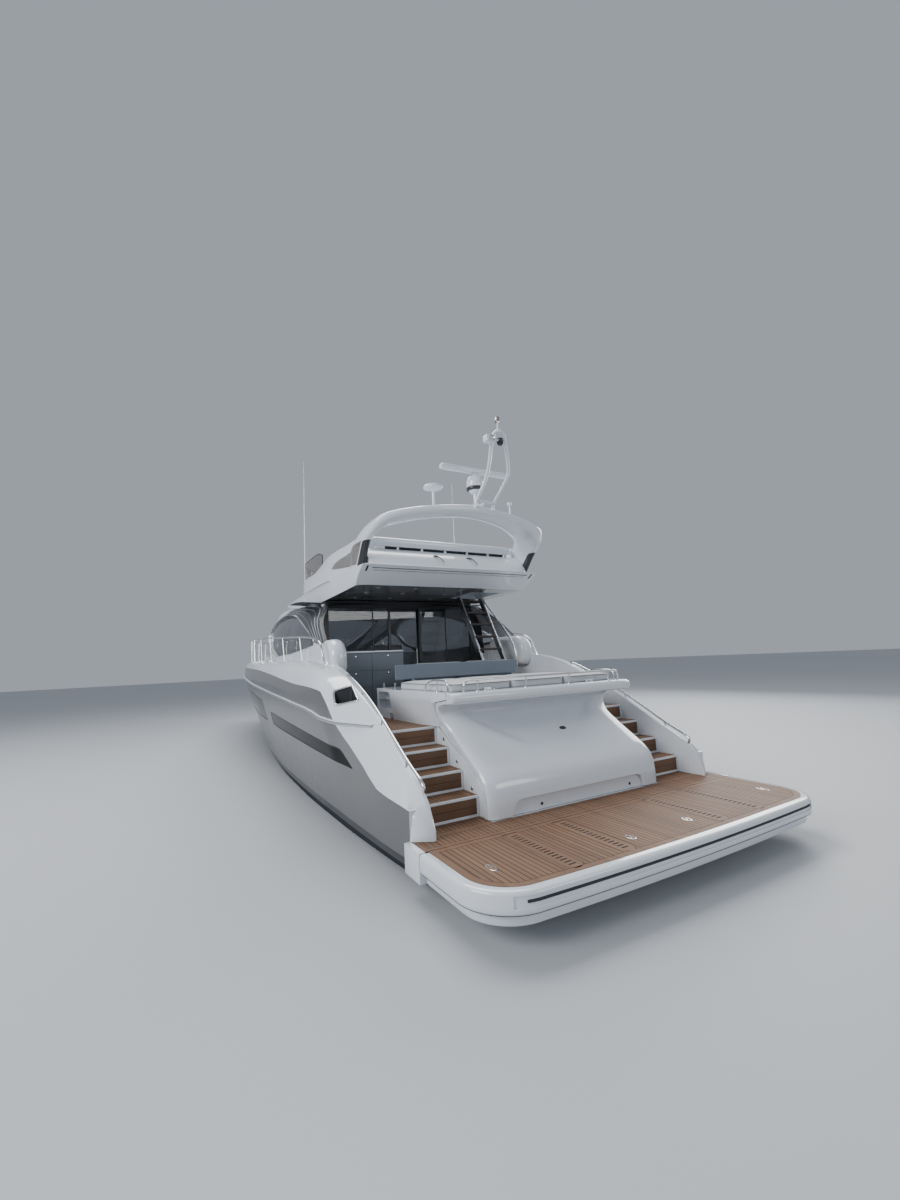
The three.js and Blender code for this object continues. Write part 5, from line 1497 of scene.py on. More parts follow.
# Rows: height, how far the edge is drawn in
PLATFORM_EDGE = [
    (0.190, 0.075), (0.194, 0.062), (0.205, 0.055), (0.278, 0.055), (0.280, 0.022), (0.286, 0.010),
    (0.300, 0.002), (0.330, 0.0), (0.400, 0.0), (0.422, 0.003), (0.436, 0.010), (0.446, 0.024),
    (0.449, 0.045),
]
TRAY_EDGE = 0.085
rings = [[(x, y, z) for x, y in platform_plan(m, max(m * 0.4, 0.004))] for z, m in PLATFORM_EDGE]
platform = skin("platform_moulding", rings, sharp=40)
cut(platform, prism("tray", platform_plan(TRAY_EDGE, -0.1), "z", STEP_TOP - TEAK_THICK - 0.001, 0.6))
band_outer = prism("band", platform_plan(-0.05, -0.05), "z", 0.335, 0.418)
band_inner = prism("band", platform_plan(0.012, 0.012), "z", 0.3, 0.45)
cut(band_outer, band_inner)
combined(
    band_outer, prism("aft part", [(-1.7, -2.06), (-1.2, -1.98), (-1.2, 1.98), (-1.7, 2.06)], "z", 0.2, 0.5),
    "INTERSECT",
)
cut(platform, band_outer, sharp=40)
ARM_X, ARM_Y, ARM_Z = -0.773, 0.5, 0.02
for side, _ in SIDES:
    y = side * ARM_Y
    combined(
        platform, block("ear", (-0.86, -0.70), (y - 0.035, y + 0.035), (ARM_Z - 0.05, 0.195)), "UNION", 40,
    )
    cut(platform, rod("hole", 0.0206, (-0.1, 0.1), (ARM_X, y, ARM_Z), "y"), sharp=40)
finished(platform, gelcoat, body="swim_platform", node="swim_platform")

band_half = [p for p in platform_plan(0.0) if p[0] < -1.30 and abs(p[1]) < 1.93]
RUBBER = [(-0.004, -0.011), (0.004, -0.009), (0.008, 0.0), (0.004, 0.009), (-0.004, 0.011)]
rings = [
    [(x - reach + 0.008, y, 0.376 + up_by) for reach, up_by in RUBBER]
    for x, y in sorted(band_half, key=lambda p: p[1])
]
finished(skin("platform_rubber", rings), rubber, body="swim_platform")
# A thin black band in the crease under the upper slab paints the shadow where the lower tier tucks under.
lines = [
    [(x, y, z) for x, y in platform_plan(m, 0.02)]
    for z, m in ((0.279, 0.03), (0.279, 0.016), (0.286, 0.0065), (0.286, 0.03))
]
tuck_shadow = skin("platform_tuck_shadow", lines + [lines[0]], caps=False)
finished(tuck_shadow, rubber, body="swim_platform")
print("platform faces", len(platform.data.polygons))

# %% [markdown]
# ## Grilles
# Each grille is a plank-thick stadium with a row of short slots cut across it. A tree of its own
# repeats the slot, because every grille has the same pitch: it lays a line of small boxes down the
# middle of the stadium and cuts them away.

# %% Slotted grilles
SLOTTING_INPUTS = [
    ("Slots", "Int", 16), ("Slot Pitch", "Float", 0.052), ("Slot Size", "Vector", (0.022, 0.075, 0.1)),
    ("Wood", "Material"),
]
slotting, given, out = geometry_tree("slotting", SLOTTING_INPUTS)
strip, count, pitch = (given[label] for label in ("Geometry", "Slots", "Slot Pitch"))
length = sums(slotting, "MULTIPLY", sums(slotting, "SUBTRACT", count, 1.0), pitch)
back = put(slotting, "CombineXYZ", {"X": sums(slotting, "MULTIPLY", length, -0.5)})
start = shifts(slotting, "ADD", box_middle(slotting, strip)[1], back)
row = put(
    slotting, "MeshLine",
    {"Count": count, "Start Location": start, "Offset": put(slotting, "CombineXYZ", {"X": pitch})},
    mode="OFFSET",
)
cuts = put(
    slotting, "InstanceOnPoints",
    {"Points": row, "Instance": put(slotting, "MeshCube", {"Size": given["Slot Size"]})},
)
tools = put(slotting, "RealizeInstances", {0: cuts})
open_work = put(slotting, "MeshBoolean", {"Mesh 1": strip, "Mesh 2": tools}, operation="DIFFERENCE")
dressed(slotting, open_work, given["Wood"], out)


def stadium(aft, fore, y, half, steps=10):
    """A strip with a round aft end and rounded fore corners, seen from above."""
    round_end = [
        (aft + half - half * math.cos(t), y + half * math.sin(t))
        for t in np.linspace(-math.pi / 2, math.pi / 2, steps)
    ]
    return round_end + [(fore, y + half), (fore, y - half)]


GRILLE_ROWS = [1.33, 0.73, -0.58, -1.18]
GRILLE_GAP = 0.006
holes = [stadium(-1.335, -0.375, y, 0.095) for y in GRILLE_ROWS]
laid_teak(
    "platform_teak", platform_plan(TRAY_EDGE + 0.004, 0.0), STEP_TOP, holes, "swim_platform", margin=0.065,
)
for i, hole in enumerate(holes):
    insert = prism(
        f"platform_grille_{i + 1}", grown(hole, -GRILLE_GAP), "z", STEP_TOP - TEAK_THICK + 0.002, STEP_TOP,
    )
    finished(grown_by(insert, slotting, Wood=teak_long), None, "swim_platform")
print("grilles", len(GRILLE_ROWS))

# %% Flush fittings in the platform
# Rows: share of the radius, height
FLUSH_ROWS = [
    (1.0, -0.006), (1.0, 0.0012), (0.96, 0.0022), (0.80, 0.0022), (0.76, -0.003), (0.25, -0.004), (0.22, 0.0),
    (0.05, 0.001),
]


def flush_plate(name, x, y, long, wide, body="swim_platform", top=STEP_TOP):
    """An oval steel plate let into the teak, with a sunk middle."""
    rings = [[(x + c * long * r, y + s * wide * r, top + up) for c, s in circle(28)] for r, up in FLUSH_ROWS]
    finished(skin(name, rings), steel, body)


flush_plate("platform_socket_1", -1.11, 0.51, 0.06, 0.036)
flush_plate("platform_socket_2", -1.09, -0.30, 0.06, 0.036)
for i, y in enumerate((1.9, -1.9)):
    flush_plate(f"platform_cleat_plate_{i + 1}", -0.93, y, 0.075, 0.032)
print("flush fittings", 4)

# %% [markdown]
# ## Stern step
# The fixed step is a white shelf with the same teak, and the well floor lies behind it. It is a plain
# moulding, so a bevelled block does it.

# %% Stern step
STEP = (-0.32, -0.0005)
step = block("stern_step_moulding", STEP, (-2.25, 2.25), (0.19, STEP_TOP))
for side, _ in SIDES:
    cut(step, block("notch", (-0.4, 0.02), span(side, 1.9, 2.3), (STEP_TOP - 0.0005, 0.6)))
rounded(step, 0.008)
cut(step, block("tray", (-0.5, 0.2), (-2.19, 2.19), (STEP_TOP - TEAK_THICK - 0.001, 0.6)))
finished(step, gelcoat, node="stern_step")
laid_teak("stern_step_teak", oblong(STEP, (2.186, -2.186)), STEP_TOP, margin=0.05)
print("step faces", len(step.data.polygons))

# %% [markdown]
# ## Garage door
# The door is one big moulding: a flat foot with a kick recess, a bulge that sweeps forward, a scoop
# and an overhanging lip that carries on the sunpad's surround. It is lofted across its width from one
# fair line, drawn in and rounded towards the sides, which is how the plug for such a door is shaped.

# %% Garage door
# Columns: x, z, how much of the side's rounding the point takes
DOOR_LINE = [
    (0, 0.455, 1), (0, 0.6, 1), (0.02, 0.74, 1), (0.06, 0.84, 1), (0.14, 0.93, 1), (0.26, 1.015, 1),
    (0.5, 1.165, 1),
    (0.74, 1.33, 1), (0.85, 1.43, 0.8), (0.88, 1.5, 0.5), (0.84, 1.56, 0.3), (0.7, 1.59, 0.3),
    (0.48, 1.61, 0.3),
    (0.435, 1.64, 0.5), (0.43, 1.69, 0.5), (0.45, 1.725, 0.5), (0.49, 1.74, 0.3), (0.59, 1.74, 0),
]
DOOR_BACK = [
    (0.055, 0.455, 1), (0.055, 0.6, 1), (0.078, 0.725, 1), (0.12, 0.815, 1), (0.195, 0.895, 1),
    (0.3, 0.97, 1),
    (0.535, 1.115, 1), (0.785, 1.285, 1), (0.905, 1.395, 0.8), (0.94, 1.49, 0.5), (0.93, 1.55, 0.3),
    (0.88, 1.605, 0.2),
    (0.72, 1.64, 0), (0.59, 1.66, 0),
]
# Rows: distance from the side, how far the surface falls back there
DOOR_SIDES = [(0, 0.062), (0.015, 0.04), (0.05, 0.022), (0.11, 0.008), (0.2, 0)]
DOOR_MARGIN = 0.006
HOUSE_HALF, HOUSE_FORE = 1.29, 2.35
FLARE = [(1.33, 1.29), (1.64, 1.43)]


def straight(table, x):
    """A table's straight-line value, held level past its ends."""
    return float(np.interp(x, [row[0] for row in table], [row[1] for row in table]))


def shifted(line, distance):
    """An open line of (x, z, ...) moved to its right by each point's own distance."""
    moved = []
    for i, point in enumerate(line):
        back, on = line[max(i - 1, 0)], line[min(i + 1, len(line) - 1)]
        ahead = Vector((on[0] - back[0], on[1] - back[1])).normalized()
        moved.append((point[0] + ahead.y * distance(i), point[1] - ahead.x * distance(i)))
    return moved


def eased(value, low, high):
    """0 below a span, 1 above it, and an easy slope between."""
    t = min(max((value - low) / (high - low), 0), 1)
    return t * t * (3 - 2 * t)


# Rows: height, half-width of the scoop's floor there
SCOOP_EDGE = [(1.06, 0.45), (1.2, 0.68), (1.38, 0.98), (1.5, 1.12), (1.6, 1.15)]


def scoop(y, z):
    """How far the scoop's floor is pushed in at a place."""
    half = straight(SCOOP_EDGE, z)
    return 0.034 * eased(half - abs(y), 0, 0.13) * eased(z, 1.05, 1.2) * eased(1.585 - z, 0, 0.06)


def door_ring(side, from_side, drop):
    ring = []
    for line, order in ((curve(DOOR_LINE, 4), 1), (curve(DOOR_BACK, 4), -1)):
        ys = [straight(FLARE, p[1]) - DOOR_MARGIN - from_side for p in line]
        depth = scoop if order == 1 else (lambda y, z: 0)
        moved = shifted(line, lambda i: drop * max(line[i][2], 0) + depth(ys[i], line[i][1]))
        ring += [(x, side * y, z) for (x, z), y in zip(moved, ys)][::order]
    return ring


side_rows = [
    (d, fair(DOOR_SIDES, 1, d))
    for d in (0, 0.004, 0.009, 0.015, 0.025, 0.037, 0.05, 0.068, 0.09, 0.11, 0.14, 0.17, 0.2)
]
side_rows += [(d, 0) for d in np.linspace(0.25, 1.22, 20)]
rings = [door_ring(-1, *row) for row in side_rows] + [door_ring(1, *row) for row in reversed(side_rows)]
door = skin("garage_door_moulding", rings, sharp=40)
KICK_DEPTH = 0.035
KICK = [
    (-1.01, 0.40), (-1.01, 0.45), (-0.96, 0.58), (-0.9, 0.612), (0.9, 0.612), (0.96, 0.58), (1.01, 0.45),
    (1.01, 0.40),
]
cut(door, prism("kick", soft_outline(KICK, 0.03), "x", -0.05, KICK_DEPTH), sharp=40)
HINGE_AT, HINGE_Y = (0.604, 0, 1.753), 0.8
for side, _ in SIDES:
    y = side * (HINGE_Y + 0.03)
    cut(door, block("hinge room", (0.565, 0.7), (y - 0.045, y + 0.045), (1.7, 1.8)), sharp=40)
finished(rounded(door, 0.005, 3, 55), gelcoat, "garage_door", node="garage_door")

EAR = [
    (0.56, 1.73), (0.575, 1.76), (0.592, 1.771), (0.612, 1.771), (0.623, 1.755), (0.616, 1.741),
    (0.585, 1.736),
]
parts = []
for side, _ in SIDES:
    y = side * (HINGE_Y - 0.05)
    parts.append(rounded(prism("ear", EAR, "y", y - 0.03, y + 0.03), 0.002, 2))
    parts.append(rod("pin", 0.01, span(side, HINGE_Y - 0.06, HINGE_Y + 0.055), HINGE_AT, "y"))
finished(joined("garage_hinges", parts), steel, "garage_door")


# A push latch in the middle of the bulge, and two drains in the kick recess
def at_door(z):
    """The x of the door's outer line below the scoop."""
    return straight([(p[1], p[0]) for p in curve(DOOR_LINE[:8], 6)], z)


LATCH = [
    (0, -0.004), (0.03, -0.004), (0.03, 0.004), (0.026, 0.008), (0.017, 0.008), (0.014, 0.003), (0, 0.003),
]
latch = turned("garage_latch", LATCH, sides=28)
latch.data.transform(Matrix.Diagonal((1, 1.7, 1, 1)))
lean = Vector((at_door(1.26) - at_door(1.16), 0, 0.1)).normalized()
facing = Vector((-lean.z, 0, lean.x))
place = Matrix((lean, Vector((0, 1, 0)), facing)).transposed().to_4x4()
spot = Vector((at_door(1.21), -0.26, 1.21)) - facing * (scoop(-0.26, 1.21) - 0.001)
latch.data.transform(Matrix.Translation(spot) @ place)
finished(clean(latch), trim, "garage_door")
DRAIN = [(0, 0), (0.017, 0), (0.017, -0.003), (0.013, -0.005), (0.009, -0.002), (0, -0.002)]
drains = [turned("drain", DRAIN, (KICK_DEPTH, y, 0.51), "x", 24) for y in (0.59, -0.78)]
finished(joined("garage_drains", drains), trim, "garage_door")
print("door faces", len(door.data.polygons))

# %% [markdown]
# ## Garage house
# The house carries the moulding on forward round the door. Its solid already has the true edges and
# openings, so a copy with small radii on every edge is the right start. The raised line along its
# side, the courtesy lights and the locker's shelf are worked on afterwards.

# %% Garage house
house = copied("garage_house", "garage_house_moulding", 0.007, 3)
finished(house, gelcoat, node="garage_house")
# Rows: x, foot of the cheek, how far out its foot stands
CHEEK = [(0.99, 1.315, 1.29), (1.19, 1.316, 1.318), (1.5, 1.3115, 1.345), (2.3, 1.3115, 1.372)]
SIDE_LINE = [
    (1.88, 1.4), (1.22, 1.345), (0.84, 1.165), (0.4, 0.945), (0.14, 0.76), (0.075, 0.6), (0.07, 0.47),
]
STAIR_LIGHTS = [(0.99, 1.17), (0.69, 0.95), (0.38, 0.71)]


def cheek_ring(x, foot, out):
    ring = [
        (1.26, foot), (out, foot), (out + 0.006, foot + 0.03), (1.428, 1.62), (1.433, 1.66), (1.433, 1.7392),
        (1.26, 1.7392),
    ]
    return [(x, *p) for p in ring]


lines, lamps = [], []
for side, word in SIDES:
    rings = [on_side(cheek_ring(*row), side) for row in CHEEK]
    finished(skin(f"garage_house_cheek_{word}", rings, sharp=40), gelcoat)
    lines.append(pipe("line", [(x, side * (HOUSE_HALF + 0.0015), z) for x, z in SIDE_LINE], 0.006, 6, 8))
    for x, z in STAIR_LIGHTS:
        lamps.append(rounded(rod("light", 0.022, span(side, 1.262, 1.272), (x, 0, z), "y", 24), 0.003, 2, 50))
finished(joined("garage_house_lines", lines), gelcoat)
finished(joined("stair_lights", lamps), steel)
print("house faces", len(house.data.polygons))

# %% [markdown]
# ## Stairs
# Each flight is a white moulding with a teak board let into every tread and riser. The risers show
# two boards with a dark seam between, and a white strip is left at the foot of each and at the nosing.

# %% Stairs
RISERS, STAIR_FOOT, TREAD = 4, 0.25, 0.31
RISE = (SOLE - STEP_TOP) / RISERS
STAIR_IN, STAIR_OUT = 1.2635, 1.984
NOSING = 0.022
RISER_SUNK = 0.006
STAIR_END = STAIR_HEAD - 0.0005


def riser_x(i):
    return STAIR_FOOT + TREAD * i


def tread_top(i):
    return STEP_TOP + RISE * (i + 1)


stair_line = [(0.0, WELL_BED + 0.001), (0.0, STEP_TOP - TEAK_THICK), (STAIR_FOOT, STEP_TOP - TEAK_THICK)]
for i in range(RISERS - 1):
    x, top = riser_x(i), tread_top(i)
    end = min(x + TREAD, STAIR_END)
    stair_line += [
        (x, STEP_TOP - TEAK_THICK + RISE * i), (x, top), (x + NOSING, top), (x + NOSING, top - TEAK_THICK),
        (end, top - TEAK_THICK),
    ]
stair_line.append((STAIR_END, WELL_BED + 0.001))
for side, word in SIDES:
    band = span(side, STAIR_IN, STAIR_OUT)
    flight = prism(f"stairs_{word}_moulding", stair_line, "y", *band)
    inner = inset(band, 0.03)
    boards = []
    for i in range(RISERS):
        x = riser_x(i) if i < RISERS - 1 else STAIR_HEAD
        foot, head = STEP_TOP + RISE * i, STEP_TOP + RISE * (i + 1)
        if i < RISERS - 1:
            cut(flight, block("bed", (x - 0.1, x + RISER_SUNK), inner, (foot + 0.026, head - 0.026)))
        low, high = foot + 0.028, head - 0.028
        half = (low + high) / 2
        for ends in ((low, half - 0.002), (half + 0.002, high)):
            board = block("board", (x - 0.0015, x + RISER_SUNK - 0.0005), inset(inner, 0.002), ends)
            boards.append(rounded(board, 0.001, 2))
        seam = (x + 0.001, x + RISER_SUNK - 0.0002), inset(inner, 0.003), (half - 0.004, half + 0.004)
        finished(block(f"riser_seam_{word}_{i + 1}", *seam), caulk)
    finished(rounded(flight, 0.004, 2), gelcoat, node=f"stairs_{word}")
    finished(joined(f"riser_boards_{word}", boards), teak_riser)
    for i in range(-1, RISERS - 1):
        ends = (0.0, STAIR_FOOT) if i < 0 else (riser_x(i) + NOSING, min(riser_x(i + 1), STAIR_HEAD))
        laid_teak(
            f"tread_{word}_{i + 2}", oblong(inset(ends, 0.001), inset(band, 0.002)), tread_top(i),
            margin=0.035,
        )
print("flights", len(SIDES))

# %% [markdown]
# ## Cockpit floor
# The cockpit is laid with the same planks between the stairs and the saloon's door. The hatch over
# the engines is a panel of its own, planked in line with its surroundings, with a flush lifting ring.

# %% Cockpit floor
SOLE_GAP = 0.01
BORDER = 0.06
ENGINE_HATCH = (3.05, 3.8), (0.4, 1.3)
sole_aft = STAIR_HEAD + 0.001 + NOSING
sole_plan = both_sides([(min(max(x, sole_aft), AFT_WALL - 0.001), y - SOLE_GAP) for x, y in COCKPIT_PLAN])
sole_field = grown(sole_plan, -0.065)
for side, word in SIDES:
    nosing = block(
        f"stair_head_nosing_{word}", (STAIR_HEAD + 0.0005, sole_aft - 0.001), span(side, STAIR_IN, STAIR_OUT),
        (SOLE - 0.022, SOLE),
    )
    finished(rounded(nosing, 0.003, 2), gelcoat)
bed = prism("cockpit_caulking", sole_plan, "z", SOLE_BED + 0.0008, SOLE - CAULK_SUNK)
board = prism("board", sole_plan, "z", SOLE - 0.008, SOLE)
field = prism("field", sole_field, "z", SOLE - 0.008, SOLE)
cut(board, room(grown(sole_plan, -BORDER), SOLE))
# The house, the block under the settee and the engine hatch stand in the floor
HOUSE_HOLE = oblong((0.5, HOUSE_FORE + 0.002), (-1.264, 1.264))
BLOCK_HOLE = oblong((2.3, 3.022), (1.0, 1.352))
holes = [HOUSE_HOLE, BLOCK_HOLE, oblong(*ENGINE_HATCH)]
rims = []
for hole in holes:
    cut(bed, room(hole, SOLE))
    cut(board, room(hole, SOLE))
    cut(field, room(grown(hole, BORDER + 0.005), SOLE))
    rim = prism("rim", grown(hole, BORDER), "z", SOLE - 0.008, SOLE)
    combined(rim, room(sole_field, SOLE), "INTERSECT")
    rims.append(cut(rim, *[room(other, SOLE) for other in holes]))
cut(rims[0], room(grown(BLOCK_HOLE, BORDER + 0.002), SOLE))
planks = [grown_by(field, planking, Wood=teak_long)] + [painted(piece, teak_long) for piece in (board, *rims)]
finished(joined("cockpit_teak", planks), None, node="cockpit_sole")
finished(bed, caulk)
lid_plan = oblong(inset(ENGINE_HATCH[0], 0.006, 0.001), inset(ENGINE_HATCH[1], 0.006))
laid_teak("engine_hatch_teak", lid_plan, SOLE, body="engine_hatch", node="engine_hatch", margin=0.055)
finished(
    prism("engine_hatch_frame", lid_plan, "z", SOLE - 0.022, SOLE - TEAK_THICK - 0.0005), lacquer,
    "engine_hatch",
)
flush_plate("engine_hatch_ring", 3.12, 0.85, 0.045, 0.045, "engine_hatch", SOLE)
print("cockpit floor laid round", len(holes), "openings")

# %% [markdown]
# ## Upholstery
# Every pad on board is foam in a sewn cover: a flat-bottomed block with round corners, pulled in along
# its piping and crowned by the foam. The cover is made by the cloth solver, which blows a slightly
# smaller block up from inside, and the piping is a thin cord laid round it afterwards. The look has
# to come from the cover's own tension, which hand-moved points don't give.

# %% Pads
CELL = 0.03
PRESSURE = 3.5
FRAMES = 18


def in_corner(spot, half, corner):
    """A spot drawn in to the round corners of an oblong of that half-size."""
    inner = [max(abs(spot[a]) - (half[a] - corner), 0) for a in (0, 1)]
    reach = math.hypot(*inner)
    if reach > corner:
        for a in (0, 1):
            spot[a] -= math.copysign(inner[a] * (1 - corner / reach), spot[a])
    return spot


def pad_block(name, size, corner):
    """A block of square cells with round corners in plan, about the origin, its foot at z 0."""
    counts = [max(low, round(s / CELL)) for low, s in zip((2, 2, 3), size)]
    points, index, faces = [], {}, []

    def point(key):
        if key not in index:
            u = [2 * a / n - 1 for a, n in zip(key, counts)]
            spot = [u[0] * size[0] / 2, u[1] * size[1] / 2, (u[2] + 1) * size[2] / 2]
            index[key] = len(points)
            points.append(in_corner(spot, (size[0] / 2, size[1] / 2), corner))
        return index[key]

    for axis in range(3):
        a, b = [n for n in range(3) if n != axis]
        for end in (0, counts[axis]):
            for i in range(counts[a]):
                for j in range(counts[b]):
                    loop = []
                    for di, dj in ((0, 0), (1, 0), (1, 1), (0, 1)):
                        key = [0, 0, 0]
                        key[axis], key[a], key[b] = end, i + di, j + dj
                        loop.append(point(tuple(key)))
                    faces.append(loop)
    return clean(new_object(name, points, faces), 80)


def blown(made, size, swell):
    """The cover as the cloth solver leaves it, with each point's way capped."""
    rest = [v.co.copy() for v in made.data.vertices]
    held = made.vertex_groups.new(name="held")
    for v in made.data.vertices:
        at_foot = v.co.z < size[2] * 0.02
        at_seam = v.co.z > size[2] * 0.98 and min(abs(abs(v.co[a]) - size[a] / 2) for a in (0, 1)) < 0.002
        held.add([v.index], 1.0 if at_foot else (0.96 if at_seam else 0.0), "REPLACE")
    step = made.modifiers.new("cover", "CLOTH")
    settings = step.settings
    settings.use_pressure, settings.uniform_pressure_force = True, PRESSURE
    settings.vertex_group_mass = "held"
    settings.tension_stiffness = settings.compression_stiffness = 30
    settings.shear_stiffness, settings.bending_stiffness = 15, 2.0
    settings.mass, settings.effector_weights.gravity = 0.4, 0.0
    step.point_cache.frame_start, step.point_cache.frame_end = 1, FRAMES
    scene = bpy.context.scene
    for moment in range(1, FRAMES + 1):
        scene.frame_set(moment)
    mesh = bpy.data.meshes.new_from_object(made.evaluated_get(bpy.context.evaluated_depsgraph_get()))
    made.modifiers.clear()
    made.vertex_groups.clear()
    for v, home in zip(mesh.vertices, rest):
        way = v.co - home
        if way.length > swell:
            v.co = home + way.normalized() * swell
    made.data = mesh
    scene.frame_set(1)
    return made


def channelled(made, size, step, depth):
    """Presses sewn channels into the top, across the yacht."""
    for v in made.data.vertices:
        if v.co.z > size[2] * 0.6:
            t = abs((v.co.x / step + 0.5) % 1 - 0.5) * 2
            v.co.z -= depth * max(0.0, 1 - t / 0.16) ** 2


def pad(
    name, centre, size, finish, swell=0.02, corner=0.05, tilt=None, body="yacht", node=None, channels=None,
):
    """A cushion whose foot is centred on a place. The tilt is an axis and its degrees."""
    made = pad_block(name, size, corner)
    made = blown(made, size, swell)
    smooth = made.modifiers.new("smooth", "SUBSURF")
    smooth.levels = smooth.render_levels = 1
    baked(made, 80)
    if channels:
        channelled(made, size, *channels)
    turn = Matrix.Rotation(math.radians(tilt[1]), 3, tilt[0]) if tilt else Matrix.Identity(3)
    place = Matrix.Translation(centre) @ turn.to_4x4()
    loop = []
    half = [size[0] / 2 + 0.001, size[1] / 2 + 0.001]
    for c, s in circle(48):
        edge = min(half[0] / abs(c) if abs(c) > 1e-6 else 1e9, half[1] / abs(s) if abs(s) > 1e-6 else 1e9)
        loop.append((*in_corner([c * edge, s * edge], half, corner), size[2] - 0.004))
    cord = [tuple(place @ Vector(p)) for p in curve(loop, 2, closed=True)]
    made.data.transform(place)
    clean(made, 80)
    finished(made, finish, body, node=node)
    finished(ring_bar(name + "_piping", cord, 0.0045), piping_grey, body)


print("pad cells", CELL)

# %% [markdown]
# ## Sunpad
# The sunpad over the garage is three long pads on a low moulded base, with a steel grab rail round
# its after edge. The pads meet at two seams that run fore and aft.

# %% Sunpad
SUNPAD = (0.664, 2.25)
SUNPAD_FOOT = 1.7405
long = SUNPAD[1] - SUNPAD[0]
width = (2 * 1.3 - 0.02) / 3
for i, word in enumerate(("starboard", "middle", "port")):
    centre = (sum(SUNPAD) / 2, (i - 1) * (width + 0.006), SUNPAD_FOOT + 0.001)
    node = "sunpad" if word == "middle" else None
    pad(
        f"sunpad_{word}", centre, (long - 0.02, width - 0.006, 0.085), cream, 0.022, 0.07, node=node,
        channels=(0.52, 0.006),
    )

RAIL_FOOT = [(0, 1.7402), (0.024, 1.7402), (0.022, 1.746), (0.012, 1.75), (0, 1.75)]


def grab_rail(name, line, posts, body="yacht"):
    """A rail on short posts, with a round foot under each."""
    parts = [pipe("rail", line, 0.0125, 6)]
    for x, y in posts:
        parts.append(pipe("post", [(x + 0.012, y, 1.742), (x, y, 1.875)], 0.010, 1))
        parts.append(turned("foot", RAIL_FOOT, (x + 0.012, y, 0), sides=20))
    finished(joined(name, parts), steel, body)


AFTER_RAIL = [
    (0.51, 1.24, 1.742), (0.497, 1.235, 1.82), (0.493, 1.19, 1.868), (0.49, 1.05, 1.875), (0.488, 0.5, 1.875),
]
SIDE_RAIL = [
    (1.28, 1.355, 1.742), (1.2, 1.355, 1.83), (1.05, 1.355, 1.873), (0.8, 1.35, 1.875), (0.69, 1.35, 1.85),
    (0.672, 1.35, 1.742),
]
after = AFTER_RAIL + flipped(AFTER_RAIL[::-1])
grab_rail("sunpad_rail_after", after, [(0.49, y) for y in (1.05, 0.35, -0.35, -1.05)], "garage_door")
for side, word in SIDES:
    grab_rail(f"sunpad_rail_{word}", on_side(SIDE_RAIL, side), [(0.93, side * 1.353)])
print("sunpad laid", round(long, 3))

# %% [markdown]
# ## Cockpit seating, table and bar
# The settee backs on to the sunpad and faces the table. The bar to port is a grey lacquered cabinet
# with a pale top, two drawers and two doors, each with a shadow gap and a small round pull.

# %% Cockpit settee
SOFA, SOFA_SIDES = (2.352, 2.95), (-0.8, 1.0)
sofa_wide = SOFA_SIDES[1] - SOFA_SIDES[0]
finished(rounded(block("cockpit_sofa_shell", (2.287, 2.322), (-0.84, 1.33), (1.868, 2.085)), 0.014), lacquer)
base = block(
    "cockpit_sofa_base", inset(SOFA, 0.01, 0.06), inset(SOFA_SIDES, 0.02), (SOLE + 0.0005, SOLE + 0.30),
)
finished(rounded(base, 0.012), gelcoat, node="cockpit_sofa")
# The cockpit seats take the blue-grey cloth that paints the shade under the flybridge.
for i in range(2):
    y = SOFA_SIDES[0] + sofa_wide * (i + 0.5) / 2
    seat = (SOFA[1] - SOFA[0] - 0.04, sofa_wide / 2 - 0.012, 0.11)
    pad(f"cockpit_seat_{i + 1}", (sum(SOFA) / 2 + 0.01, y, SOLE + 0.305), seat, shaded_slate, 0.02, 0.06)
    back = (0.37, sofa_wide / 2 - 0.012, 0.085)
    pad(f"cockpit_back_{i + 1}", (SOFA[0] + 0.02, y, SOLE + 0.59), back, shaded_slate, 0.018, 0.06, tilt=("Y", 84))
print("settee width", sofa_wide)

# %% Cockpit table
TABLE_AT, TABLE_TOP = (3.5, -0.2, 0), 2.04
TABLE_LEG = [(0.2, 0.0005), (0.195, 0.012), (0.08, 0.022), (0.055, 0.05), (0.048, 0.3)]  # up from the floor
TABLE_NECK = [(0.055, -0.07), (0.1, -0.045), (0, -0.042)]  # down from the top
plan = soft_outline(
    oblong((TABLE_AT[0] - 0.35, TABLE_AT[0] + 0.35), (TABLE_AT[1] - 0.5, TABLE_AT[1] + 0.5)), 0.06,
)
under = prism("cockpit_table_frame", plan, "z", TABLE_TOP - 0.04, TABLE_TOP - TEAK_THICK - 0.0005)
finished(rounded(under, 0.006), lacquer, node="cockpit_table")
laid_teak("cockpit_table_top", plan, TABLE_TOP, margin=0.05)
leg = [(0, SOLE + 0.0005)] + raised_by(TABLE_LEG, SOLE) + raised_by(TABLE_NECK, TABLE_TOP)
finished(turned("cockpit_table_leg", leg, TABLE_AT, sides=36), steel)
print("table top", TABLE_TOP)

# %% Wet bar
BAR, BAR_SIDES, BAR_TOP = (4.2, AFT_WALL - 0.001), (0.35, 1.63), 2.36
carcass = block(
    "wet_bar_cabinet", inset(BAR, 0.018, 0), inset(BAR_SIDES, 0.01), (SOLE + 0.0005, BAR_TOP - 0.03),
)
finished(rounded(carcass, 0.006), lacquer, node="wet_bar")
top = rounded(
    prism("wet_bar_top", soft_outline(oblong(BAR, BAR_SIDES), 0.03), "z", BAR_TOP - 0.03, BAR_TOP), 0.006,
)
cut(top, rounded(block("sink", (4.42, 4.78), (1.0, 1.45), (BAR_TOP - 0.02, BAR_TOP + 0.1)), 0.04))
finished(top, gelcoat)
PULL = [(0, -0.012), (0.014, -0.01), (0.014, -0.006), (0.006, -0.003), (0.006, 0.0035), (0, 0.0035)]
fronts, pulls = [], []
middle = sum(BAR_SIDES) / 2
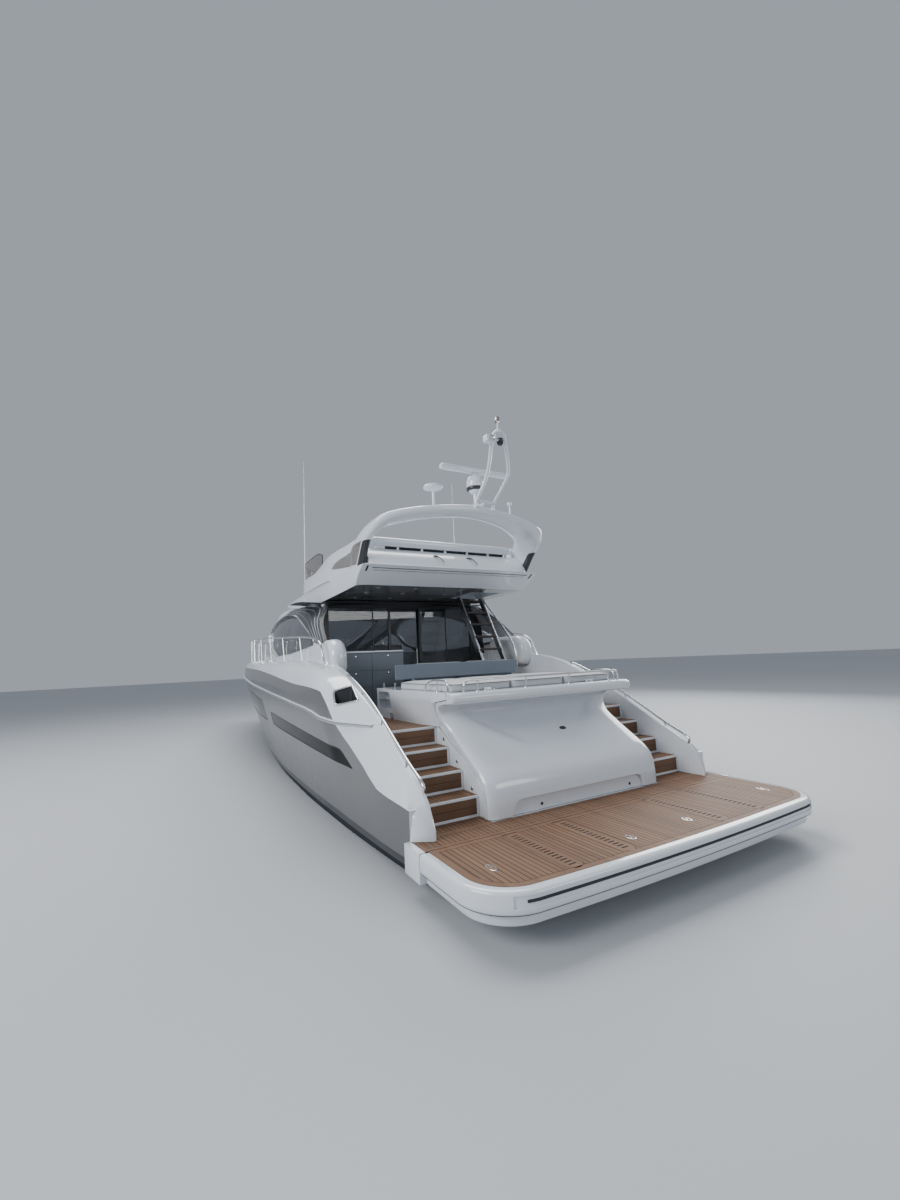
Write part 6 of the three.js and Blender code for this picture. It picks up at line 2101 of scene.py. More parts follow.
for ends in ((BAR_SIDES[0] + 0.02, middle - 0.003), (middle + 0.003, BAR_SIDES[1] - 0.02)):
    for low, high in ((SOLE + 0.08, SOLE + 0.40), (SOLE + 0.406, SOLE + 0.69), (SOLE + 0.696, SOLE + 1.0)):
        fronts.append(rounded(block("front", (BAR[0] + 0.003, BAR[0] + 0.0175), ends, (low, high)), 0.002, 2))
        pulls.append(turned("pull", raised_by(PULL, BAR[0]), (0, sum(ends) / 2, high - 0.05), "x", 20))
finished(joined("wet_bar_fronts", fronts), lacquer)
finished(joined("wet_bar_pulls", pulls), steel)
print("bar pulls", 6)

# %% [markdown]
# ## Glass wall and sliding door
# The saloon is closed by black framed glass: a fixed frame that fills the bay, two fixed panes and a
# door that slides behind the port one. Each pane is a real sheet in its own rebate, so the saloon can
# be seen through it.

# %% Glass wall
DOORWAY = (-0.33, 0.30)
PANES = {"port": (0.35, 1.57), "starboard": (-1.57, -0.38)}
OPENING_TOP = 3.23
upright = [
    (min(cabin_point(AFT_WALL + 0.02, z).y - WALL - 0.003, 2.0), z)
    for z in (2.25, 2.5, 2.8, 3.1, 3.24)
]
wall_half = [(1.858, SOLE + 0.0005), (1.858, 2.25), *upright, (1.635, 3.245), (1.635, 3.379)]
wall = prism(
    "glass_wall_frame", wall_half + [(-y, z) for y, z in reversed(wall_half)], "x", AFT_WALL, AFT_WALL + 0.05,
)
openings = [(DOORWAY, SOLE + 0.012)] + [(ends, SOLE + 0.06) for ends in PANES.values()]
cut(wall, *[prism("opening", oblong(ends, (low, OPENING_TOP)), "x", 4.8, 5.2) for ends, low in openings])
finished(rounded(wall, 0.004, 2), trim, node="aft_glass_wall")
for word, (low, high) in PANES.items():
    pane = block(
        f"glass_wall_pane_{word}", (AFT_WALL + 0.015, AFT_WALL + 0.025), (low - 0.004, high + 0.004),
        (SOLE + 0.056, 3.234),
    )
    finished(pane, dark_glass)
    middle = (low + high) / 2 if word == "starboard" else low + 0.33
    bar = block(
        f"glass_wall_mullion_{word}", (AFT_WALL + 0.008, AFT_WALL + 0.032), (middle - 0.012, middle + 0.012),
        (SOLE + 0.06, OPENING_TOP),
    )
    finished(rounded(bar, 0.003, 2), trim)

DOOR_X, DOOR_THICK, OVERLAP, DOOR_TOP = AFT_WALL + 0.06, 0.034, 0.04, 3.25
BAR_WIDE = 0.055
door_y = inset(DOORWAY, -OVERLAP)
slider = block("saloon_door_frame", (DOOR_X, DOOR_X + DOOR_THICK), door_y, (SOLE + 0.008, DOOR_TOP))
cut(
    slider,
    block("light", (4.9, 5.2), inset(door_y, BAR_WIDE), (SOLE + 0.008 + BAR_WIDE * 1.6, DOOR_TOP - BAR_WIDE)),
)
for a in (door_y[0] + 0.06, door_y[1] - 0.16):
    shoe = block(
        "shoe", inset((DOOR_X, DOOR_X + DOOR_THICK), 0.002), (a, a + 0.1), (SOLE + 0.0007, SOLE + 0.012),
    )
    combined(slider, shoe, "UNION")
finished(rounded(slider, 0.003, 2), trim, "saloon_door", node="saloon_door")
light = inset(inset(door_y, BAR_WIDE), -0.004), (SOLE + 0.09, DOOR_TOP - BAR_WIDE + 0.004)
finished(block("saloon_door_glass", (DOOR_X + 0.012, DOOR_X + 0.022), *light), dark_glass, "saloon_door")
grip_y = DOORWAY[0] + 0.035
grip = block(
    "saloon_door_grip", (DOOR_X - 0.004, DOOR_X + 0.001), (grip_y - 0.013, grip_y + 0.013), (2.05, 2.40),
)
cut(
    grip,
    block("finger slot", (DOOR_X - 0.01, DOOR_X - 0.001), (grip_y - 0.006, grip_y + 0.006), (2.12, 2.33)),
)
finished(rounded(grip, 0.0015, 2), steel, "saloon_door")
print("panes", len(PANES) + 1)

# %% [markdown]
# ## Saloon
# Only what shows through the glass is made: a plank floor, an L of settee to port and the lower helm
# to starboard with its wheel, screens and double seat.

# %% Saloon floor and settee
boards = prism(
    "saloon_floor", both_sides([(4.97, 1.82), (9.9, 1.72), (10.4, 1.6)]), "z", SOLE + 0.0003, SOLE + 0.004,
)
STANDING = [((9.2, 10.6), (-1.41, 1.41)), ((8.29, 8.66), (-1.16, -0.69)), ((5.6, 8.0), (0.93, 1.72))]
cut(boards, *[block("foot", x, y, (1.2, 1.4)) for x, y in STANDING])
finished(boards, teak_long)
base = rounded(block("saloon_sofa_base", (5.71, 7.89), (0.97, 1.69), (SOLE + 0.0005, SOLE + 0.30)), 0.015)
finished(base, lacquer, node="saloon_sofa")
for i in range(3):
    x = 5.7 + 2.2 * (i + 0.5) / 3
    pad(f"saloon_seat_{i + 1}", (x, 1.225, SOLE + 0.305), (0.715, 0.52, 0.13), sand, 0.02, 0.06)
    pad(f"saloon_back_{i + 1}", (x, 1.67, SOLE + 0.64), (0.715, 0.44, 0.12), sand, 0.02, 0.06, tilt=("X", 84))
print("saloon pads", 6)


# %% Wheels and helms
def leant(made, at, degrees):
    """A piece made about the origin, leant about y and put in its place."""
    made.data.transform(Matrix.Translation(at) @ Matrix.Rotation(math.radians(degrees), 4, "Y"))
    return made


def wheel(name, at, radius, shaft, body):
    """A three-spoked wheel with a padded rim, on its leaning shaft."""
    rim = [(0, radius * math.cos(t), radius * math.sin(t)) for t in np.linspace(0, 2 * math.pi, 49)[:-1]]
    parts = [painted(ring_bar("rim", rim, 0.0155, 12), trim)]
    for c, s in circle(3):
        tip = (0, (radius - 0.008) * c, (radius - 0.008) * s)
        parts.append(painted(pipe("spoke", [(-0.004, 0, 0), tip], [0.015, 0.009], 2, 10, squash=0.6), steel))
    hub = [
        (0, -0.02), (0.022, -0.02), (0.034, -0.012), (0.036, 0.01), (0.0255, 0.02), (0.0255, shaft),
        (0, shaft),
    ]
    parts.append(painted(turned("hub", hub, axis="x", sides=28), steel))
    finished(leant(joined(name, parts), at, -25), None, body, body)


wheel("lower_wheel", (9.18, -0.9, 2.33), 0.2, 0.28, "helm_wheel")
wheel("upper_wheel", (6.88, -0.65, 4.08), 0.19, 0.2, "flybridge_wheel")
finished(copied("helm_console", "helm_console_moulding", 0.012, 2), lacquer, node="helm_console")
console = copied("flybridge_helm_console", "fly_console_moulding", 0.014, 3)
finished(console, gelcoat, node="flybridge_helm_console")


def screen(name, centre, wide, high, lean):
    """A flat display in a thin black frame, leaning about y."""
    across, up = (-wide / 2, wide / 2), (-high / 2, high / 2)
    surround = painted(rounded(block("frame", (-0.012, 0.004), across, up), 0.004, 2), trim)
    glass = painted(block("glass", (-0.0135, -0.011), inset(across, 0.012), inset(up, 0.012)), black_glass)
    finished(leant(joined(name, [surround, glass]), centre, lean), None)


screen("lower_plotter_1", (9.335, -0.62, 2.325), 0.34, 0.21, 16)
screen("lower_plotter_2", (9.335, -1.18, 2.325), 0.34, 0.21, 16)
screen("fly_plotter", (7.055, -0.33, 4.228), 0.26, 0.15, 39)
# Rows: name, node, seats, x, sides, floor, seat height, height of the back's top
HELM_SEATS = [
    ("lower_helm", "helm_seat", 2, 8.5, (-1.4, -0.45), SOLE, 0.62, 1.33),
    ("fly_helm", "flybridge_helm_seat", 1, 6.275, (-0.95, -0.35), FLY_FLOOR, 0.35, 0.89),
]
for name, node, count, x, (y0, y1), foot, up, back_up in HELM_SEATS:
    seat, back_top = foot + up, foot + back_up
    pedestal = raised_by([(0, 0.001), (0.14, 0.001), (0.13, 0.02), (0.05, 0.04)], foot) + raised_by(
        [(0.05, -0.03), (0.12, -0.002), (0, -0.002)], seat,
    )
    finished(turned(f"{name}_pedestal", pedestal, (x, (y0 + y1) / 2, 0), sides=28), steel, node=node)
    for i in range(count):
        y, wide = y0 + (y1 - y0) * (i + 0.5) / count, (y1 - y0) / count - 0.02
        pad(f"{name}_seat_{i + 1}", (x, y, seat), (0.42, wide, 0.11), cream, 0.016, 0.05)
        back = (back_top - seat - 0.14, wide, 0.07)
        pad(
            f"{name}_back_{i + 1}", (x - 0.205, y, (seat + back_top) / 2 + 0.06), back, cream, 0.012, 0.05,
            tilt=("Y", 86),
        )
print("helms", len(HELM_SEATS))

# %% [markdown]
# ## Flybridge fittings
# The after seat's moulded back leans over the fascia, and a padded band stands on short posts above
# it, which leaves a row of slots that the stern view shows; a black strip behind them is painted shadow.

# %% Flybridge seats
FLY_BACK = [
    (2.70, 3.655), (2.80, 3.79), (2.92, 3.92), (3.0, 3.985), (3.05, 4.0), (3.10, 3.99), (3.11, 3.94),
    (3.112, 3.66),
]
BACK_ENDS = [
    (-1.513, 0.0), (-1.50, 0.7), (-1.46, 0.93), (-1.38, 1.0), (1.38, 1.0), (1.46, 0.93), (1.50, 0.7),
    (1.513, 0.0),
]
rings = []
for y, fullness in BACK_ENDS:
    top = 3.65 + 0.35 * (0.72 + 0.28 * fullness)
    rings.append([(max(x, 2.70 + 0.05 * (1 - fullness)), y, min(z, top)) for x, z in curve(FLY_BACK, 3)])
finished(skin("fly_seat_back_moulding", rings, sharp=45), gelcoat, node="flybridge_aft_seat_back")
FLY_BAND = [
    (3.0, 4.04), (2.988, 4.1), (2.987, 4.155), (3.02, 4.188), (3.07, 4.19), (3.105, 4.16), (3.108, 4.1),
    (3.104, 4.045),
]
BAND_ENDS = [
    (-1.398, 0.35), (-1.39, 0.62), (-1.36, 0.85), (-1.30, 1.0), (1.30, 1.0), (1.36, 0.85), (1.39, 0.62),
    (1.398, 0.35),
]
rings = [
    [(3.05 + (x - 3.05) * f, y, 4.06 + (z - 4.06) * f) for x, z in curve(FLY_BAND, 3)]
    for y, f in BAND_ENDS
]
finished(skin("fly_seat_band", rings, sharp=50), gelcoat)
posts = [
    rounded(block("post", (3.035, 3.075), (y - 0.02, y + 0.02), (3.985, 4.05)), 0.004, 2)
    for y in (-1.3, -0.9, -0.45, 0.0, 0.45, 0.9, 1.3)
]
finished(joined("fly_seat_band_posts", posts), gelcoat)
# A black strip behind the slots paints the shadow in them.
finished(block("fly_seat_slot_shadow", (3.062, 3.070), (-1.25, 1.12), (3.99, 4.052)), rubber)
for word, xs, ys, node in (
    ("aft", (3.165, 3.475), (-0.7, 1.4), "flybridge_seat"), ("side", (3.485, 5.4), (0.92, 1.4), None),
):
    base = block(f"fly_seat_base_{word}", xs, ys, (FLY_FLOOR + 0.0005, FLY_FLOOR + 0.28))
    finished(rounded(base, 0.015), gelcoat, node=node)
seats = [(f"fly_aft_seat_{i + 1}", (3.32, -0.7 + 2.1 * (i + 0.5) / 3), (0.30, 0.69, 0.1)) for i in range(3)]
seats += [
    (f"fly_side_seat_{i + 1}", (3.49 + 1.91 * (i + 0.5) / 3, 1.16), (0.625, 0.47, 0.1))
    for i in range(3)
]
for name, middle, size in seats:
    pad(name, (*middle, FLY_FLOOR + 0.285), size, cream, 0.015, 0.05)
print("flybridge seats", len(seats))

# %% Flybridge windscreen
screen_line = [(x, y) for x, y in coaming_line if x >= 5.5]
SCREEN_TOP = [(5.5, 4.36), (5.7, 4.46), (6.0, 4.52), (7.0, 4.55), (7.6, 4.56), (8.5, 4.53)]
rings, top_line = [], []
for i, (x, y) in enumerate(screen_line):
    before = Vector(screen_line[max(i - 1, 0)])
    after = Vector(screen_line[min(i + 1, len(screen_line) - 1)])
    along = Vector((0, -1)) if i == len(screen_line) - 1 else (after - before).normalized()
    inward = Vector((along.y, -along.x))
    foot, head = fair(COAMING_TOP, 1, x) - 0.01, fair(SCREEN_TOP, 1, x)
    ring = []
    for reach, z in ((0.036, foot), (0.044, head), (0.050, head), (0.042, foot)):
        spot = Vector((x, y)) + inward * reach
        ring.append((spot.x, max(spot.y, 0.0) if y > 0 else spot.y, z))
    rings.append(ring)
    spot = Vector((x, y)) + inward * 0.047
    top_line.append((spot.x, spot.y, head))
rings += [flipped(ring) for ring in reversed(rings[:-1])]
top_line += flipped(reversed(top_line[:-1]))
finished(skin("fly_screen_sheet", rings), smoked, node="flybridge_windscreen")
foot_line = [(x, y, fair(COAMING_TOP, 1, x) + 0.004) for x, y, _ in top_line]
finished(ring_bar("fly_screen_frame", top_line + foot_line[::-1], 0.011, 8), trim)
bars = [pipe("bar", [foot_line[i], top_line[i]], 0.008, 1, 8) for i in (9, 18, 27, -10, -19, -28)]
finished(joined("fly_screen_bars", bars), trim)
print("screen points", len(rings))

# %% Hatch and stairs to the flybridge
lid = block(
    "fly_hatch_lid", inset(FLY_HATCH[0], 0.006), inset(FLY_HATCH[1], 0.0007, 0.006),
    (FLY_FLOOR - 0.04, FLY_FLOOR - 0.01),
)
finished(rounded(lid, 0.006), gelcoat, "flybridge_hatch", node="flybridge_hatch")
lid_light = soft_outline(oblong(inset(FLY_HATCH[0], 0.08), inset(FLY_HATCH[1], 0.08)), 0.05)
finished(
    prism("fly_hatch_pane", lid_light, "z", FLY_FLOOR - 0.011, FLY_FLOOR - 0.005), smoked, "flybridge_hatch",
)
(x0, z0), (x1, z1) = (2.9, 1.31), (4.25, 3.54)
STAIR_SIDES, TREADS = (-1.4, -0.86), 8
STRING = [(x0, z0 + 0.0005), (x0 + 0.13, z0 + 0.0005), (x1 + 0.06, z1), (x1 - 0.07, z1)]
strings = [
    rounded(prism("string", STRING, "y", a, a + 0.04), 0.008)
    for a in (STAIR_SIDES[0], STAIR_SIDES[1] - 0.04)
]
treads, trays = [], []
for i in range(TREADS):
    t = (i + 1) / (TREADS + 1)
    x, z = x0 + (x1 - x0) * t, z0 + (z1 - z0) * t
    trays.append(
        rounded(
            block("tray", (x - 0.06, x + 0.19), inset(STAIR_SIDES, 0.03), (z - 0.02, z + 0.012)), 0.005, 2,
        ),
    )
    treads.append(
        rounded(
            block("board", (x - 0.05, x + 0.18), inset(STAIR_SIDES, 0.05), (z + 0.0122, z + 0.02)), 0.003, 2,
        ),
    )
finished(joined("fly_stair_frame", strings), steel, node="flybridge_stairs")
finished(joined("fly_stair_trays", trays), trim)
finished(joined("fly_stair_boards", treads), teak_cross)
HANDRAIL = [
    (3.12, -1.46, 1.95), (3.14, -1.46, 2.25), (3.4, -1.46, 2.62), (4.0, -1.46, 3.18), (4.12, -1.46, 3.30),
    (4.13, -1.46, 3.39),
]
finished(pipe("fly_stair_handrail", HANDRAIL, 0.014, 5), steel)
print("flybridge treads", TREADS)

# %% [markdown]
# ## Rails
# The rails are polished tube with leaning stanchions on round feet. One tree makes all the tube of a
# rail: it takes the line's edges as curves and draws a round section along them, so the top rail and
# its stanchions are one rule with one radius.

# %% Rails
railing, given, out = geometry_tree(
    "railing", [("Radius", "Float", 0.014), ("Sides", "Int", 12), ("Steel", "Material")],
)
lines = put(railing, "MeshToCurve", {"Mesh": given["Geometry"]})
section = put(railing, "CurvePrimitiveCircle", {"Resolution": given["Sides"], "Radius": given["Radius"]})
tube = put(railing, "CurveToMesh", {"Curve": lines, "Profile Curve": section, "Fill Caps": True})
dressed(railing, tube, given["Steel"], out)


def tubes(name, lines, radius):
    """Round tubes of one radius along open lines of points."""
    points, edges = [], []
    for line in lines:
        start = len(points)
        points += line
        edges += [(start + i, start + i + 1) for i in range(len(line) - 1)]
    return grown_by(new_object(name, points, [], edges), railing, 50, Radius=radius, Steel=steel)


# Rows: x, height over the cap
RAIL = [
    (3.35, 0.06), (3.6, 0.33), (4.4, 0.41), (6, 0.47), (8, 0.56), (10.8, 0.65), (13.1, 0.69),
    (15.5, 0.7), (16.9, 0.69), (17.75, 0.65),
]
RAIL_START = (3.2, 2.05, 2.12)
STANCHIONS = [4.7, 6.0, 7.4, 8.8, 10.2, 11.6, 13.0, 14.3, 15.5, 16.6, 17.5]
STERN_RAIL = [
    (0.075, 2.005, 0.83), (0.07, 2.005, 0.93), (0.44, 2.01, 1.115), (1.47, 2.015, 1.672), (2.21, 2.04, 1.965),
    (2.33, 2.055, 1.93),
]
BROW_RAIL = [
    (4.40, 0.002), (4.48, 0.028), (5.4, 0.032), (6.6, 0.032), (7.8, 0.03), (8.55, 0.026), (8.66, 0.002),
]
FOOT_PLATE = [(0, -0.004), (0.026, -0.004), (0.026, 0.002), (0.026 * 0.8, 0.006), (0, 0.007)]


def rail_point(x, up, side, inn=0.02):
    return (x, side * (fair(DECK, 3, x) - inn), cap_z(x) + up)


def brow_point(x, up, side):
    return on_side([fly_edge(x, 0.86, up)], side)[0]


for side, word in SIDES:
    top = on_side([RAIL_START], side) + [rail_point(x, up, side) for x, up in RAIL]
    made = tubes("rail", [curve(top, 8)], 0.0165)
    posts = [
        [rail_point(x - 0.12, -0.01, side, 0.03), rail_point(x, fair(RAIL, 1, x) - 0.004, side)]
        for x in STANCHIONS
    ]
    legs = tubes("legs", posts, 0.0125)
    feet = [
        painted(turned("foot", FOOT_PLATE, rail_point(x - 0.12, 0.004, side, 0.03), sides=20), steel)
        for x in STANCHIONS
    ]
    finished(
        joined(f"bow_rail_tube_{word}", [made, legs, *feet]), None, node=f"bow_rail_{word}",
    )
    made = tubes("rail", [on_side(curve(STERN_RAIL, 8), side)], 0.0165)
    legs = tubes(
        "legs",
        [
            [(x, side * 2.022, cap_z(x) - 0.02), (x, side * 2.010, cap_z(x) + 0.055)]
            for x in (0.42, 1.1, 1.75)
        ],
        0.0115,
    )
    tube = joined(f"stern_rail_tube_{word}", [made, legs])
    finished(tube, None, node=f"stern_handrail_{word}")
    made = tubes("rail", [on_side(curve([fly_edge(x, 0.86, up) for x, up in BROW_RAIL], 6), side)], 0.009)
    legs = tubes(
        "legs", [[brow_point(x, up, side) for up in (-0.005, 0.031)] for x in (5.4, 6.6, 7.8)], 0.007,
    )
    finished(joined(f"brow_rail_{word}", [made, legs]), None)
print("stanchions", 2 * len(STANCHIONS))

# %% [markdown]
# ## Dark panels
# The tinted light in the coaming, the black panel at the arch's foot and the striped panel behind the
# side window are thin sheets bonded to curved mouldings. Each is cut from a copy of its moulding moved
# out by a few millimetres, so that it keeps that moulding's curve.

# %% Dark panels
PROUD = 0.0035
COAMING_LIGHT = [(3.3, 3.75), (3.3, 4.03), (4.3, 4.04), (4.6, 4.02), (4.78, 3.955), (4.4, 3.89), (3.8, 3.81)]
ARCH_LIGHT = [(3.03, 3.70), (2.70, 4.02), (3.6, 4.03), (3.6, 3.78)]
ARCH_FOOT = [(2.3, 3.66), (3.01, 3.66), (2.66, 4.0), (2.1, 4.0)]
# The striped band over the side window: its upper edge, then its lower one
BAND_TOP = [(3.70, 2.455), (4.21, 2.865), (4.77, 3.275), (5.6, 3.42), (6.6, 3.46), (7.6, 3.47)]
BAND_FOOT = [(4.45, 2.55), (4.87, 2.755), (5.34, 2.92), (5.95, 3.10), (6.8, 3.29), (8.0, 3.412)]
HUMP = [(3.25, 1.97), (3.25, 2.36), (3.45, 2.55), (4.25, 2.56), (4.48, 2.50), (4.48, 1.97)]


def bonded(name, source, outline, reach, finish):
    """A sheet on the side of a moulding, inside an outline of (x, z)."""
    sheet = new_object(name, [], [])
    sheet.data = source.data.copy()
    sheet.data.materials.clear()
    for vertex, normal in zip(sheet.data.vertices, [v.normal.copy() for v in sheet.data.vertices]):
        vertex.co += normal * PROUD
    finished(
        combined(sheet, prism("window", soft_outline(outline, 0.04), "y", *reach), "INTERSECT", 40), finish,
    )


def side_spot(x, z, side, proud):
    return (x, side * cabin_point(x, z, proud).y, z)


def across_band(share):
    """A line along the band, from its lower edge at 0 to its upper one at 1."""
    pairs = zip(curve(BAND_TOP, 6), curve(BAND_FOOT, 6))
    return [(ix + (ox - ix) * share, iz + (oz - iz) * share) for (ox, oz), (ix, iz) in pairs]


for side, word in SIDES:
    bonded(f"coaming_light_{word}", coaming, COAMING_LIGHT, span(side, 1.3, 1.8), smoked)
    bonded(f"arch_light_{word}", arch, ARCH_LIGHT, span(side, 1.6, 1.8), smoked)
    bonded(f"arch_panel_{word}", arch, ARCH_FOOT, span(side, 1.4, 1.8), trim)
    rings = []
    for stop in zip(*[across_band(k / 8) for k in range(9)]):
        front = [side_spot(x, z, side, 0.004) for x, z in stop]
        rings.append(front + [side_spot(x, z, side, -0.004) for x, z in reversed(stop)])
    finished(skin(f"quarter_band_{word}", rings, sharp=50), trim)
    slats = [[side_spot(x, z, side, 0.004) for x, z in across_band(share)] for share in (0.2, 0.4, 0.6, 0.8)]
    finished(joined(f"quarter_slats_{word}", [pipe("slat", slat, 0.008, 1, 8) for slat in slats]), lacquer)
    edge = [side_spot(x, z, side, 0.002) for x, z in side_light]
    finished(ring_bar(f"side_window_trim_{word}", edge, 0.010), steel)
    hump = prism(f"wing_foot_{word}", soft_outline(HUMP, 0.2, 6), "y", *span(side, 1.72, 1.995))
    finished(rounded(hump, 0.11, 6, flats=False), gelcoat)
print("slats", 4 * len(SIDES))

# %% [markdown]
# ## Deck fittings
# Cleats, fairlead frames, lights and vents are small cast or turned parts, made from the same few
# profiles wherever they stand.

# %% Cleats and fairleads
def cleat(name, x, y, z, long):
    """A two-horned cleat on two short legs."""
    bar = [
        (x + long * a, y, z + long * b)
        for a, b in ((-0.5, 0.24), (-0.3, 0.20), (0, 0.19), (0.3, 0.20), (0.5, 0.24))
    ]
    parts = [pipe("bar", bar, [long * r for r in (0.035, 0.05, 0.055, 0.05, 0.035)], 5, 12)]
    for a in (-0.16, 0.16):
        foot = x + long * a
        parts.append(
            pipe("leg", [(foot, y, z), (foot, y, z + long * 0.19)], [long * 0.07, long * 0.045], 3, 12)
        )
    finished(joined(name, parts), steel)


def height_at(line, y):
    """The height of a section, given from outboard to inboard, at a distance from the centreline."""
    ys, zs = zip(*[(p[0], p[1]) for p in reversed(line)])
    return float(np.interp(abs(y), ys, zs))


# The fairleads' recesses get black trim below their rims, darker than their grey: painted shade in the
# recess.
deck.data.materials.append(trim)
for face in deck.data.polygons:
    x, y, z = face.center
    if 1.69 < x < 2.18 and 2.04 < abs(y) < 2.31 and z < height_at(deck_section(x), y) - 0.012:
        face.material_index = len(deck.data.materials) - 1
plan = soft_outline(FAIRLEAD, 0.04)
rim = []
for (x, y), (nx, ny) in zip(plan, plan[1:] + plan[:1]):
    for t in (0.0, 0.34, 0.67):
        px, py = x + (nx - x) * t, y + (ny - y) * t
        rim.append((px, py, height_at(deck_section(px), py) + 0.002))
for side, word in SIDES:
    finished(ring_bar(f"fairlead_frame_{word}", on_side(rim, side), 0.017), steel)
    cleat(f"fairlead_cleat_{word}", 1.97, side * 2.165, FAIRLEAD_FLOOR - 0.002, 0.22)
    for i, x in enumerate((8.1, 14.7)):
        z = cap_z(x) - 0.001 + fair(CROWN, 1, x) * 0.14
        cleat(f"deck_cleat_{word}_{i + 1}", x, side * (fair(DECK, 3, x) - 0.14), z, 0.3)
POST = [(0, 1.7405), (0.02, 1.7405), (0.014, 1.748), (0.011, 1.80), (0.014, 1.812), (0.008, 1.82), (0, 1.82)]
finished(joined("locker_posts", [turned("post", POST, (x, 1.29, 0), sides=20) for x in (2.42, 2.86)]), steel)
finished(rounded(block("locker_shelf", (2.304, 2.936), (1.24, 1.345), (1.562, 1.574)), 0.003, 2), lacquer)
print("fairlead points", len(rim))

# %% Lights, vents and wipers
LAMP = [(0, 3.3895), (0.045, 3.3895), (0.045, 3.384), (0.036, 3.381), (0, 3.381)]
LAMP_ROWS = {3.35: (-0.45, 0.45, 1.15), 3.95: (-0.45, 0.45, 1.15), 4.6: (-1.15, -0.45, 0.45, 1.15)}
LENS_TINTS = {"port": (0.55, 0.02, 0.02), "starboard": (0.02, 0.35, 0.10)}
BLADE_STOPS = (10.75, 11.0, 11.25, 11.5, 11.75)


def on_roof(x, y, up):
    return (x, y, height_at(cabin_line(x, WALL), y) + up)


lamps = [turned("lamp", LAMP, (x, y, 0), sides=24) for x, ys in LAMP_ROWS.items() for y in ys]
finished(joined("headliner_lamps", lamps), steel)
for side, word in SIDES:
    lens = rounded(block(f"side_light_{word}", (7.02, 7.14), span(side, 1.462, 1.50), (3.86, 3.92)), 0.01)
    finished(lens, tinted(f"lens_{word}", LENS_TINTS[word], 0.08))
for i, (foot_y, tip_y) in enumerate(((0.0, 0.25), (0.62, 0.86), (-0.62, -0.30))):
    a, b = on_roof(12.16, foot_y, 0.025), on_roof(11.2, tip_y, 0.022)
    arm = pipe(
        "arm", [a, ((a[0] + b[0]) / 2, (a[1] + b[1]) / 2, (a[2] + b[2]) / 2 + 0.02), b],
        [0.011, 0.008, 0.006], 4, 8,
    )
    blade_line = [(x, tip_y + 0.02, on_roof(x, tip_y, 0.012)[2]) for x in BLADE_STOPS]
    finished(joined(f"wiper_{i + 1}", [arm, pipe("blade", blade_line, 0.008, 2, 6)]), rubber)
a, b = [fascia_top + slope * d + outward * 0.003 for d in (0.04, 0.17)]
ring = [(p.x, p.z) for p in (a, b, b - outward * 0.012, a - outward * 0.012)]
slots = [prism("slot", ring, "y", y - 0.016, y + 0.016) for y in (1.575, -1.575)]
finished(joined("fascia_slots", slots), rubber)
clips = []
for y in (0.27, -0.39):
    clips.append(
        pipe(
            "arm", [(2.89, y, 3.90), (2.81, y - 0.03, 3.86), (2.76, y - 0.10, 3.765)], [0.012, 0.009, 0.007],
            4, 8,
        ),
    )
    clips.append(
        pipe("bar", [(2.885, y - 0.045, 3.895), (2.875, y, 3.90), (2.885, y + 0.045, 3.895)], 0.010, 3, 8)
    )
finished(joined("cover_clips", clips), trim)
print("lamps", len(lamps))

# %% [markdown]
# ## Bow gear
# The anchor is stowed in its roller with the flukes hanging over the stem, and a windlass stands over
# the locker. Both hatches are lids with a piece let into each; the after one is glazed.

# %% Anchor, roller and windlass
SHANK = [
    (17.5, 2.515), (17.6, 2.50), (18.35, 2.475), (18.47, 2.472), (18.51, 2.485), (18.45, 2.555), (18.3, 2.55),
    (17.6, 2.556), (17.5, 2.55),
]
# Rows: x, half-width, height of the edge
FLUKE = [
    (18.12, 0.02, 2.44), (18.2, 0.10, 2.47), (18.3, 0.185, 2.495), (18.42, 0.12, 2.488),
    (18.555, 0.012, 2.47),
]
CHEEKS = [(17.45, 2.42), (17.5, 2.54), (17.75, 2.56), (18.0, 2.53), (18.12, 2.46), (18.1, 2.42)]
ROLLER = [(0, -0.044), (0.028, -0.044), (0.018, 0), (0.028, 0.044), (0, 0.044)]
WINDLASS = [
    (0, -0.01), (0.1, -0.01), (0.1, 0.03), (0.07, 0.05), (0.05, 0.075), (0.065, 0.11), (0.075, 0.13),
    (0.05, 0.15),
    (0, 0.155),
]


def fluke_ring(x, wide, high):
    keel = 2.385 + 0.02 * abs(x - 18.3) / 0.2
    low = high - 0.012
    return [
        (x, -wide, high), (x, 0, high - 0.03), (x, wide, high), (x, wide * 0.9, low), (x, 0, keel),
        (x, -wide * 0.9, low),
    ]


shank = rounded(prism("shank", SHANK, "y", -0.018, 0.018), 0.005, 2)
fluke = skin("fluke", [fluke_ring(*row) for row in FLUKE], sharp=25)
finished(joined("anchor_casting", [shank, fluke]), steel, node="anchor")
parts = [rounded(prism("cheek", CHEEKS, "y", *span(side, 0.045, 0.055)), 0.003, 2) for side, _ in SIDES]
parts.append(turned("roller", ROLLER, (18.04, 0, 2.448), "y", 24))
finished(joined("bow_roller", parts), steel)
drum_z = cap_z(17.05) + fair(CROWN, 1, 17.05)
finished(turned("windlass", raised_by(WINDLASS, drum_z), (17.05, 0, 0)), steel)
print("windlass foot", round(drum_z, 3))

# %% Deck hatches
HATCH_TOP = 2.56
CATCH = [(0, 0), (0.022, 0), (0.02, 0.006), (0.012, 0.007), (0.01, 0.004), (0, 0.004)]
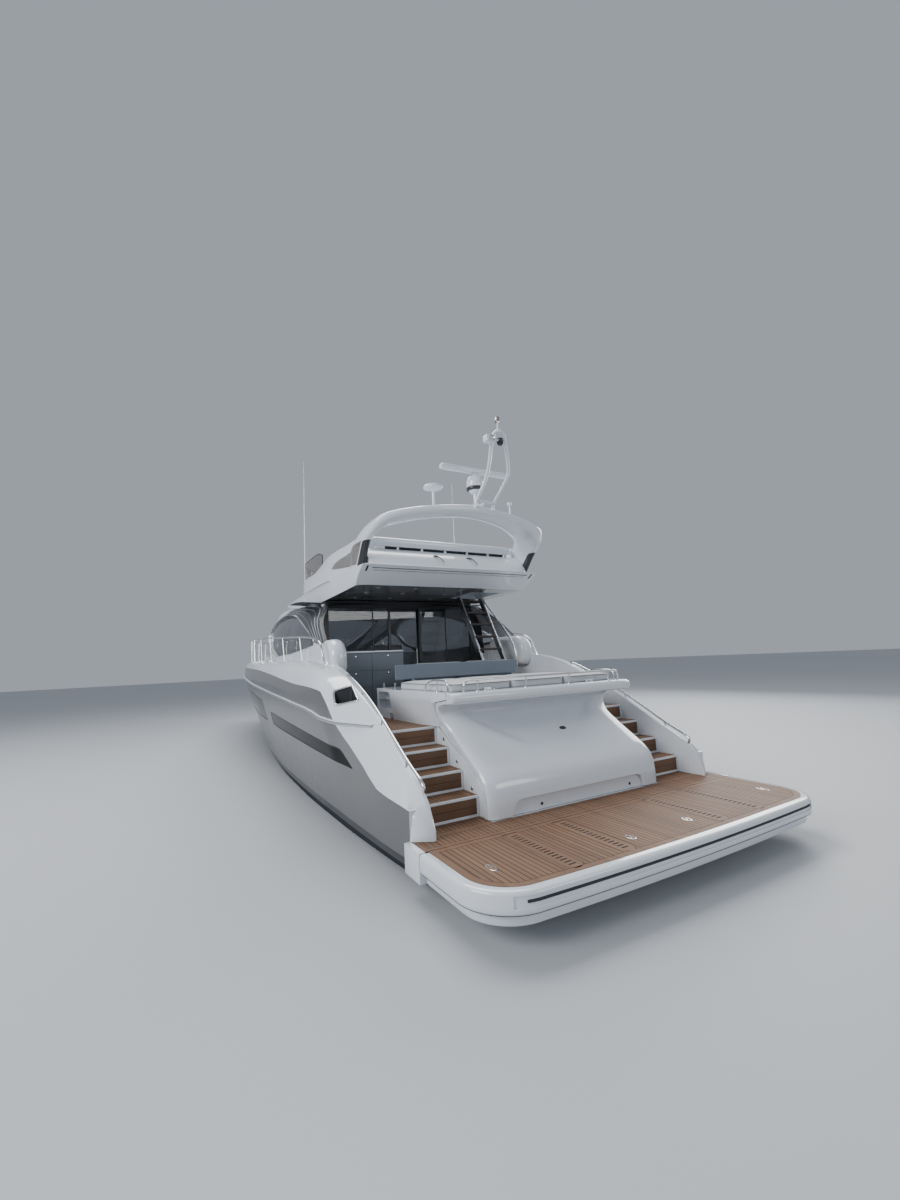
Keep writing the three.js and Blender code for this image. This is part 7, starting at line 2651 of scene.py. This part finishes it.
# Rows: name of the piece let into the lid, margin, its height over the lid, bevel, finish
HATCH_INSETS = {
    "anchor_locker_lid": ("seam", 0.05, 0.002, 0.001, nonslip),
    "foredeck_hatch": ("pane", 0.06, 0.004, 0.002, smoked),
}
for node, (word, margin, up, bevel, finish) in HATCH_INSETS.items():
    aft, fore, half, _ = HATCHES[node]
    outline = oblong((aft + 0.006, fore - 0.0007), (0.006 - half, half - 0.006))
    lid = prism(f"{node}_panel", soft_outline(outline, 0.03), "z", HATCH_TOP - 0.04, HATCH_TOP)
    finished(rounded(lid, 0.006), gelcoat, node, node=node)
    let_in = prism(
        f"{node}_{word}", soft_outline(grown(outline, -margin), 0.04), "z", HATCH_TOP - 0.002, HATCH_TOP + up,
    )
    finished(rounded(let_in, bevel, 2), finish, node)
    finished(turned(f"{node}_catch", raised_by(CATCH, HATCH_TOP), (aft + 0.045, 0, 0), sides=20), steel, node)
print("deck hatches", len(HATCHES))

# %% [markdown]
# ## Running gear
# Below the water are two four-bladed bronze propellers on sloping shafts, their struts, foil-section
# rudders and the trim tabs. The blades are skinned through twisted sections that thin to the tip.

# %% Propellers and shafts
SHAFT_AT, SHAFT_SLOPE, SHAFT_RADIUS, SHAFT_RUN = (1.1, 0.9, -0.84), 0.19, 0.032, 2.2
HUB = [
    (0, -0.12), (0.02, -0.118), (0.038, -0.105), (0.05, -0.07), (0.062, 0.0), (0.074, 0.08), (0.075, 0.11),
    (0, 0.11),
]
# Rows: radius, half chord, twist, half thickness, sweep
BLADE = [
    (0.035, 0.068, 47, 0.010, 0.0), (0.09, 0.088, 40, 0.009, 0.0), (0.15, 0.11, 34, 0.0075, 0.004),
    (0.21, 0.121, 28.5, 0.006, 0.008),
    (0.26, 0.12, 24, 0.005, 0.012), (0.31, 0.098, 17.5, 0.0035, 0.012), (0.34, 0.06, 13, 0.0025, 0.008),
    (0.35, 0.02, 12, 0.0015, 0.0),
]
FOIL = [(math.cos(t), math.sin(t)) for t in np.linspace(0, 2 * math.pi, 17)[:-1]]


def blade_ring(r, half, twist, thick, sweep):
    turn = math.radians(twist - 90)
    spots = [(c * half + sweep, s * thick) for c, s in FOIL]
    return [
        (u * math.cos(turn) - v * math.sin(turn), u * math.sin(turn) + v * math.cos(turn), r)
        for u, v in spots
    ]


def propeller_parts():
    parts = []
    for i in range(4):
        blade = skin("blade", [blade_ring(*row) for row in BLADE], sharp=50)
        blade.data.transform(Matrix.Rotation(i * math.pi / 2, 4, "X"))
        parts.append(clean(blade, 50))
    parts.append(turned("hub", HUB, axis="x"))
    return [painted(part, bronze) for part in parts]


pitch = math.atan(SHAFT_SLOPE)
for side, word in SIDES:
    bar = rod("shaft", SHAFT_RADIUS, (0, SHAFT_RUN / math.cos(pitch)), (0, 0, 0), "x", 24)
    made = joined(f"propeller_{word}_casting", [*propeller_parts(), painted(bar, steel)])
    made.data.transform(
        Matrix.Diagonal((1, side, 1, 1)) @ Matrix.Translation(SHAFT_AT) @ Matrix.Rotation(-pitch, 4, "Y"),
    )
    finished(clean(made, 50), None, f"propeller_{word}", f"propeller_{word}")
for _, word in SIDES:
    finished(
        copied(f"shaft_strut_{word}", f"shaft_strut_{word}_casting", 0.004, 2), bronze,
        node=f"shaft_strut_{word}",
    )
    finished(
        copied(f"trim_tab_{word}", f"trim_tab_{word}_plate", 0.0015, 2), steel, f"trim_tab_{word}",
        node=f"trim_tab_{word}",
    )
    finished(copied(f"engine_{word}", f"engine_{word}_block", 0.06, 3), engine_paint, node=f"engine_{word}")
finished(copied("lift_arms", "lift_arm_weldment", 0.006, 2), steel, "lift_arms", node="lift_arms")

# Rows: z, fore x, aft x, half thickness
RUDDER = [
    (-0.43, 0.57, 0.09, 0.036), (-0.6, 0.567, 0.088, 0.034), (-0.95, 0.553, 0.09, 0.026),
    (-1.13, 0.54, 0.095, 0.019), (-1.17, 0.515, 0.11, 0.012), (-1.18, 0.47, 0.14, 0.004),
]


def rudder_ring(z, fore, aft, thick, y):
    ring = []
    for c, s in circle(24):
        u = (1 + c) / 2
        ring.append((aft + (fore - aft) * u, y + s * thick * (0.25 + 0.75 * u), z))
    return ring


for side, word in SIDES:
    blade = skin("blade", [rudder_ring(*row, side * 0.9) for row in RUDDER], sharp=50)
    stock = rod("stock", 0.028, (-0.47, -0.23), (0.42, side * 0.9, 0), sides=28)
    finished(
        joined(f"rudder_{word}_casting", [blade, stock]), bronze, f"rudder_{word}", node=f"rudder_{word}",
    )
print("rudders", len(SIDES))

# %% [markdown]
# ## Unfinished parts
# The last lines name every CAD node that still shows without a finish.

# %% Finish
for name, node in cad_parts.items():
    if not node.hide_render and not node.data.materials:
        print("no finish on", name)
